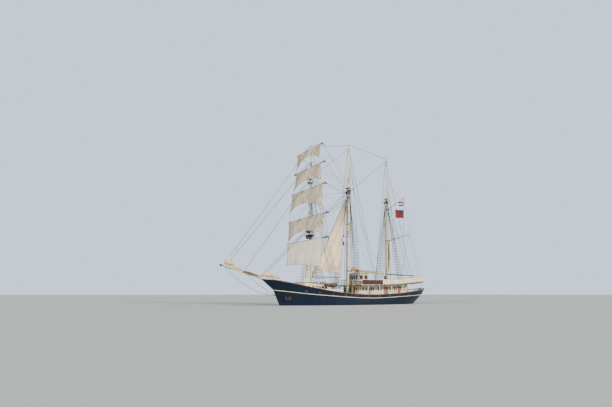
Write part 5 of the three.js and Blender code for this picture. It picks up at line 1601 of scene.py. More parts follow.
# columns: x, height of the sail's corner
PENDANTS = [(2.5, 5.96), (on_luff(6.3).x - 0.3, 6.3)]
lacing = [[m(x, 0, STAYSAIL_BOOM_Z), m(x, 0, z)] for x, z in PENDANTS]
rope_set("staysail_pendants", lacing, 0.0125, TARRED_ROPE, "staysail_body")

# %% [markdown]
# ### Flags
#
# Two flags fly from a halyard under the upper gaff. A flag waves more the further it is from the rope.

# %% Flags
HALYARD_AHEAD, HALYARD_LOW = -5.07, 17.6
GAFF_BODY = "upper_gaff_body"
BAND_EDGE = 0.005
FLAG_WAVE, FLAG_RIPPLE, FLAG_DROOP = 0.14, 0.04, 0.25
# columns: fly, bottom, top
FLAGS = {"striped_flag": (1.6, 21.25, 22.2), "red_flag": (2.6, 18.5, 20.3)}


def flag_point(name, u, v):
    """u along the fly, v from the top edge down."""
    fly, low, high = FLAGS[name]
    wave = FLAG_WAVE * u * math.sin(7 * u + 1.2 * v) + FLAG_RIPPLE * u * math.sin(17 * u - 2.5 * v)
    droop = FLAG_DROOP * u * (1 + 0.15 * v)
    return aloft("mizzen", high + (low - high) * v - droop, HALYARD_AHEAD + 0.025 + u * fly, wave)


def flag_cloth(name, bands, canton=None):
    """A flag's finish: colours by height in the cloth, and maybe a canton near the hoist at the top."""
    colour = rgb(*bands[0][1])
    material = finish(f"{name}_cloth", cloth_tree, {
        "Colour": colour, "Shade": rgb(0.12, 0.02, 0.02), "Seam": rgb(0.2, 0.05, 0.05), "Cloth width": 3.0,
        "Stain": 0.25,
    }, depth=0.01, sheen=0.1)
    tree = material.node_tree
    group = next(n for n in tree.nodes if n.type == "GROUP")
    axes = put(tree, "ShaderNodeSeparateXYZ", {"Vector": (put(tree, "ShaderNodeTexCoord"), "UV")})

    def beyond(axis, limit, low=0.0, high=1.0):
        """A mask that changes from low to high where one measure of the cloth passes a limit."""
        return spread(tree, (axes, axis), limit - BAND_EDGE, limit + BAND_EDGE, low, high)

    for limit, band in bands[1:]:
        colour = mix_colour(tree, beyond("Y", limit), colour, rgb(*band))
    if canton is not None:
        wide, tall, canton_colour = canton
        inside = arithmetic(tree, "MINIMUM", beyond("X", wide, 1.0, 0.0), beyond("Y", tall, 1.0, 0.0))
        colour = mix_colour(tree, inside, colour, rgb(*canton_colour))
    feed(tree, group.inputs["Colour"], colour)
    return material


RED, WHITE, BLUE = (0.13, 0.006, 0.012), (0.60, 0.57, 0.55), (0.008, 0.014, 0.07)
flag_finish = {
    "striped_flag": flag_cloth("striped_flag", [(0, RED), (0.16, WHITE), (0.32, BLUE)]),
    "red_flag": flag_cloth("red_flag", [(0, RED)], (0.55, 0.42, BLUE)),
}
for name in FLAGS:
    flag, flat, area, rows = grid_sail(lambda u, v, name=name: flag_point(name, u, v), 64, 26, f"{name}_cloth_piece",
                                       flag_finish[name], "red_cloth", GAFF_BODY, [name], thickness=0.002)
    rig.sheet(flag, flat=flat, held="hung", rests_on=["flag_halyard"], area=area)
halyard_top = SPARS["upper_gaff"].height + SPARS["upper_gaff"].rise - 0.08
halyard = [aloft("mizzen", height, HALYARD_AHEAD) for height in (HALYARD_LOW, halyard_top)]
rope_set("flag_halyard", [halyard], 0.01, MANILA_ROPE, GAFF_BODY)

# %% [markdown]
# ### Stowed canvas
#
# Furled sails are bundles of soft folds. Each is a tube round a centre line, and noise along and around the tube
# makes its folds; rope lashings pull it in at even steps. They are padded pieces, soft and loosely filled.

# %% Bundles
LASHING_STEP, BUNDLE_SIDES = 0.75, 40
LASHING_PINCH, LASHING_WIDTH = 0.16, 0.006
BUNDLE_ROW = 0.055        # real metres from one ring of points to the next
# how often folds come round the roll and along it
FOLDS, FINE_FOLDS = (1.9, 1.1), (5.0, 0.9)


def bundle(name, line, sizes, material, slot, replaces, body=ROOT, seed=0.0, lumps=0.28, lashed=True, fill=0.35):
    """A soft roll along a line of real points; sizes are (share, half width, half height) rows."""
    length = sum((b - a).length for a, b in zip(line, line[1:]))
    count = max(24, round(length / BUNDLE_ROW))
    widths = [(share, wide) for share, wide, _ in sizes]
    heights = [(share, tall) for share, _, tall in sizes]
    rows, ties = [], []
    for k in range(count + 1):
        share = k / count
        walk = share * (len(line) - 1)
        i = min(int(walk), len(line) - 2)
        centre = line[i].lerp(line[i + 1], walk - i)
        ahead = (line[i + 1] - line[i]).normalized()
        side = Vector((0, 1, 0)) if abs(ahead.y) < 0.9 else Vector((1, 0, 0))
        up = ahead.cross(side).normalized()
        side = up.cross(ahead).normalized()
        tied = math.exp(-((share * length / LASHING_STEP) % 1.0 - 0.5) ** 2 / LASHING_WIDTH) if lashed else 0.0
        ring = []
        for n in range(BUNDLE_SIDES):
            turn = math.tau * n / BUNDLE_SIDES
            fold, fine = [
                noise.noise(Vector((math.cos(turn) * often, math.sin(turn) * often, share * length * long + start)))
                for (often, long), start in ((FOLDS, seed), (FINE_FOLDS, seed + 9))]
            size = (1 + lumps * fold + 0.5 * lumps * fine) * (1 - LASHING_PINCH * tied)
            ring.append((centre + side * (math.cos(turn) * along(widths, share) * size)
                         + up * (math.sin(turn) * along(heights, share) * size)) * HALF)
        rows.append(ring)
        if lashed and tied > 0.93:
            ties.append([*ring, ring[0]])
    roll = skin(rows, round_columns=True, caps=True)
    metre_map(roll, BUNDLE_SIDES, lambda i, j: (j * length * HALF / count, i * 0.03))
    done(roll, name, material, slot, body, replaces, smooth=0)
    all_smooth(roll)
    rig.padded(roll, fill=fill)
    if ties:
        rope_set(f"{name}_lashings", ties, 0.008, MANILA_ROPE, body)
    return roll


def mast_line(mast, rows):
    """A line of real points from (height, ahead) rows on a mast."""
    return [aloft(mast, height, ahead) / HALF for height, ahead in rows]


def sprit_line(rows):
    """A line of real points from (x, height over the centre line) rows on the bowsprit."""
    return [on_sprit(x, up) / HALF for x, up in rows]

# %% [markdown]
# ## Deck fittings and houses
#
# Everything on deck is made from a few kinds of shape: boxes at any angle, turned pieces on an upright, level or
# lengthwise axis, and bands along the ship's edge. A window is four bars and a pane; both are one object with two
# materials, so the pane goes with its frame when a door swings.

# %% Helpers for deck pieces
SIX_FACES = [(0, 1, 3, 2), (4, 6, 7, 5), (0, 2, 6, 4), (1, 5, 7, 3), (0, 4, 5, 1), (2, 3, 7, 6)]


def box_mesh(boxes, bevel=0.0):
    """One mesh of boxes, each a corner and three edges as vectors, in the ship's metres."""
    points, faces = [], []
    for corner, *edges in boxes:
        first = len(points)
        a, b, c = [Vector(edge) for edge in edges]
        points += [(Vector(corner) + a * i + b * j + c * k) * HALF for i in (0, 1) for j in (0, 1) for k in (0, 1)]
        faces += [tuple(first + n for n in face) for face in SIX_FACES]
    piece = mesh_piece(points, faces)
    if bevel:
        edit(piece, lambda: bpy.ops.mesh.normals_make_consistent(inside=False))
        rounded(piece, bevel, 1)
    return piece


def crates(rows, bevel=0.005):
    """Level boxes from rows (x0, x1, y0, y1, z0, z1); a box that is off the middle line stands on both sides."""
    return box_mesh([((x0, side * y0, z0), (x1 - x0, 0, 0), (0, side * (y1 - y0), 0), (0, 0, z1 - z0))
                     for x0, x1, y0, y1, z0, z1 in rows for side in (SIDES if y0 > 0 else SIDES[:1])], bevel)


def standing(x, y):
    """Rule of places for a turned piece on an upright axis; distance is height."""
    return lambda at, a, b: m(x + a, y + b, at)


def twin_posts(x, y, profile, sides):
    """The same turned piece upright on both sides of the ship."""
    return [turned(standing(x, side * y), profile, sides) for side in SIDES]


def crosswise(x, z):
    """Rule of places on an axis from side to side; distance is y."""
    return lambda at, a, b: m(x + a, at, z + b)


def lengthwise(y, z):
    """Rule of places on an axis that runs fore and aft; distance is x."""
    return lambda at, a, b: m(at, y + a, z + b)


SET_IN = 0.02           # how deep a window's bars go into the wall


def windows(name, rows, material, slot, body=ROOT, bar=0.06, proud=0.035, sash=False):
    """Framed panes from rows of centre, outward direction, width and height."""
    bars, panes = [], []
    rise = Vector((0, 0, 1))
    for centre, out, width, height in rows:
        centre, out = Vector(centre), Vector(out).normalized()
        side = Vector((-out.y, out.x, 0))
        w, h = width / 2, height / 2
        spans = [(-w - bar, w + bar, h, h + bar), (-w - bar, w + bar, -h - bar, -h), (-w - bar, -w, -h, h),
                 (w, w + bar, -h, h)]
        if sash:
            spans.append((-w, w, -bar * 0.3, bar * 0.3))
        bars += [(centre + side * a0 + rise * b0 - out * SET_IN, side * (a1 - a0), rise * (b1 - b0),
                  out * (proud + SET_IN)) for a0, a1, b0, b1 in spans]
        panes.append((centre - side * w - rise * h - out * 0.03, side * width, rise * height, out * 0.04))
    frames = box_mesh(bars, 0.004)
    glass = box_mesh(panes)
    paint_with(frames, material)
    paint_with(glass, GLASS)
    return done(joined([frames, glass]), name, None, slot, body)


def portholes(name, rows, radius=0.16):
    """Round lights with bronze rims from rows of centre and outward direction."""
    rims, panes = [], []
    for centre, out in rows:
        centre, out = Vector(centre), Vector(out).normalized()
        side = Vector((-out.y, out.x, 0))

        def place(at, a, b, centre=centre, out=out, side=side):
            return (centre + out * at + side * a + Vector((0, 0, b))) * HALF
        rims.append(eye(place, -0.03, 0.035, radius * 0.78, radius, 20))
        panes.append(turned(place, [(-0.02, radius * 0.8), (0.015, radius * 0.8)], 20))
    rim, pane = joined(rims), joined(panes)
    paint_with(rim, BRONZE)
    paint_with(pane, GLASS)
    return done(joined([rim, pane]), name, None, "bronze")


def half_width(x, z, plan):
    """Half the ship's width at x on a level that is at height z there."""
    return half_breadth(x / abs(profile_x(math.copysign(1, x), z)), plan)


def rail_half(x):
    """Half the ship's width at the rail."""
    return half_width(x, rail_top(x), "rail")


# %% [markdown]
# ### Rudder and propeller
#
# Both work under water. The rudder is a foil that is thickest near its stock. A propeller blade is a grid of
# sections, each turned less than the one inside it, so that the whole blade bites the water evenly.

# %% Rudder and propeller
# columns: share of the rudder's length from its fore edge, half thickness
FOIL = [(0.0, 0.02), (0.03, 0.065), (0.12, 0.095), (0.3, 0.1), (0.6, 0.065), (0.85, 0.03), (1.0, 0.012)]
rudder_rows = []
for z, fore, aft in ((SHOE_Z + 0.08, -14.46, -15.8), (-3.12, -14.42, -16.0), (-1.3, -14.42, -15.98),
                     (-1.07, -14.44, -15.75)):
    port = [m(fore + (aft - fore) * share, half, z) for share, half in FOIL]
    rudder_rows.append(port + other_side(port)[::-1])
blade = skin(rudder_rows, round_columns=True, caps=True)
stock = turned(standing(RUDDER_X, 0), [(SHOE_Z + 0.01, 0.12), (-0.96, 0.12)], 20)
straps = crates([(-15.15, -14.5, -0.115, 0.115, z - 0.05, z + 0.05) for z in (-2.95, -2.2, -1.45)])
done(joined([blade, stock, straps]), "rudder_blade", HULL_PAINT, "bottom_paint", "rudder_body", ["rudder"], 40)
PROPELLER_X, BLADE_TIP = -13.72, 0.72
# columns: share of the way out to the tip, half length of the section, angle of the section in degrees
BLADE = [(0.0, 0.085, 62), (0.25, 0.155, 52), (0.6, 0.21, 38), (0.85, 0.165, 30), (0.96, 0.09, 27), (1.0, 0.02, 26)]


def propeller_blade(turn):
    """One blade, lofted from hub to tip and turned to its place."""
    rows = []
    for k in range(15):
        share = k / 14
        radius, half = 0.1 + (BLADE_TIP - 0.1) * share, along(BLADE, share)
        pitch = math.radians(along(BLADE, share, 2))
        loop = []
        for n in range(16):
            angle = math.tau * n / 16
            s, t = half * math.cos(angle), (0.035 - 0.025 * share) * math.sin(angle)
            across, ahead = s * math.cos(pitch) - t * math.sin(pitch), s * math.sin(pitch) + t * math.cos(pitch)
            loop.append(m(PROPELLER_X + ahead, across * math.cos(turn) - radius * math.sin(turn),
                          SHAFT_Z + across * math.sin(turn) + radius * math.cos(turn)))
        rows.append(loop)
    return skin(rows, round_columns=True, caps=True)


hub = turned(lengthwise(0, SHAFT_Z), [(-13.501, 0.15), (-13.56, 0.16), (-13.8, 0.155), (-13.9, 0.12), (-13.96, 0.07),
                                      (-13.98, 0.02)], 28)
done(joined([hub, *[propeller_blade(math.tau * k / 4) for k in range(4)]]), "propeller_blades", BRONZE, "bronze",
     "propeller_body", ["propeller"], 50)

# %% [markdown]
# ### Ground tackle
#
# The windlass is a long barrel between two cheeks, with a toothed wheel, chain wheels and warping ends. Its two
# chains run to the hawse pipes, where the anchors hang with their flukes against the bow.


# %% Windlass, chains and anchors
def mirrored_profile(half):
    """A turned profile for both sides from the rows of one side."""
    return [(-at, r) for at, r in reversed(half)] + half


BARREL_X, BARREL_Z = 13.7, 3.1
barrel = turned(crosswise(BARREL_X, BARREL_Z), mirrored_profile([
    (0.1, 0.15), (0.3, 0.13), (0.34, 0.21), (0.38, 0.21), (0.42, 0.15), (0.48, 0.21), (0.52, 0.21), (0.54, 0.13),
    (0.88, 0.13), (0.9, 0.2), (0.94, 0.2), (1.0, 0.15), (1.12, 0.13), (1.24, 0.16), (1.28, 0.2), (1.3, 0.2)]), 32)
teeth = box_mesh([((BARREL_X + 0.19 * math.cos(t) - 0.02, -0.05, BARREL_Z + 0.19 * math.sin(t) - 0.02),
                   (0.03 * math.cos(t) + 0.03, 0, 0.03 * math.sin(t)), (0, 0.1, 0), (-0.03 * math.sin(t), 0, 0.04))
                  for t in [math.tau * k / 20 for k in range(20)]])
wheel_rim = eye(crosswise(BARREL_X, BARREL_Z), -0.06, 0.06, 0.12, 0.2, 32)
bed = crates([(13.3, 14.1, -0.85, 0.85, 2.3, 2.62), (13.32, 14.08, 0.7, 0.85, 2.4, 2.85),
              (13.44, 13.96, 0.7, 0.85, 2.6, 3.2), (13.54, 13.86, 0.71, 0.84, 3.1, 3.35),
              (13.98, 14.08, -0.06, 0.06, 2.6, 3.2)])
done(joined([barrel, teeth, wheel_rim, bed]), "windlass_gear", IRON, "iron", replaces=["windlass"], smooth=40)


LINK = 0.07


def chain(points):
    """Oval links along a line of the model's points, each turned a quarter from the last."""
    rings, turn = [], 0
    for start, end in zip(points, points[1:]):
        way = end - start
        count = max(1, round(way.length / LINK))
        run = way.normalized()
        side = run.cross(Vector((0, 0, 1))).normalized()
        lift = side.cross(run)
        for k in range(count):
            centre, turn = start.lerp(end, (k + 0.5) / count), turn + 1
            wide, flat = (side, lift) if turn % 2 else (lift, side)
            rows = []
            for t in [math.tau * n / 12 for n in range(12)]:
                arm = run * math.cos(t) * 0.62 + wide * math.sin(t) * 0.4
                rows.append([centre + arm * LINK * (1 + 0.22 * math.cos(q)) + flat * LINK * 0.13 * math.sin(q)
                             for q in [math.tau * n / 6 for n in range(6)]])
            rings.append(skin(rows, round_rows=True, round_columns=True))
    return rings


cables = []
for side in SIDES:
    cables += chain([m(13.9, side * 0.45, 3.08), m(14.6, side * 0.5, 2.75), m(15.25, side * 0.62, 2.72)])
done(joined(cables), "anchor_chains", RUSTY_IRON, "iron", smooth=60)
ANCHOR_STATION = 0.9
hawse = hull_point(ANCHOR_STATION, "topside", LEVELS[4][1])
hawse_aft = hull_point(ANCHOR_STATION - 0.04, "topside", LEVELS[4][1])
hawse_run = Vector((hawse.x - hawse_aft.x, hawse.y - hawse_aft.y, 0)).normalized()
hawse_out = Vector((-hawse_run.y, hawse_run.x, 0))
# rows of a fluke: height, inner and outer edge along the bow, half thickness
FLUKE = [(-0.44, 0.26, 0.5, 0.07), (-0.2, 0.28, 0.5, 0.06), (0.0, 0.33, 0.47, 0.045), (0.15, 0.4, 0.43, 0.015)]
for side, node in ((1, "anchor_port"), (-1, "anchor_starboard")):
    def at_bow(along_bow, outward, up, side=side):
        """Point of the model near the hawse pipe: along the bow, out from it and up."""
        p = hawse + hawse_run * along_bow + hawse_out * outward
        return m(p.x, side * p.y, p.z + 0.1 + up)
    shank = turned(between(at_bow(0, 0.06, -0.4), at_bow(0, 0.0, 0.45)), [(0.0, 0.08), (0.3, 0.06), (0.85, 0.05)], 14)
    crown = turned(between(at_bow(-0.5, 0.05, -0.42), at_bow(0.5, 0.05, -0.42)),
                   [(0.0, 0.03), (0.08, 0.07), (0.35, 0.085), (0.65, 0.085), (0.92, 0.07), (1.0, 0.03)], 16)
    flukes = [skin([[at_bow(hand * a, out, z) for a, out in ((inner, 0.04 - t), (outer, 0.04 - t), (outer, 0.04 + t),
                                                             (inner, 0.04 + t))]
                    for z, inner, outer, t in FLUKE], round_columns=True, caps=True) for hand in SIDES]
    lip = turned(lambda at, a, b, at_bow=at_bow: at_bow(a, at - 0.02, 0.4 + b),
                 [(0.0, 0.11), (0.1, 0.13), (0.12, 0.17), (0.08, 0.21), (-0.06, 0.23), (-0.06, 0.11)], 24, ring=True)
    done(joined([shank, crown, *flukes, lip]), f"{node}_and_hawse", RUSTY_IRON, "iron", replaces=[node], smooth=40)

# %% [markdown]
# ### Fore deckhouse and trunk
#
# Boarded cream walls under a broad roof with a dark edge. The fore mast stands through the roof in a coat of painted
# wood. Amidships a low white trunk carries the ship's tender on two chocks.

# %% Fore deckhouse
SIGNAL_RED = painted("signal_red", (0.42, 0.03, 0.025), (0.24, 0.05, 0.04), wear=0.4)
SIGNAL_GREEN = painted("signal_green", (0.02, 0.20, 0.09), (0.05, 0.14, 0.08), wear=0.4)
FORE_HOUSE = {"aft": 7.5, "fore": 11.5, "roof_aft": 3.82, "roof_fore": 4.05}


def fore_roof(x):
    share = (x - FORE_HOUSE["aft"]) / (FORE_HOUSE["fore"] - FORE_HOUSE["aft"])
    return FORE_HOUSE["roof_aft"] + share * (FORE_HOUSE["roof_fore"] - FORE_HOUSE["roof_aft"])


def wall_foot(x):
    """Height of a wall's foot, a little under the deck."""
    return deck_top(x) - 0.04


def house_walls(stations, half, low, high):
    """Walls between two heights that follow x, closed at both ends."""
    rows = [[m(x, half, low(x)), m(x, half, high(x)), m(x, -half, high(x)), m(x, -half, low(x))] for x in stations]
    walls = skin(rows, round_columns=True, caps=True)
    rounded(walls, 0.01, 2)
    return walls


done(house_walls((7.5, 11.5), 1.75, wall_foot, fore_roof), "fore_house_walls", CREAM_BOARDS, "cream_paint",
     replaces=["fore_deckhouse"])
fore_roof_slab = house_walls((7.35, 11.65), 1.9, fore_roof, lambda x: fore_roof(x) + 0.1)
done(fore_roof_slab, "fore_house_roof", None, "white_paint")
two_tone(fore_roof_slab, WHITE_PAINT, BROWN_TRIM, lambda face: abs(face.normal.z) < 0.6)
for mast, top in (("fore", 4.42), ("main", 1.72), ("mizzen", 4.22)):
    coat = turned(up_mast(mast), [(top - 0.74, 0.42), (top - 0.12, 0.42), (top - 0.06, 0.4), (top - 0.02, 0.35),
                                  (top, 0.3)], 36)
    done(coat, f"{mast}_mast_coat", CREAM_PAINT, "cream_paint", smooth=40)
portholes("fore_house_ports", [((x, side * 1.75, 3.35), (0, side, 0)) for x in (8.1, 8.95, 9.8, 10.65)
                               for side in SIDES] + [((11.5, y, 3.3), (1, 0, 0)) for y in (-1.1, 1.1)])
# columns: x0, x1, y0, y1, z0, z1
FORE_DOORS = [
    (7.44, 7.5, -0.4, 0.4, 2.0, 3.6), (11.5, 11.56, -0.38, 0.38, 2.35, 3.8), (7.4, 7.46, -0.3, 0.3, 2.85, 3.4),
    (7.4, 7.46, -0.3, 0.3, 2.15, 2.7), (11.54, 11.6, -0.28, 0.28, 3.1, 3.6), (8.0, 8.9, -0.5, 0.5, 3.9, 4.16),
    (7.46, 7.5, 0.4, 0.48, 1.95, 3.68), (11.5, 11.54, 0.38, 0.46, 2.3, 3.88),
]
done(crates(FORE_DOORS), "fore_house_doors", TEAK_TRIM, "teak")
LAMP = [(3.06, 0.09), (3.1, 0.11), (3.28, 0.11), (3.34, 0.06), (3.4, 0.03)]
for side, material, name in ((1, SIGNAL_RED, "port"), (-1, SIGNAL_GREEN, "starboard")):
    board = box_mesh([((7.75, side * 1.93, 3.02), (0.75, 0, 0), (0, side * 0.05, 0), (0, 0, 0.42)),
                      ((7.75, side * 1.93, 3.02), (0.05, 0, 0), (0, side * 0.35, 0), (0, 0, 0.42))], 0.005)
    lamp = turned(standing(8.05, side * 2.12), LAMP, 16)
    paint_with(board, material)
    paint_with(lamp, BLACK_PAINT)
    done(joined([board, lamp]), f"side_light_{name}", None, "white_paint")
done(crates([(7.8, 7.86, 1.74, 1.95, 3.1, 3.16), (8.4, 8.46, 1.74, 1.95, 3.1, 3.16)]), "side_light_brackets", IRON,
     "iron")

# %% Trunk and tender
TRUNK_TOP, TENDER_BASE = 3.0, 3.25
done(house_walls((3.0, 6.9), 1.35, wall_foot, lambda x: TRUNK_TOP - 0.06), "trunk_walls", WHITE_PAINT, "white_paint",
     replaces=["midship_trunk"])
trunk_lid = house_walls((2.97, 6.93), 1.38, lambda x: TRUNK_TOP - 0.08, lambda x: TRUNK_TOP)
done(trunk_lid, "trunk_lid", TEAK_TRIM, "teak")
portholes("trunk_ports", [((x, side * 1.35, 2.45), (0, side, 0)) for x in (3.6, 4.5, 5.4, 6.3)
                          for side in SIDES], 0.14)
# columns: x, half breadth, keel and gunwale over the tender's base
TENDER = [(3.5, 0.5, 0.12, 0.72), (4.2, 0.68, 0.02, 0.66), (5.6, 0.74, 0.0, 0.66), (6.6, 0.45, 0.1, 0.74),
          (7.1, 0.05, 0.3, 0.84)]
# columns: share of the half breadth, share of the height from keel to gunwale
TENDER_SECTION = [(0.1, 0.0), (0.45, 0.1), (0.78, 0.3), (0.92, 0.6), (1.0, 1.0), (0.9, 1.02), (0.6, 1.18),
                  (0.2, 1.26)]
tender_rows = []
for k in range(33):
    x = 3.5 + 3.6 * k / 32
    half, low, high = [along(TENDER, x, column) for column in (1, 2, 3)]
    half = max(half, 0.03)
    port = [m(x, half * a, TENDER_BASE + low + (high - low) * b) for a, b in TENDER_SECTION]
    tender_rows.append(port + other_side(port)[::-1])
boat = skin(tender_rows, round_columns=True, caps=True)
chocks = crates([(4.08, 4.26, -0.6, 0.6, 3.001, 3.4), (5.88, 6.06, -0.55, 0.55, 3.001, 3.4)])
tender = done(joined([boat, chocks]), "tender_boat", None, "dark_wood", replaces=["tender"], smooth=40)
two_tone(tender, BOOM_PAINT, COVER_CLOTH, lambda face: face.center.z > (TENDER_BASE + 0.68) * HALF)
gunwale = [[m(x, side * (along(TENDER, x) + 0.015), TENDER_BASE + along(TENDER, x, 3) * 0.97)
            for x in [3.5 + 3.6 * k / 24 for k in range(25)]] for side in SIDES]
gripes = [[m(x + 0.05, side * 0.9, TRUNK_TOP), m(x, side * (along(TENDER, x) + 0.03), TENDER_BASE + 0.66),
           m(x, side * 0.3, TENDER_BASE + 0.84), m(x, 0, TENDER_BASE + 0.86)] for x in (4.4, 5.8) for side in SIDES]
rope_set("tender_fender_rope", gunwale, 0.016, MANILA_ROPE, slot="dark_wood", detail=2)
rope_set("tender_gripes", gripes, 0.008, MANILA_ROPE)

# %% [markdown]
# ### Lower house and upper deck
#
# A long cream house stands amidships under the upper deck. Its windows, dark posts and doors follow the photograph
# from one end to the other. The upper deck is planked, has a thin dark edge, and stands on posts along the rail.

# %% Lower house
# columns: x, height of the upper deck
UPPER_DECK = [(-17.8, 4.64), (-15.0, 4.36), (-10.0, 3.96), (-4.0, 3.72), (0.3, 3.70)]


def upper_top(x):
    return along(UPPER_DECK, x)


def upper_half(x):
    return min(rail_half(x) - 0.02, 3.94)


HOUSE_AFT, HOUSE_FORE, HOUSE_HALF = -12.6, 0.1, 2.35
house_stations = [HOUSE_AFT + (HOUSE_FORE - HOUSE_AFT) * k / 12 for k in range(13)]
done(house_walls(house_stations, HOUSE_HALF, wall_foot, lambda x: upper_top(x) - 0.13),
     "lower_house_walls", CREAM_BOARDS, "cream_paint", replaces=["lower_deckhouse"])
HOUSE_WINDOWS = (-1.1, -1.9, -3.1, -3.6, -4.9, -5.5, -7.9, -9.0, -9.5, -10.8, -11.6)
windows("lower_house_windows", [((x, side * HOUSE_HALF, 2.9 + 0.02 * abs(x)), (0, side, 0), 0.32, 0.7)
                                for x in HOUSE_WINDOWS for side in SIDES], WHITE_PAINT, "white_paint", sash=True)
windows("lower_house_front_windows", [((HOUSE_FORE, y, 2.85), (1, 0, 0), 0.55, 0.7)
                                      for y in (-1.75, -1.0, 0.0, 1.95)], BROWN_TRIM, "dark_wood")
PILASTERS = (-6.47, -8.43, -10.03, -12.5)
trims = [(x - 0.06, x + 0.06, HOUSE_HALF - 0.01, HOUSE_HALF + 0.05, deck_top(x), upper_top(x) - 0.14)
         for x in PILASTERS]
trims += [(HOUSE_AFT, HOUSE_FORE + 0.02, HOUSE_HALF - 0.01, HOUSE_HALF + 0.04, 1.5, 1.72),
          (0.02, 0.15, HOUSE_HALF - 0.1, HOUSE_HALF + 0.03, 1.5, 3.56), (0.1, 0.14, 0.85, 1.5, 1.55, 3.35),
          (0.13, 0.17, 0.93, 1.42, 1.65, 2.3), (0.13, 0.17, 0.93, 1.42, 2.42, 3.25)]
done(crates(trims), "lower_house_trim", BROWN_TRIM, "dark_wood")
door_rows = []
for x0, x1 in ((-7.38, -6.62), (-10.65, -10.1), (-2.9, -2.3)):
    low = deck_top(x0) + 0.12
    door_rows.append((x0, x1, HOUSE_HALF - 0.01, HOUSE_HALF + 0.04, low, low + 1.75))
    door_rows += [(x0 + 0.1, x1 - 0.1, HOUSE_HALF + 0.02, HOUSE_HALF + 0.065, low + z0, low + z1)
                  for z0, z1 in ((0.12, 0.8), (0.95, 1.62))]
door_rows += [(-12.66, -12.6, -0.4, 0.4, 1.95, 3.75), (-12.7, -12.64, -0.3, 0.3, 2.95, 3.6)]
done(crates(door_rows), "lower_house_doors", TEAK_TRIM, "teak")

# %% Upper deck
DECK_THICKNESS = 0.14
deck_line = [Vector((x, upper_half(x), upper_top(x))) for x in [-17.8 + 18.1 * k / 60 for k in range(61)]]
deck_frames = []
for p in deck_line:
    side = [*lifted([p], -DECK_THICKNESS), p]
    deck_frames.append(to_model(side + other_side(side)[::-1]))
deck_slab = skin(deck_frames, round_columns=True, caps=True)
rounded(deck_slab, 0.008, 2)
done(deck_slab, "upper_deck_planking", None, "white_paint", replaces=["upper_deck"], smooth=30)
paint_with(deck_slab, WHITE_PAINT, TEAK_DECK, DARK_EDGE)
for face in deck_slab.data.polygons:
    face.material_index = 1 if face.normal.z > 0.6 else (0 if face.normal.z < -0.6 else 2)
POST_STATIONS = (-16.4, -14.6, -12.5, -10, -7, -4, -1.2)
posts = []
for x in POST_STATIONS:
    y, low, high = upper_half(x) - 0.1, rail_top(x) - 0.03, upper_top(x) - 0.1
    posts += twin_posts(x, y, [(low, 0.09), (low + 0.06, 0.09), (low + 0.09, 0.05), (high - 0.12, 0.05),
                               (high, 0.085)], 14)
beams = [(x - 0.04, x + 0.04, -upper_half(x) + 0.06, upper_half(x) - 0.06, upper_top(x) - 0.24, upper_top(x) - 0.13)
         for x in [-17.2 + 1.1 * k for k in range(4)] + [-13.3]]
done(joined([*posts, crates(beams)]), "upper_deck_posts", WHITE_PAINT, "white_paint", smooth=35)
end_beams = [(0.3, 0.36, -3.62, 3.62, 3.46, 3.72),
             (-17.86, -17.8, -upper_half(-17.8), upper_half(-17.8), 4.44, 4.64)]
done(crates(end_beams), "upper_deck_end_beams", TEAK_TRIM, "teak")

# %% [markdown]
# A guard rail goes round the upper deck. Canvas weather cloths are laced to its outside: dark red along the
# wheelhouse, cream further aft. The starboard one starts abaft the wheelhouse.

# %% Guard rail and weather cloths
RAIL_HEIGHT, RAIL_IN, POST_RADIUS = 1.05, 0.1, 0.026
rail_line = [Vector((x, upper_half(x) - RAIL_IN, upper_top(x)))
             for x in [-17.7 + 17.9 * k / 48 for k in range(49)]]
top_rail = belt(rail_line, 0.04, -0.04, RAIL_HEIGHT - 0.07, RAIL_HEIGHT)
rounded(top_rail, 0.014, 2, 50)
low_rails = [belt(rail_line, 0.018, -0.018, rise, rise + 0.035) for rise in (0.12, 0.5)]
rail_posts = []
for p in rail_line[::2]:
    rail_posts += twin_posts(p.x, p.y, [(p.z - 0.02, 0.05), (p.z + 0.03, 0.05), (p.z + 0.05, POST_RADIUS),
                                        (p.z + RAIL_HEIGHT - 0.05, POST_RADIUS)], 10)
for end in (rail_line[0], rail_line[-1]):
    count = int(end.y / 0.42)
    foot = upper_top(end.x)
    for k in range(-count, count + 1):
        rail_posts.append(turned(standing(end.x, end.y * k / (count + 1)), [
            (foot - 0.02, POST_RADIUS), (foot + RAIL_HEIGHT - 0.05, POST_RADIUS)], 10))
done(joined([top_rail, *low_rails, *rail_posts]), "upper_deck_rails", WHITE_PAINT, "white_paint",
     replaces=["upper_guard_rail"], smooth=40)
CLOTH_LOW, CLOTH_HIGH, RED_AFT = 0.12, 0.95, -4.85
CREAM_CANVAS = sailcloth("cream_canvas", (0.82, 0.73, 0.53), (0.58, 0.46, 0.29), (0.45, 0.35, 0.22), width=0.9,
                         stain_amount=0.5)
CLOTH_COLUMNS = 160
CLOTH_ENDS = {"port": (-17.65, 0.2), "starboard": (-17.65, -4.0)}


def weather_cloth_point(side, u, v):
    """Point of a weather cloth: u from the stern forward, v from its head to its foot."""
    aft, fore = CLOTH_ENDS["port" if side > 0 else "starboard"]
    x = aft + (fore - aft) * u
    lace = abs(math.sin(math.pi * 30 * u)) * 0.03 * (1 - v) ** 4
    slack = 0.018 * math.sin(math.pi * v) * ripple((x, v), 0.5, 21.0)
    y = upper_half(x) - RAIL_IN + 0.062 + slack
    return m(x, side * y, upper_top(x) + CLOTH_HIGH + (CLOTH_LOW - CLOTH_HIGH) * v - lace)


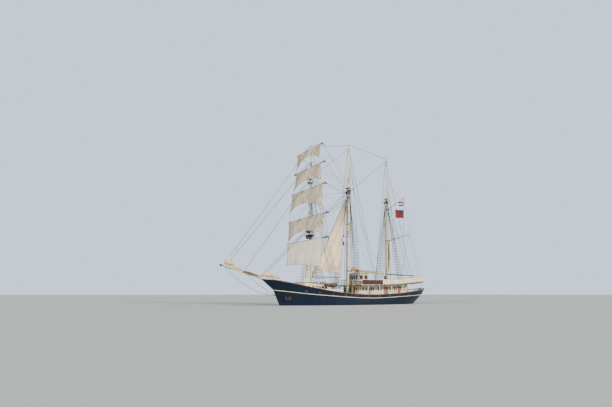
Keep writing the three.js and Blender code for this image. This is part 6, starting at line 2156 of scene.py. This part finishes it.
for side, name in ((1, "port"), (-1, "starboard")):
    cloth, flat, area, rows = grid_sail(lambda u, v, side=side: weather_cloth_point(side, u, v), CLOTH_COLUMNS, 8,
                                        f"weather_cloth_{name}_canvas", None, "red_cloth", ROOT,
                                        [f"weather_cloth_{name}"], thickness=0.003)
    two_tone(cloth, RED_CLOTH, CREAM_CANVAS, lambda face: face.center.x < RED_AFT * HALF)
    laces = []
    for k in range(0, CLOTH_COLUMNS, 2):
        eyelet = rows[0][k]
        rail_over = (upper_top(eyelet.x / HALF) + RAIL_HEIGHT) * HALF + 0.004
        over = Vector((eyelet.x + 0.02, eyelet.y - side * 0.026, rail_over))
        laces.append([eyelet, over, rows[0][k + 2]])
    rope_set(f"weather_cloth_{name}_lacing", laces, 0.004, MANILA_ROPE, slot="red_cloth")
    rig.sheet(cloth, flat=flat, held="hung", rests_on=["upper_deck_rails"], area=area,
             with_pieces=[f"weather_cloth_{name}_lacing"])
    print("weather cloth", name, flat, area)

# %% [markdown]
# ### Wheelhouse and helm
#
# The CAD wheelhouse is hollow and has its windows cut, so its walls are taken over as they are, with softer edges.
# Frames and panes go into the openings, and dark panels under the windows. The helm inside has eight spokes.

# %% Wheelhouse
dressed("wheelhouse", "wheelhouse_walls", WHITE_PAINT, "white_paint", 0.006)
SILL, HEAD = 4.72, 5.66
middle, tall = (SILL + HEAD) / 2, HEAD - SILL - 0.1
panes = [((-0.6, y, middle), (1, 0, 0), 0.52, tall) for y in (-1.12, -0.37, 0.37, 1.12)]
panes += [((-3.0, y, middle), (-1, 0, 0), 0.62, tall) for y in (-1.0, 0, 1.0)]
panes += [((-1.27, side * 1.7, middle), (0, side, 0), 0.8, tall) for side in SIDES]
windows("wheelhouse_windows", panes, WHITE_PAINT, "white_paint", bar=0.05, proud=0.03)
# columns: x0, x1, y0, y1 of the dark panels under the windows
PANELS = [(-0.6, -0.575, 0.05, 0.72), (-0.6, -0.575, 0.82, 1.55), (-1.78, -0.7, 1.7, 1.725), (-3.025, -3.0, 0.1, 1.5)]
panels = [(*sides, 3.86, 4.56) for sides in PANELS]
done(crates(panels, 0.004), "wheelhouse_panels", BROWN_TRIM, "dark_wood")
bars = [(-0.58, -0.55, y, y + 0.06, 3.84, 4.58) for y in (0.36, 1.15)]
bars += [(-0.58, -0.55, 0.02, 1.58, 4.2, 4.25), (-3.1, -0.47, 1.82, 1.86, 5.93, 6.0),
         (-0.46, -0.42, -1.86, 1.86, 5.93, 6.0)]
done(crates(bars, 0.004), "wheelhouse_bars", WHITE_PAINT, "white_paint")
for side, name in ((1, "port"), (-1, "starboard")):
    body = f"door_{name}_body"
    dressed(f"wheelhouse_door_{name}", f"wheelhouse_door_{name}_leaf", TEAK_TRIM, "teak", 0.004, body)
    windows(f"wheelhouse_door_{name}_light", [((-2.36, side * 1.77, 5.115), (0, side, 0), 0.44, 0.7)], TEAK_TRIM,
            "teak", body, bar=0.03, proud=0.012)
    knob = turned(crosswise(-2.66, 4.55), [(side * 1.76, 0.012), (side * 1.8, 0.012), (side * 1.81, 0.03),
                                           (side * 1.84, 0.03)], 14)
    done(knob, f"wheelhouse_door_{name}_knob", BRONZE, "bronze", body, smooth=40)
dressed("helm_pedestal", "helm_stand", TEAK_TRIM, "teak", 0.006)
HELM_X, HELM_Z, HELM_RADIUS = -1.15, 4.72, 0.42
SPOKE = [(0.07, 0.02), (0.2, 0.02), (0.36, 0.015), (0.38, 0.024), (0.46, 0.024), (0.47, 0.013), (0.5, 0.022),
         (0.54, 0.02), (0.56, 0.008)]
HELM_HUB = [(-0.06, 0.034), (-0.06, 0.075), (-0.04, 0.08), (0.08, 0.08), (0.09, 0.034)]
helm_axis = lengthwise(0, HELM_Z)
helm = [turned(helm_axis, [(HELM_X + 0.03 * math.cos(t), HELM_RADIUS + 0.032 * math.sin(t))
                           for t in [math.tau * k / 10 for k in range(10)]], 48, ring=True),
        turned(helm_axis, [(HELM_X + ahead, radius) for ahead, radius in HELM_HUB], 32, ring=True)]
for k in range(8):
    turn = math.tau * (k + 0.5) / 8
    reach = Vector((0, math.cos(turn), math.sin(turn)))
    helm.append(turned(between(m(HELM_X, 0, HELM_Z), m(HELM_X, 0, HELM_Z) + reach), SPOKE, 12))
done(joined(helm), "helm_wheel_spokes", TEAK_TRIM, "teak", "helm_body", ["helm_wheel"], 40)
dressed("boom_crutch", "boom_crutch_legs", SPAR_PAINT, "spar", 0.004)

# %% [markdown]
# ### Roof gear and loose gear
#
# The last pieces on deck are small, but the eye misses them at once: life-buoys, rafts in their canisters, lamps,
# ventilators, ladders, pin rails with belaying pins and coils, bollards, and freeing ports in the bulwark.

# %% Gear on the roofs
gear = [turned(standing(-0.95, 0.9), [(6.05, 0.1), (6.2, 0.06), (6.28, 0.05)], 16),
        turned(lengthwise(0.9, 6.42), [(-1.15, 0.1), (-1.1, 0.16), (-0.8, 0.19), (-0.76, 0.17)], 24),
        turned(standing(-1.6, -0.9), [(6.04, 0.05), (6.9, 0.04)], 12),
        turned(crosswise(-1.6, 6.95), [(-1.45, 0.06), (-0.35, 0.06)], 12)]
done(joined(gear), "searchlight_and_radar", BLACK_PAINT, "iron", smooth=40)
# columns: x, y, height of the cradle's top
RAFTS = [(-13.9, 2.35, 4.55), (-15.1, 2.25, 4.65)]
# columns: distance from the middle, radius
CANISTER = [(-0.55, 0.05), (-0.52, 0.22), (-0.45, 0.27), (-0.03, 0.27), (-0.03, 0.3), (0.03, 0.3), (0.03, 0.27),
            (0.45, 0.27), (0.52, 0.22), (0.55, 0.05)]
rafts, cradles = [], []
for x, y, z in RAFTS:
    for side in SIDES:
        rafts.append(turned(lengthwise(side * y, z + 0.12), [(x + at, radius) for at, radius in CANISTER], 28))
        cradles += [(x + d - 0.04, x + d + 0.04, y - 0.25, y + 0.25, z - 0.4, z - 0.05) for d in (-0.3, 0.3)]
done(joined(rafts), "liferaft_canisters", WHITE_PAINT, "white_paint", smooth=40)
done(crates(cradles), "liferaft_cradles", IRON, "iron")
# columns: x, height over the deck there
BUOYS = [(-12.4, 0.62), (-13.0, 0.62), (-15.9, 0.62), (-6.2, 0.55)]
BUOY_OUT = 0.06
buoys = []
for x, rise in BUOYS:
    for side in SIDES:
        y, z = upper_half(x) - RAIL_IN + BUOY_OUT, upper_top(x) + rise
        buoys.append(turned(crosswise(x, z), [(side * y + 0.05 * math.cos(t), 0.3 + 0.07 * math.sin(t))
                                              for t in [math.tau * k / 10 for k in range(10)]], 28, ring=True))
buoy_ring = done(joined(buoys), "life_buoys", None, "red_cloth", smooth=60)
two_tone(buoy_ring, SIGNAL_RED, WHITE_PAINT, lambda face: int(8 * (math.atan2(
    face.center.z, face.center.x * 1.7) / math.tau + 1)) % 2)

# %% Ladders, vents and bollards
steps, vents, bitts = [], [], []
for k in range(8):
    ahead, z = 0.42 + 0.95 * k / 8, 3.5 - 1.95 * k / 8
    steps.append((ahead, ahead + 0.2, 2.62, 3.2, z - 0.02, z + 0.02))
stringers = [((0.38, side * y, 3.7), (1.05, 0, -2.15), (0, side * 0.04, 0), (0.16, 0, 0.06)) for side in SIDES
             for y in (2.58, 3.2)]
done(joined([crates(steps), box_mesh(stringers, 0.004)]), "upper_deck_ladders", TEAK_TRIM, "teak")
# columns: x, y, foot of the pipe, height, radius
VENTS = [(8.0, 1.2, 3.9, 0.5, 0.12), (11.2, 1.2, 4.05, 0.5, 0.12), (12.4, 0.9, 2.2, 0.8, 0.15),
         (-5.2, 2.4, 3.75, 0.7, 0.15), (-10.9, 2.2, 4.0, 0.8, 0.16), (2.4, 0.9, 1.5, 0.7, 0.14)]
# columns: distance ahead of the pipe, share of its radius
COWL = [(-0.08, 1.0), (0.0, 1.1), (0.22, 1.7), (0.26, 1.7), (0.24, 1.5), (0.0, 0.8)]
for x, y, foot, height, radius in VENTS:
    vents += twin_posts(x, y, [(foot, radius * 1.2), (foot + 0.04, radius), (foot + height, radius)], 20)
    for side in SIDES:
        cowl = [(x - 0.1, 0.02), *[(x + ahead, radius * share) for ahead, share in COWL]]
        vents.append(turned(lengthwise(side * y, foot + height), cowl, 24))
done(joined(vents), "cowl_vents", WHITE_PAINT, "white_paint", smooth=45)
# columns: x, inset of the pair from the rail
BOLLARDS = [(12.8, 0.75), (6.0, 0.75), (-8.6, 0.8), (-15.2, 0.8)]
# columns: height, radius
BITT = [(0.0, 0.13), (0.05, 0.13), (0.08, 0.1), (0.5, 0.1), (0.53, 0.13), (0.6, 0.12)]
for x, inset in BOLLARDS:
    low = deck_top(x)
    for ahead in (-0.25, 0.25):
        bitts += twin_posts(x + ahead, rail_half(x) - inset, [(low + rise, radius) for rise, radius in BITT], 18)
done(joined(bitts), "mooring_bollards", BLACK_PAINT, "iron", smooth=40)

# %% [markdown]
# Pin rails run inside the bulwark at each mast. Their pins hold the falls of the running rigging, and a coil hangs
# from every second pin. Steel chain plates carry the shrouds down the outside of the bulwark.

# %% Pin rails, coils and chain plates
# columns: after end, fore end
PIN_RAILS = [(7.6, 10.3), (0.5, 2.9), (14.6, 15.4)]
# columns: height over the rail, radius
PIN = [(-0.18, 0.012), (0.03, 0.014), (0.035, 0.026), (0.12, 0.02), (0.16, 0.024), (0.18, 0.01)]
racks, pins, coils = [], [], []
for start, end in PIN_RAILS:
    count = int((end - start) / 0.22)
    for side in SIDES:
        line = [Vector((start + (end - start) * k / count, 0, 0)) for k in range(count + 1)]
        for p in line:
            p.y, p.z = side * (rail_half(p.x) - 0.42), rail_top(p.x) - 0.28
        for a, b in zip(line, line[1:]):
            racks.append((a - Vector((0, 0.07, 0.03)), b - a, (0, 0.14, 0), (0, 0, 0.06)))
        for k, p in enumerate(line[1:-1]):
            pins.append(turned(standing(p.x, p.y), [(p.z + rise, radius) for rise, radius in PIN], 8))
            if k % 2 == 0:
                for ring in range(3):
                    radius, drop = 0.15 + 0.03 * ring, 0.18 + 0.035 * ring
                    coils.append([m(p.x + radius * 0.55 * math.sin(t), p.y - side * (0.05 + 0.02 * ring),
                                    p.z + 0.02 - drop - radius * math.cos(t)) for t in
                                  [math.tau * n / 14 for n in range(15)]])
done(box_mesh(racks, 0.004), "pin_rails", TEAK_TRIM, "teak")
done(joined(pins), "belaying_pins", BRONZE, "bronze", smooth=40)
rope_set("rope_coils", coils, 0.012, MANILA_ROPE)
CHAIN_PLATES = (9.75, 9.1, 8.4, 7.7, 6.9, 6.5, 6.05, 5.6, 1.85, 1.4, 0.95, 0.52, 0.7)
plates = []
for x in CHAIN_PLATES:
    high, low = rail_top(x) - 0.1, deck_top(x) + 0.1
    for side in SIDES:
        y = rail_half(x)
        plates.append(((x - 0.04, side * (y - 0.02), low), (0.08, 0, 0), (0, side * 0.045, 0), (0, 0, high - low)))
done(box_mesh(plates, 0.004), "chain_plates", HULL_PAINT, "hull_paint")
ports = []
for x in [-11.5 + 2.6 * k for k in range(10)]:
    z = deck_top(x) + 0.12
    y = (rail_half(x) + half_width(x, z, "deck")) / 2
    ports += [((x - 0.35, side * (y - 0.03), z), (0.7, 0, 0), (0, side * 0.05, 0), (0, 0, 0.24)) for side in SIDES]
done(box_mesh(ports, 0.004), "freeing_ports", BLACK_PAINT, "iron")

# %% [markdown]
# ## Stowed sails
#
# Two headsails lie furled on the bowsprit. The main sail is stowed on its boom under a tan cover, and the mizzen is
# brailed up to its mast. They use the bundle helper.

# %% Furled and brailed sails
bundle("furled_jib_roll", sprit_line([(25.95, 0.9), (25.5, 0.92), (24.9, 0.74), (23.9, 0.42), (22.8, 0.27)]),
       [(0, 0.2, 0.4), (0.2, 0.36, 0.62), (0.42, 0.34, 0.42), (0.66, 0.2, 0.22), (1, 0.09, 0.1)], FURLED_CANVAS,
       "canvas", ["furled_jib"], seed=2.0, lumps=0.6)
bundle("furled_staysail_roll", sprit_line([(19.1, 0.66), (18.4, 0.82), (17.6, 0.98), (16.6, 0.95), (15.7, 0.98)]),
       [(0, 0.12, 0.2), (0.3, 0.26, 0.36), (0.6, 0.24, 0.3), (1, 0.12, 0.14)], FURLED_CANVAS, "canvas",
       ["furled_staysail"], seed=5.0, lumps=0.6)
for side in SIDES:
    bundle(f"netted_headsail_{'port' if side > 0 else 'starboard'}",
           [Vector((p.x, p.y + side * 0.21, p.z)) for p in sprit_line(
               [(22.7, 0.1), (21.6, 0.14), (20.6, 0.12), (19.9, 0.08)])],
           [(0, 0.08, 0.1), (0.4, 0.17, 0.2), (1, 0.09, 0.1)], BROWN_CANVAS, "canvas", (), seed=8.0 + side,
           lumps=0.5)


def over_boom(aft, rise):
    """Point of the real ship over the main boom, aft of the mast."""
    return aloft("main", SPARS["main_boom"].height + rise, -aft) / HALF


# columns: distance aft of the mast, half width, height
stowed_rows = [(1.0, 0.2, 0.5), (1.5, 0.3, 0.95), (2.1, 0.3, 0.62), (3.5, 0.26, 0.45), (6.0, 0.22, 0.36),
               (8.0, 0.16, 0.26)]
STOWED_FROM, STOWED_LENGTH = 1.0, 7.0
stowed_heights = [(aft, high) for aft, _, high in stowed_rows]
stations = [STOWED_FROM + STOWED_LENGTH * k / 28 for k in range(29)]
cover_line = [over_boom(aft, 0.42 * along(stowed_heights, aft)) for aft in stations]
cover_sizes = [((aft - STOWED_FROM) / STOWED_LENGTH, wide, 0.5 * high) for aft, wide, high in stowed_rows]
bundle("main_sail_cover", cover_line, cover_sizes, TAN_CANVAS, "tan_cover", ["main_sail_stowed"], "main_boom_body",
       seed=11.0, lumps=0.2, fill=0.5)
brailed_line = mast_line("mizzen", [(12.9, -0.3), (11.0, -0.4), (9.0, -0.38), (7.4, -0.33), (6.5, -0.28)])
bundle("mizzen_sail_roll", brailed_line, [(0, 0.1, 0.1), (0.15, 0.2, 0.2), (0.6, 0.2, 0.2), (1, 0.08, 0.08)],
       BROWN_CANVAS, "tan_cover", ["mizzen_sail_brailed"], seed=14.0, lumps=0.45)
# soft rolls with no solid of their own: line, sizes, finish and body
SMALL_ROLLS = {
    "main_throat_roll": (mast_line("main", [(16.1, -0.38), (15.3, -0.44), (14.5, -0.38)]),
                         [(0, 0.14, 0.16), (0.5, 0.2, 0.24), (1, 0.12, 0.14)], TAN_CANVAS, ROOT),
    "staysail_tack_roll": ([on_luff(6.3), on_luff(5.8), on_luff(5.35)],
                           [(0, 0.16, 0.16), (0.5, 0.27, 0.27), (1, 0.14, 0.14)], TAN_CANVAS, "staysail_body"),
    "mizzen_foot_roll": (mast_line("mizzen", [(5.75, 0.4), (5.35, 0.46), (4.75, 0.44)]),
                         [(0, 0.12, 0.14), (0.5, 0.22, 0.24), (1, 0.16, 0.18)], BROWN_CANVAS, ROOT),
}
for number, (name, (line, sizes, material, body)) in enumerate(SMALL_ROLLS.items()):
    bundle(name, line, sizes, material, "canvas", (), body, seed=20.0 + number, lumps=0.4, lashed=False)

# %% Lamp and drum on the main mast
# columns: foot height, ahead of the mast, to starboard, profile rows of (rise, radius)
MAST_GEAR = [
    (11.45, 0.78, 0.62, [(0.0, 0.2), (0.03, 0.27), (0.72, 0.27), (0.76, 0.2)]),
    (13.1, 0.78, 0.55, [(0.0, 0.1), (0.04, 0.17), (0.3, 0.19), (0.34, 0.13), (0.5, 0.1), (0.52, 0.04)]),
]
gear = []
for foot, ahead, across, rows in MAST_GEAR:
    def at_mast(at, a, b, foot=foot, ahead=ahead, across=across):
        return aloft("main", foot + at, ahead + a, b - across)
    gear.append(turned(at_mast, rows, 24))
    arm = between(aloft("main", foot + 0.1, 0.1, -0.1), aloft("main", foot + 0.1, ahead, -across))
    gear.append(turned(arm, [(0.0, 0.035), (math.hypot(ahead - 0.1, across - 0.1), 0.035)], 12))
done(joined(gear), "main_mast_lamp_and_drum", DARK_EDGE, "iron", smooth=40)
# columns: height, length of the rope wound round the mast there
SERVINGS = [(24.8, 1.1), (13.9, 0.7)]
served = hoops(up_mast("main"), [(height, mast_radius("main", height) + 0.01, wide) for height, wide in SERVINGS])
done(joined(served), "main_mast_serving", MANILA_ROPE, "wire", smooth=40)

# %% [markdown]
# ## Rigging
#
# Standing rigging holds the masts up and never moves: stays in the middle plane, and shrouds that fan out to the
# ship's sides. Ratlines across the shrouds are the crew's ladders. Each kind is one mesh, made from a table of where
# the ropes begin and end.

# %% Standing rigging
# radii of the ropes in the model's metres
SHROUD, STAY, RATLINE, RUNNING = 0.018, 0.018, 0.020, 0.011
# columns: from mast and height, to mast and height; a foot of None lies on the bowsprit at that x
MIDDLE_STAYS = [
    (("fore", 14.3), (None, 19.6)), (("fore", 14.0), (None, 19.2)), (("fore", 24.3), (None, 22.6)),
    (("fore", 27.3), (None, 25.9)), (("fore", 30.85), (None, 26.3)), (("main", 31.6), ("fore", 24.0)),
    (("main", 32.4), ("fore", 30.6)), (("main", 32.6), ("mizzen", 31.1)), (("mizzen", 30.6), ("main", 22.2)),
    (("main", 22.7), ("fore", 13.6)),
]


def mast_or_sprit(mast, at):
    return aloft(mast, at) if mast else on_sprit(at)


stays = [[mast_or_sprit(*high), mast_or_sprit(*low)] for high, low in MIDDLE_STAYS]
rope_set("middle_stays", stays, STAY, TARRED_ROPE, replaces=[
    "fore_stay", "fore_topmast_stay", "jib_stay", "royal_stay", "main_topmast_stay", "fore_main_springstay",
    "main_mizzen_springstay", "mizzen_stay"])
rope_set("main_stay_wire", [[on_luff(z) * HALF for z in (3.95, 22.2)]], LUFF_RADIUS * HALF, TARRED_ROPE, detail=3,
         replaces=["main_stay"])
BOBSTAY_FOOT = m(16.5, 0, 1.75)
# columns: x of the upper end, sag in the middle
BOBSTAYS = [(26.0, 1.1), (22.3, 0.2)]
bobstays = [hanging(BOBSTAY_FOOT, on_sprit(x, -0.1), sag * HALF, 16) for x, sag in BOBSTAYS]
eye_plate = block((16.1, -0.05, 1.68), (16.58, 0.05, 1.82), 0.005)
done(joined([ropes(bobstays, 0.016, 2), eye_plate]), "bobstay_chains", BLACK_PAINT, "wire", smooth=40,
     replaces=["bobstays"])
GUY_X = 15.4
guys = [[on_sprit(25.6, 0, side * 0.12), m(GUY_X, side * (rail_half(GUY_X) + 0.05), rail_top(GUY_X) - 0.25)]
        for side in SIDES]
rope_set("bowsprit_guys", guys, STAY, TARRED_ROPE)

# %% [markdown]
# The head of a shroud is a point on its mast. The foot is a place along the rail, or on the upper deck just inside
# its guard rail. The ratlines stop short of the mast, where the shrouds come together.

# %% Shrouds and ratlines
def rail_foot(x):
    return m(x, rail_half(x) - 0.08, rail_top(x))


def upper_foot(x):
    return m(x, upper_half(x) - 0.32, upper_top(x))


def top_foot(mast, height, half):
    """The foot of a topmast shroud, on a top's rim or a spreader's end."""
    return lambda ahead: aloft(mast, height, ahead, half)


# columns: mast, height of the head, across at the head, feet, rule for a foot, do they have ratlines
SHROUD_GANGS = [
    ("fore", 12.72, 0.2, (9.75, 9.1, 8.4, 7.7), rail_foot, True),
    ("fore", 23.1, 0.1, (-0.2, -0.45, -0.74), top_foot("fore", 12.92, 0.87), True),
    ("fore", 27.3, 0.07, (0.24, -0.38), top_foot("fore", 23.28, 0.56), False),
    ("fore", 23.0, 0.1, (6.9, 6.5), rail_foot, False),
    ("fore", 27.2, 0.07, (6.05,), rail_foot, False),
    ("fore", 30.5, 0.05, (5.6,), rail_foot, False),
    ("main", 22.4, 0.2, (1.85, 1.4, 0.95, 0.52), rail_foot, True),
    ("main", 32.3, 0.07, (0.0,), top_foot("main", 22.6, 1.85), False),
    ("main", 22.5, 1.85, (0.7,), rail_foot, False),
    ("main", 31.5, 0.07, (-3.6,), upper_foot, False),
    ("main", 27.9, 0.08, (-3.2,), upper_foot, False),
    ("mizzen", 21.3, 0.18, (-8.9, -9.5, -10.1, -10.7), upper_foot, True),
    ("mizzen", 31.0, 0.06, (0.0,), top_foot("mizzen", 21.5, 1.25), False),
    ("mizzen", 21.4, 1.25, (-9.2,), upper_foot, False),
    ("mizzen", 31.0, 0.06, (-13.2,), upper_foot, False),
    ("mizzen", 24.4, 0.1, (-12.4,), upper_foot, False),
]
RATLINE_STEP = 0.55
shroud_lines, ratlines, screws = [], [], []
for mast, height, across, feet, rule, laddered in SHROUD_GANGS:
    gang = [[rule(x), aloft(mast, height, 0, across)] for x in feet]
    shroud_lines += gang
    if rule in (rail_foot, upper_foot):
        screws += [[low, low.lerp(high, 0.34 / (high - low).length)] for low, high in gang]
    if not laddered:
        continue
    low_z, high_z = max(low.z for low, _ in gang), gang[0][1].z
    span = high_z - low_z
    count = int(span * 0.93 / (RATLINE_STEP * HALF))
    for k in range(1, count + 1):
        z = low_z + k * RATLINE_STEP * HALF
        ratlines.append([low.lerp(high, (z - low.z) / (high.z - low.z)) for low, high in gang])
futtocks = [[aloft("fore", 12.82, ahead, 0.86), aloft("fore", 11.5, 0, 0.19)] for ahead in (-0.2, -0.45, -0.74)]
rope_set("shrouds", both_sides(shroud_lines + futtocks), SHROUD, TARRED_ROPE)
rope_set("ratlines", both_sides(ratlines), RATLINE, TARRED_ROPE)
rope_set("rigging_screws", both_sides(screws), 0.022, GALVANISED, detail=2)
print("shrouds", 2 * len(shroud_lines), "ratlines", 2 * len(ratlines))

# %% [markdown]
# ### Running rigging
#
# Braces swing the yards. They start on a yard and end on the main mast, so they bend between the two bodies: a point
# near the yard follows the yard, and one near the mast stays with the ship. Each brace has many points, so that it
# can bend smoothly. Lifts and sheets run within the foremast's own gear and turn with their yard.

# %% Braces, lifts and sheets
ROPE_STEPS = 24
# columns: height on the main mast where the brace leads
BRACE_LEAD = {"course": 21.3, "lower_topsail": 21.8, "upper_topsail": 22.3, "topgallant": 23.3, "royal": 24.6}
LIFT_RISE = {"course": 1.9, "lower_topsail": 3.2, "upper_topsail": 1.35, "topgallant": 1.35, "royal": 0.95}
BLOCK_SIZE = 0.16
# the two parts of a brace: shift at the yard, shift at the mast, and sag
BRACE_PARTS = [(Vector((0, 0, 0)), Vector((0, 0, 0)), 0.12), (Vector((-0.1, 0, -0.02)), Vector((0, 0, -0.45)), 0.16)]


def blocks(places):
    """Rope blocks: small rounded wooden lumps at points of the model."""
    made = []
    for place in places:
        bpy.ops.object.select_all(action="DESELECT")
        bpy.ops.mesh.primitive_uv_sphere_add(segments=10, ring_count=6, radius=BLOCK_SIZE * HALF, location=place)
        lump = bpy.context.active_object
        lump.scale = (0.75, 0.55, 1.25)
        made.append(lump)
    select_only(*made)
    bpy.ops.object.transform_apply(location=True, rotation=True, scale=True)
    return joined(made)


order = list(YARDS)
for name, yard in YARDS.items():
    body, place, height, half_length = f"{name}_yard_body", on_yard(name), yard.height, yard.half_length
    arms = [place(side * half_length * 0.965, -0.1, 0.0) for side in SIDES]
    leads = [aloft("main", BRACE_LEAD[name], 0.25, side * 0.12) for side in SIDES]
    lines = [hanging(arm + from_arm, lead + from_lead, sag, ROPE_STEPS)
             for from_arm, from_lead, sag in BRACE_PARTS for arm, lead in zip(arms, leads)]
    brace = rope_set(f"{name}_braces", lines, RUNNING, RUNNING_ROPE, None, detail=0)
    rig.blend(brace, body, ROOT, place(0, 0, 0), aloft("main", BRACE_LEAD[name]))
    lifts = []
    for side in SIDES:
        for share, up, rise, ahead in ((0.94, 0.1, 1.0, 0.0), (0.5, 0.12, 0.9, 0.05)):
            lifts.append([place(side * half_length * share, 0, up),
                          aloft("fore", height + LIFT_RISE[name] * rise, ahead, side * 0.16)])
    if name != "course":
        below = order[order.index(name) - 1]
        for u in (0.0, 1.0):
            clew = square_sail_point(name, u, 1.0)
            side = 1 if u else -1
            lifts.append([clew, on_yard(below)(side * YARDS[below].half_length * 0.95, 0.0, 0.1)])
    rope_set(f"{name}_lifts", lifts, RUNNING, TARRED_ROPE, body)
    knobs = [arm + Vector((-0.02, 0, -0.03)) for arm in arms]
    knobs += [place(side * half_length * 0.94, 0, 0.14) for side in SIDES]
    knobs += [place(side * 0.3, 0.05, -0.3) for side in SIDES]
    done(blocks(knobs), f"{name}_blocks", BROWN_TRIM, "dark_wood", body, smooth=60)

# %% [markdown]
# The booms and gaffs have their own ropes: topping lifts, peak halyards, vangs and a sheet. They bend in the same
# way between the spar and the ship.

# %% Boom and gaff ropes
# columns: spar, share of its length, end mast and height (or a deck point), slack
SPAR_ROPES = [
    ("mizzen_boom", 0.97, ("mizzen", 21.2, -0.1, 0.0), 0.05), ("lower_gaff", 0.95, ("mizzen", 18.9, -0.1, 0.0), 0.0),
    ("lower_gaff", 0.55, ("mizzen", 17.6, -0.1, 0.0), 0.0), ("upper_gaff", 0.9, ("mizzen", 25.6, -0.1, 0.0), 0.0),
    ("lower_gaff", 0.98, (-15.4, 3.0), 0.3), ("lower_gaff", 0.98, (-15.4, -3.0), 0.3),
    ("upper_gaff", 0.97, (-16.4, 2.6), 0.25), ("upper_gaff", 0.97, (-16.4, -2.6), 0.25),
    ("mizzen_boom", 0.93, (-16.9, 0.5), 0.0), ("mizzen_boom", 0.93, (-16.9, -0.5), 0.0),
    ("main_boom", 0.97, ("main", 21.9, -0.1, 0.0), 0.05), ("main_boom", 0.6, ("main", 19.0, -0.1, 0.0), 0.05),
]
for number, (name, share, end, slack) in enumerate(SPAR_ROPES):
    start = on_spar(name)(spar_length(name) * share, 0, 0)
    stop = aloft(*end) if isinstance(end[0], str) else m(end[0], end[1], upper_top(end[0]) + 0.05)
    line = rope_set(f"{name}_rope_{number}", [hanging(start, stop, slack, ROPE_STEPS)], RUNNING, RUNNING_ROPE, None,
                    detail=0)
    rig.blend(line, f"{name}_body", ROOT, start, stop)

# %% [markdown]
# Many falls come straight down the masts to the pin rails at their feet, and some lead aft from the mast tops. They
# stay with the ship.

# %% Falls and halyards
# columns: mast, height, ahead, across, foot height, foot ahead, foot across
FALLS = [
    ("fore", 12.5, -0.25, 0.16, 4.7, -0.3, 0.5), ("fore", 12.3, -0.1, 0.28, 4.7, 0.1, 0.55),
    ("fore", 22.8, -0.2, 0.12, 4.7, -0.6, 0.7), ("main", 22.2, -0.26, 0.16, 2.3, -0.55, 0.55),
    ("main", 22.2, 0.26, 0.14, 2.3, 0.55, 0.5), ("main", 19.5, 0.28, 0.1, 2.3, 0.6, 0.3),
    ("main", 15.6, -0.28, 0.1, 2.3, -0.6, 0.25), ("main", 22.9, -0.2, 0.3, 4.4, -1.9, 2.2),
    ("mizzen", 21.2, -0.22, 0.14, 4.4, -0.5, 0.5), ("mizzen", 21.2, 0.22, 0.14, 4.4, 0.5, 0.5),
    ("mizzen", 17.0, 0.24, 0.1, 4.4, 0.6, 0.25), ("mizzen", 21.4, 0.1, 0.5, 4.3, 0.6, 3.3),
    ("mizzen", 21.4, -0.1, 0.6, 4.3, -2.4, 3.2),
]
falls = [[aloft(mast, height, ahead, across), aloft(mast, low, low_ahead, low_across)]
         for mast, height, ahead, across, low, low_ahead, low_across in FALLS]
rope_set("falls", both_sides(falls), RUNNING, RUNNING_ROPE)

# %% Extents of the model
with open("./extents.json", "w") as size_file:
    json.dump({"cad": [list(v) for v in CAD_BOX], "visual": [list(v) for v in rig.bounds()]}, size_file)
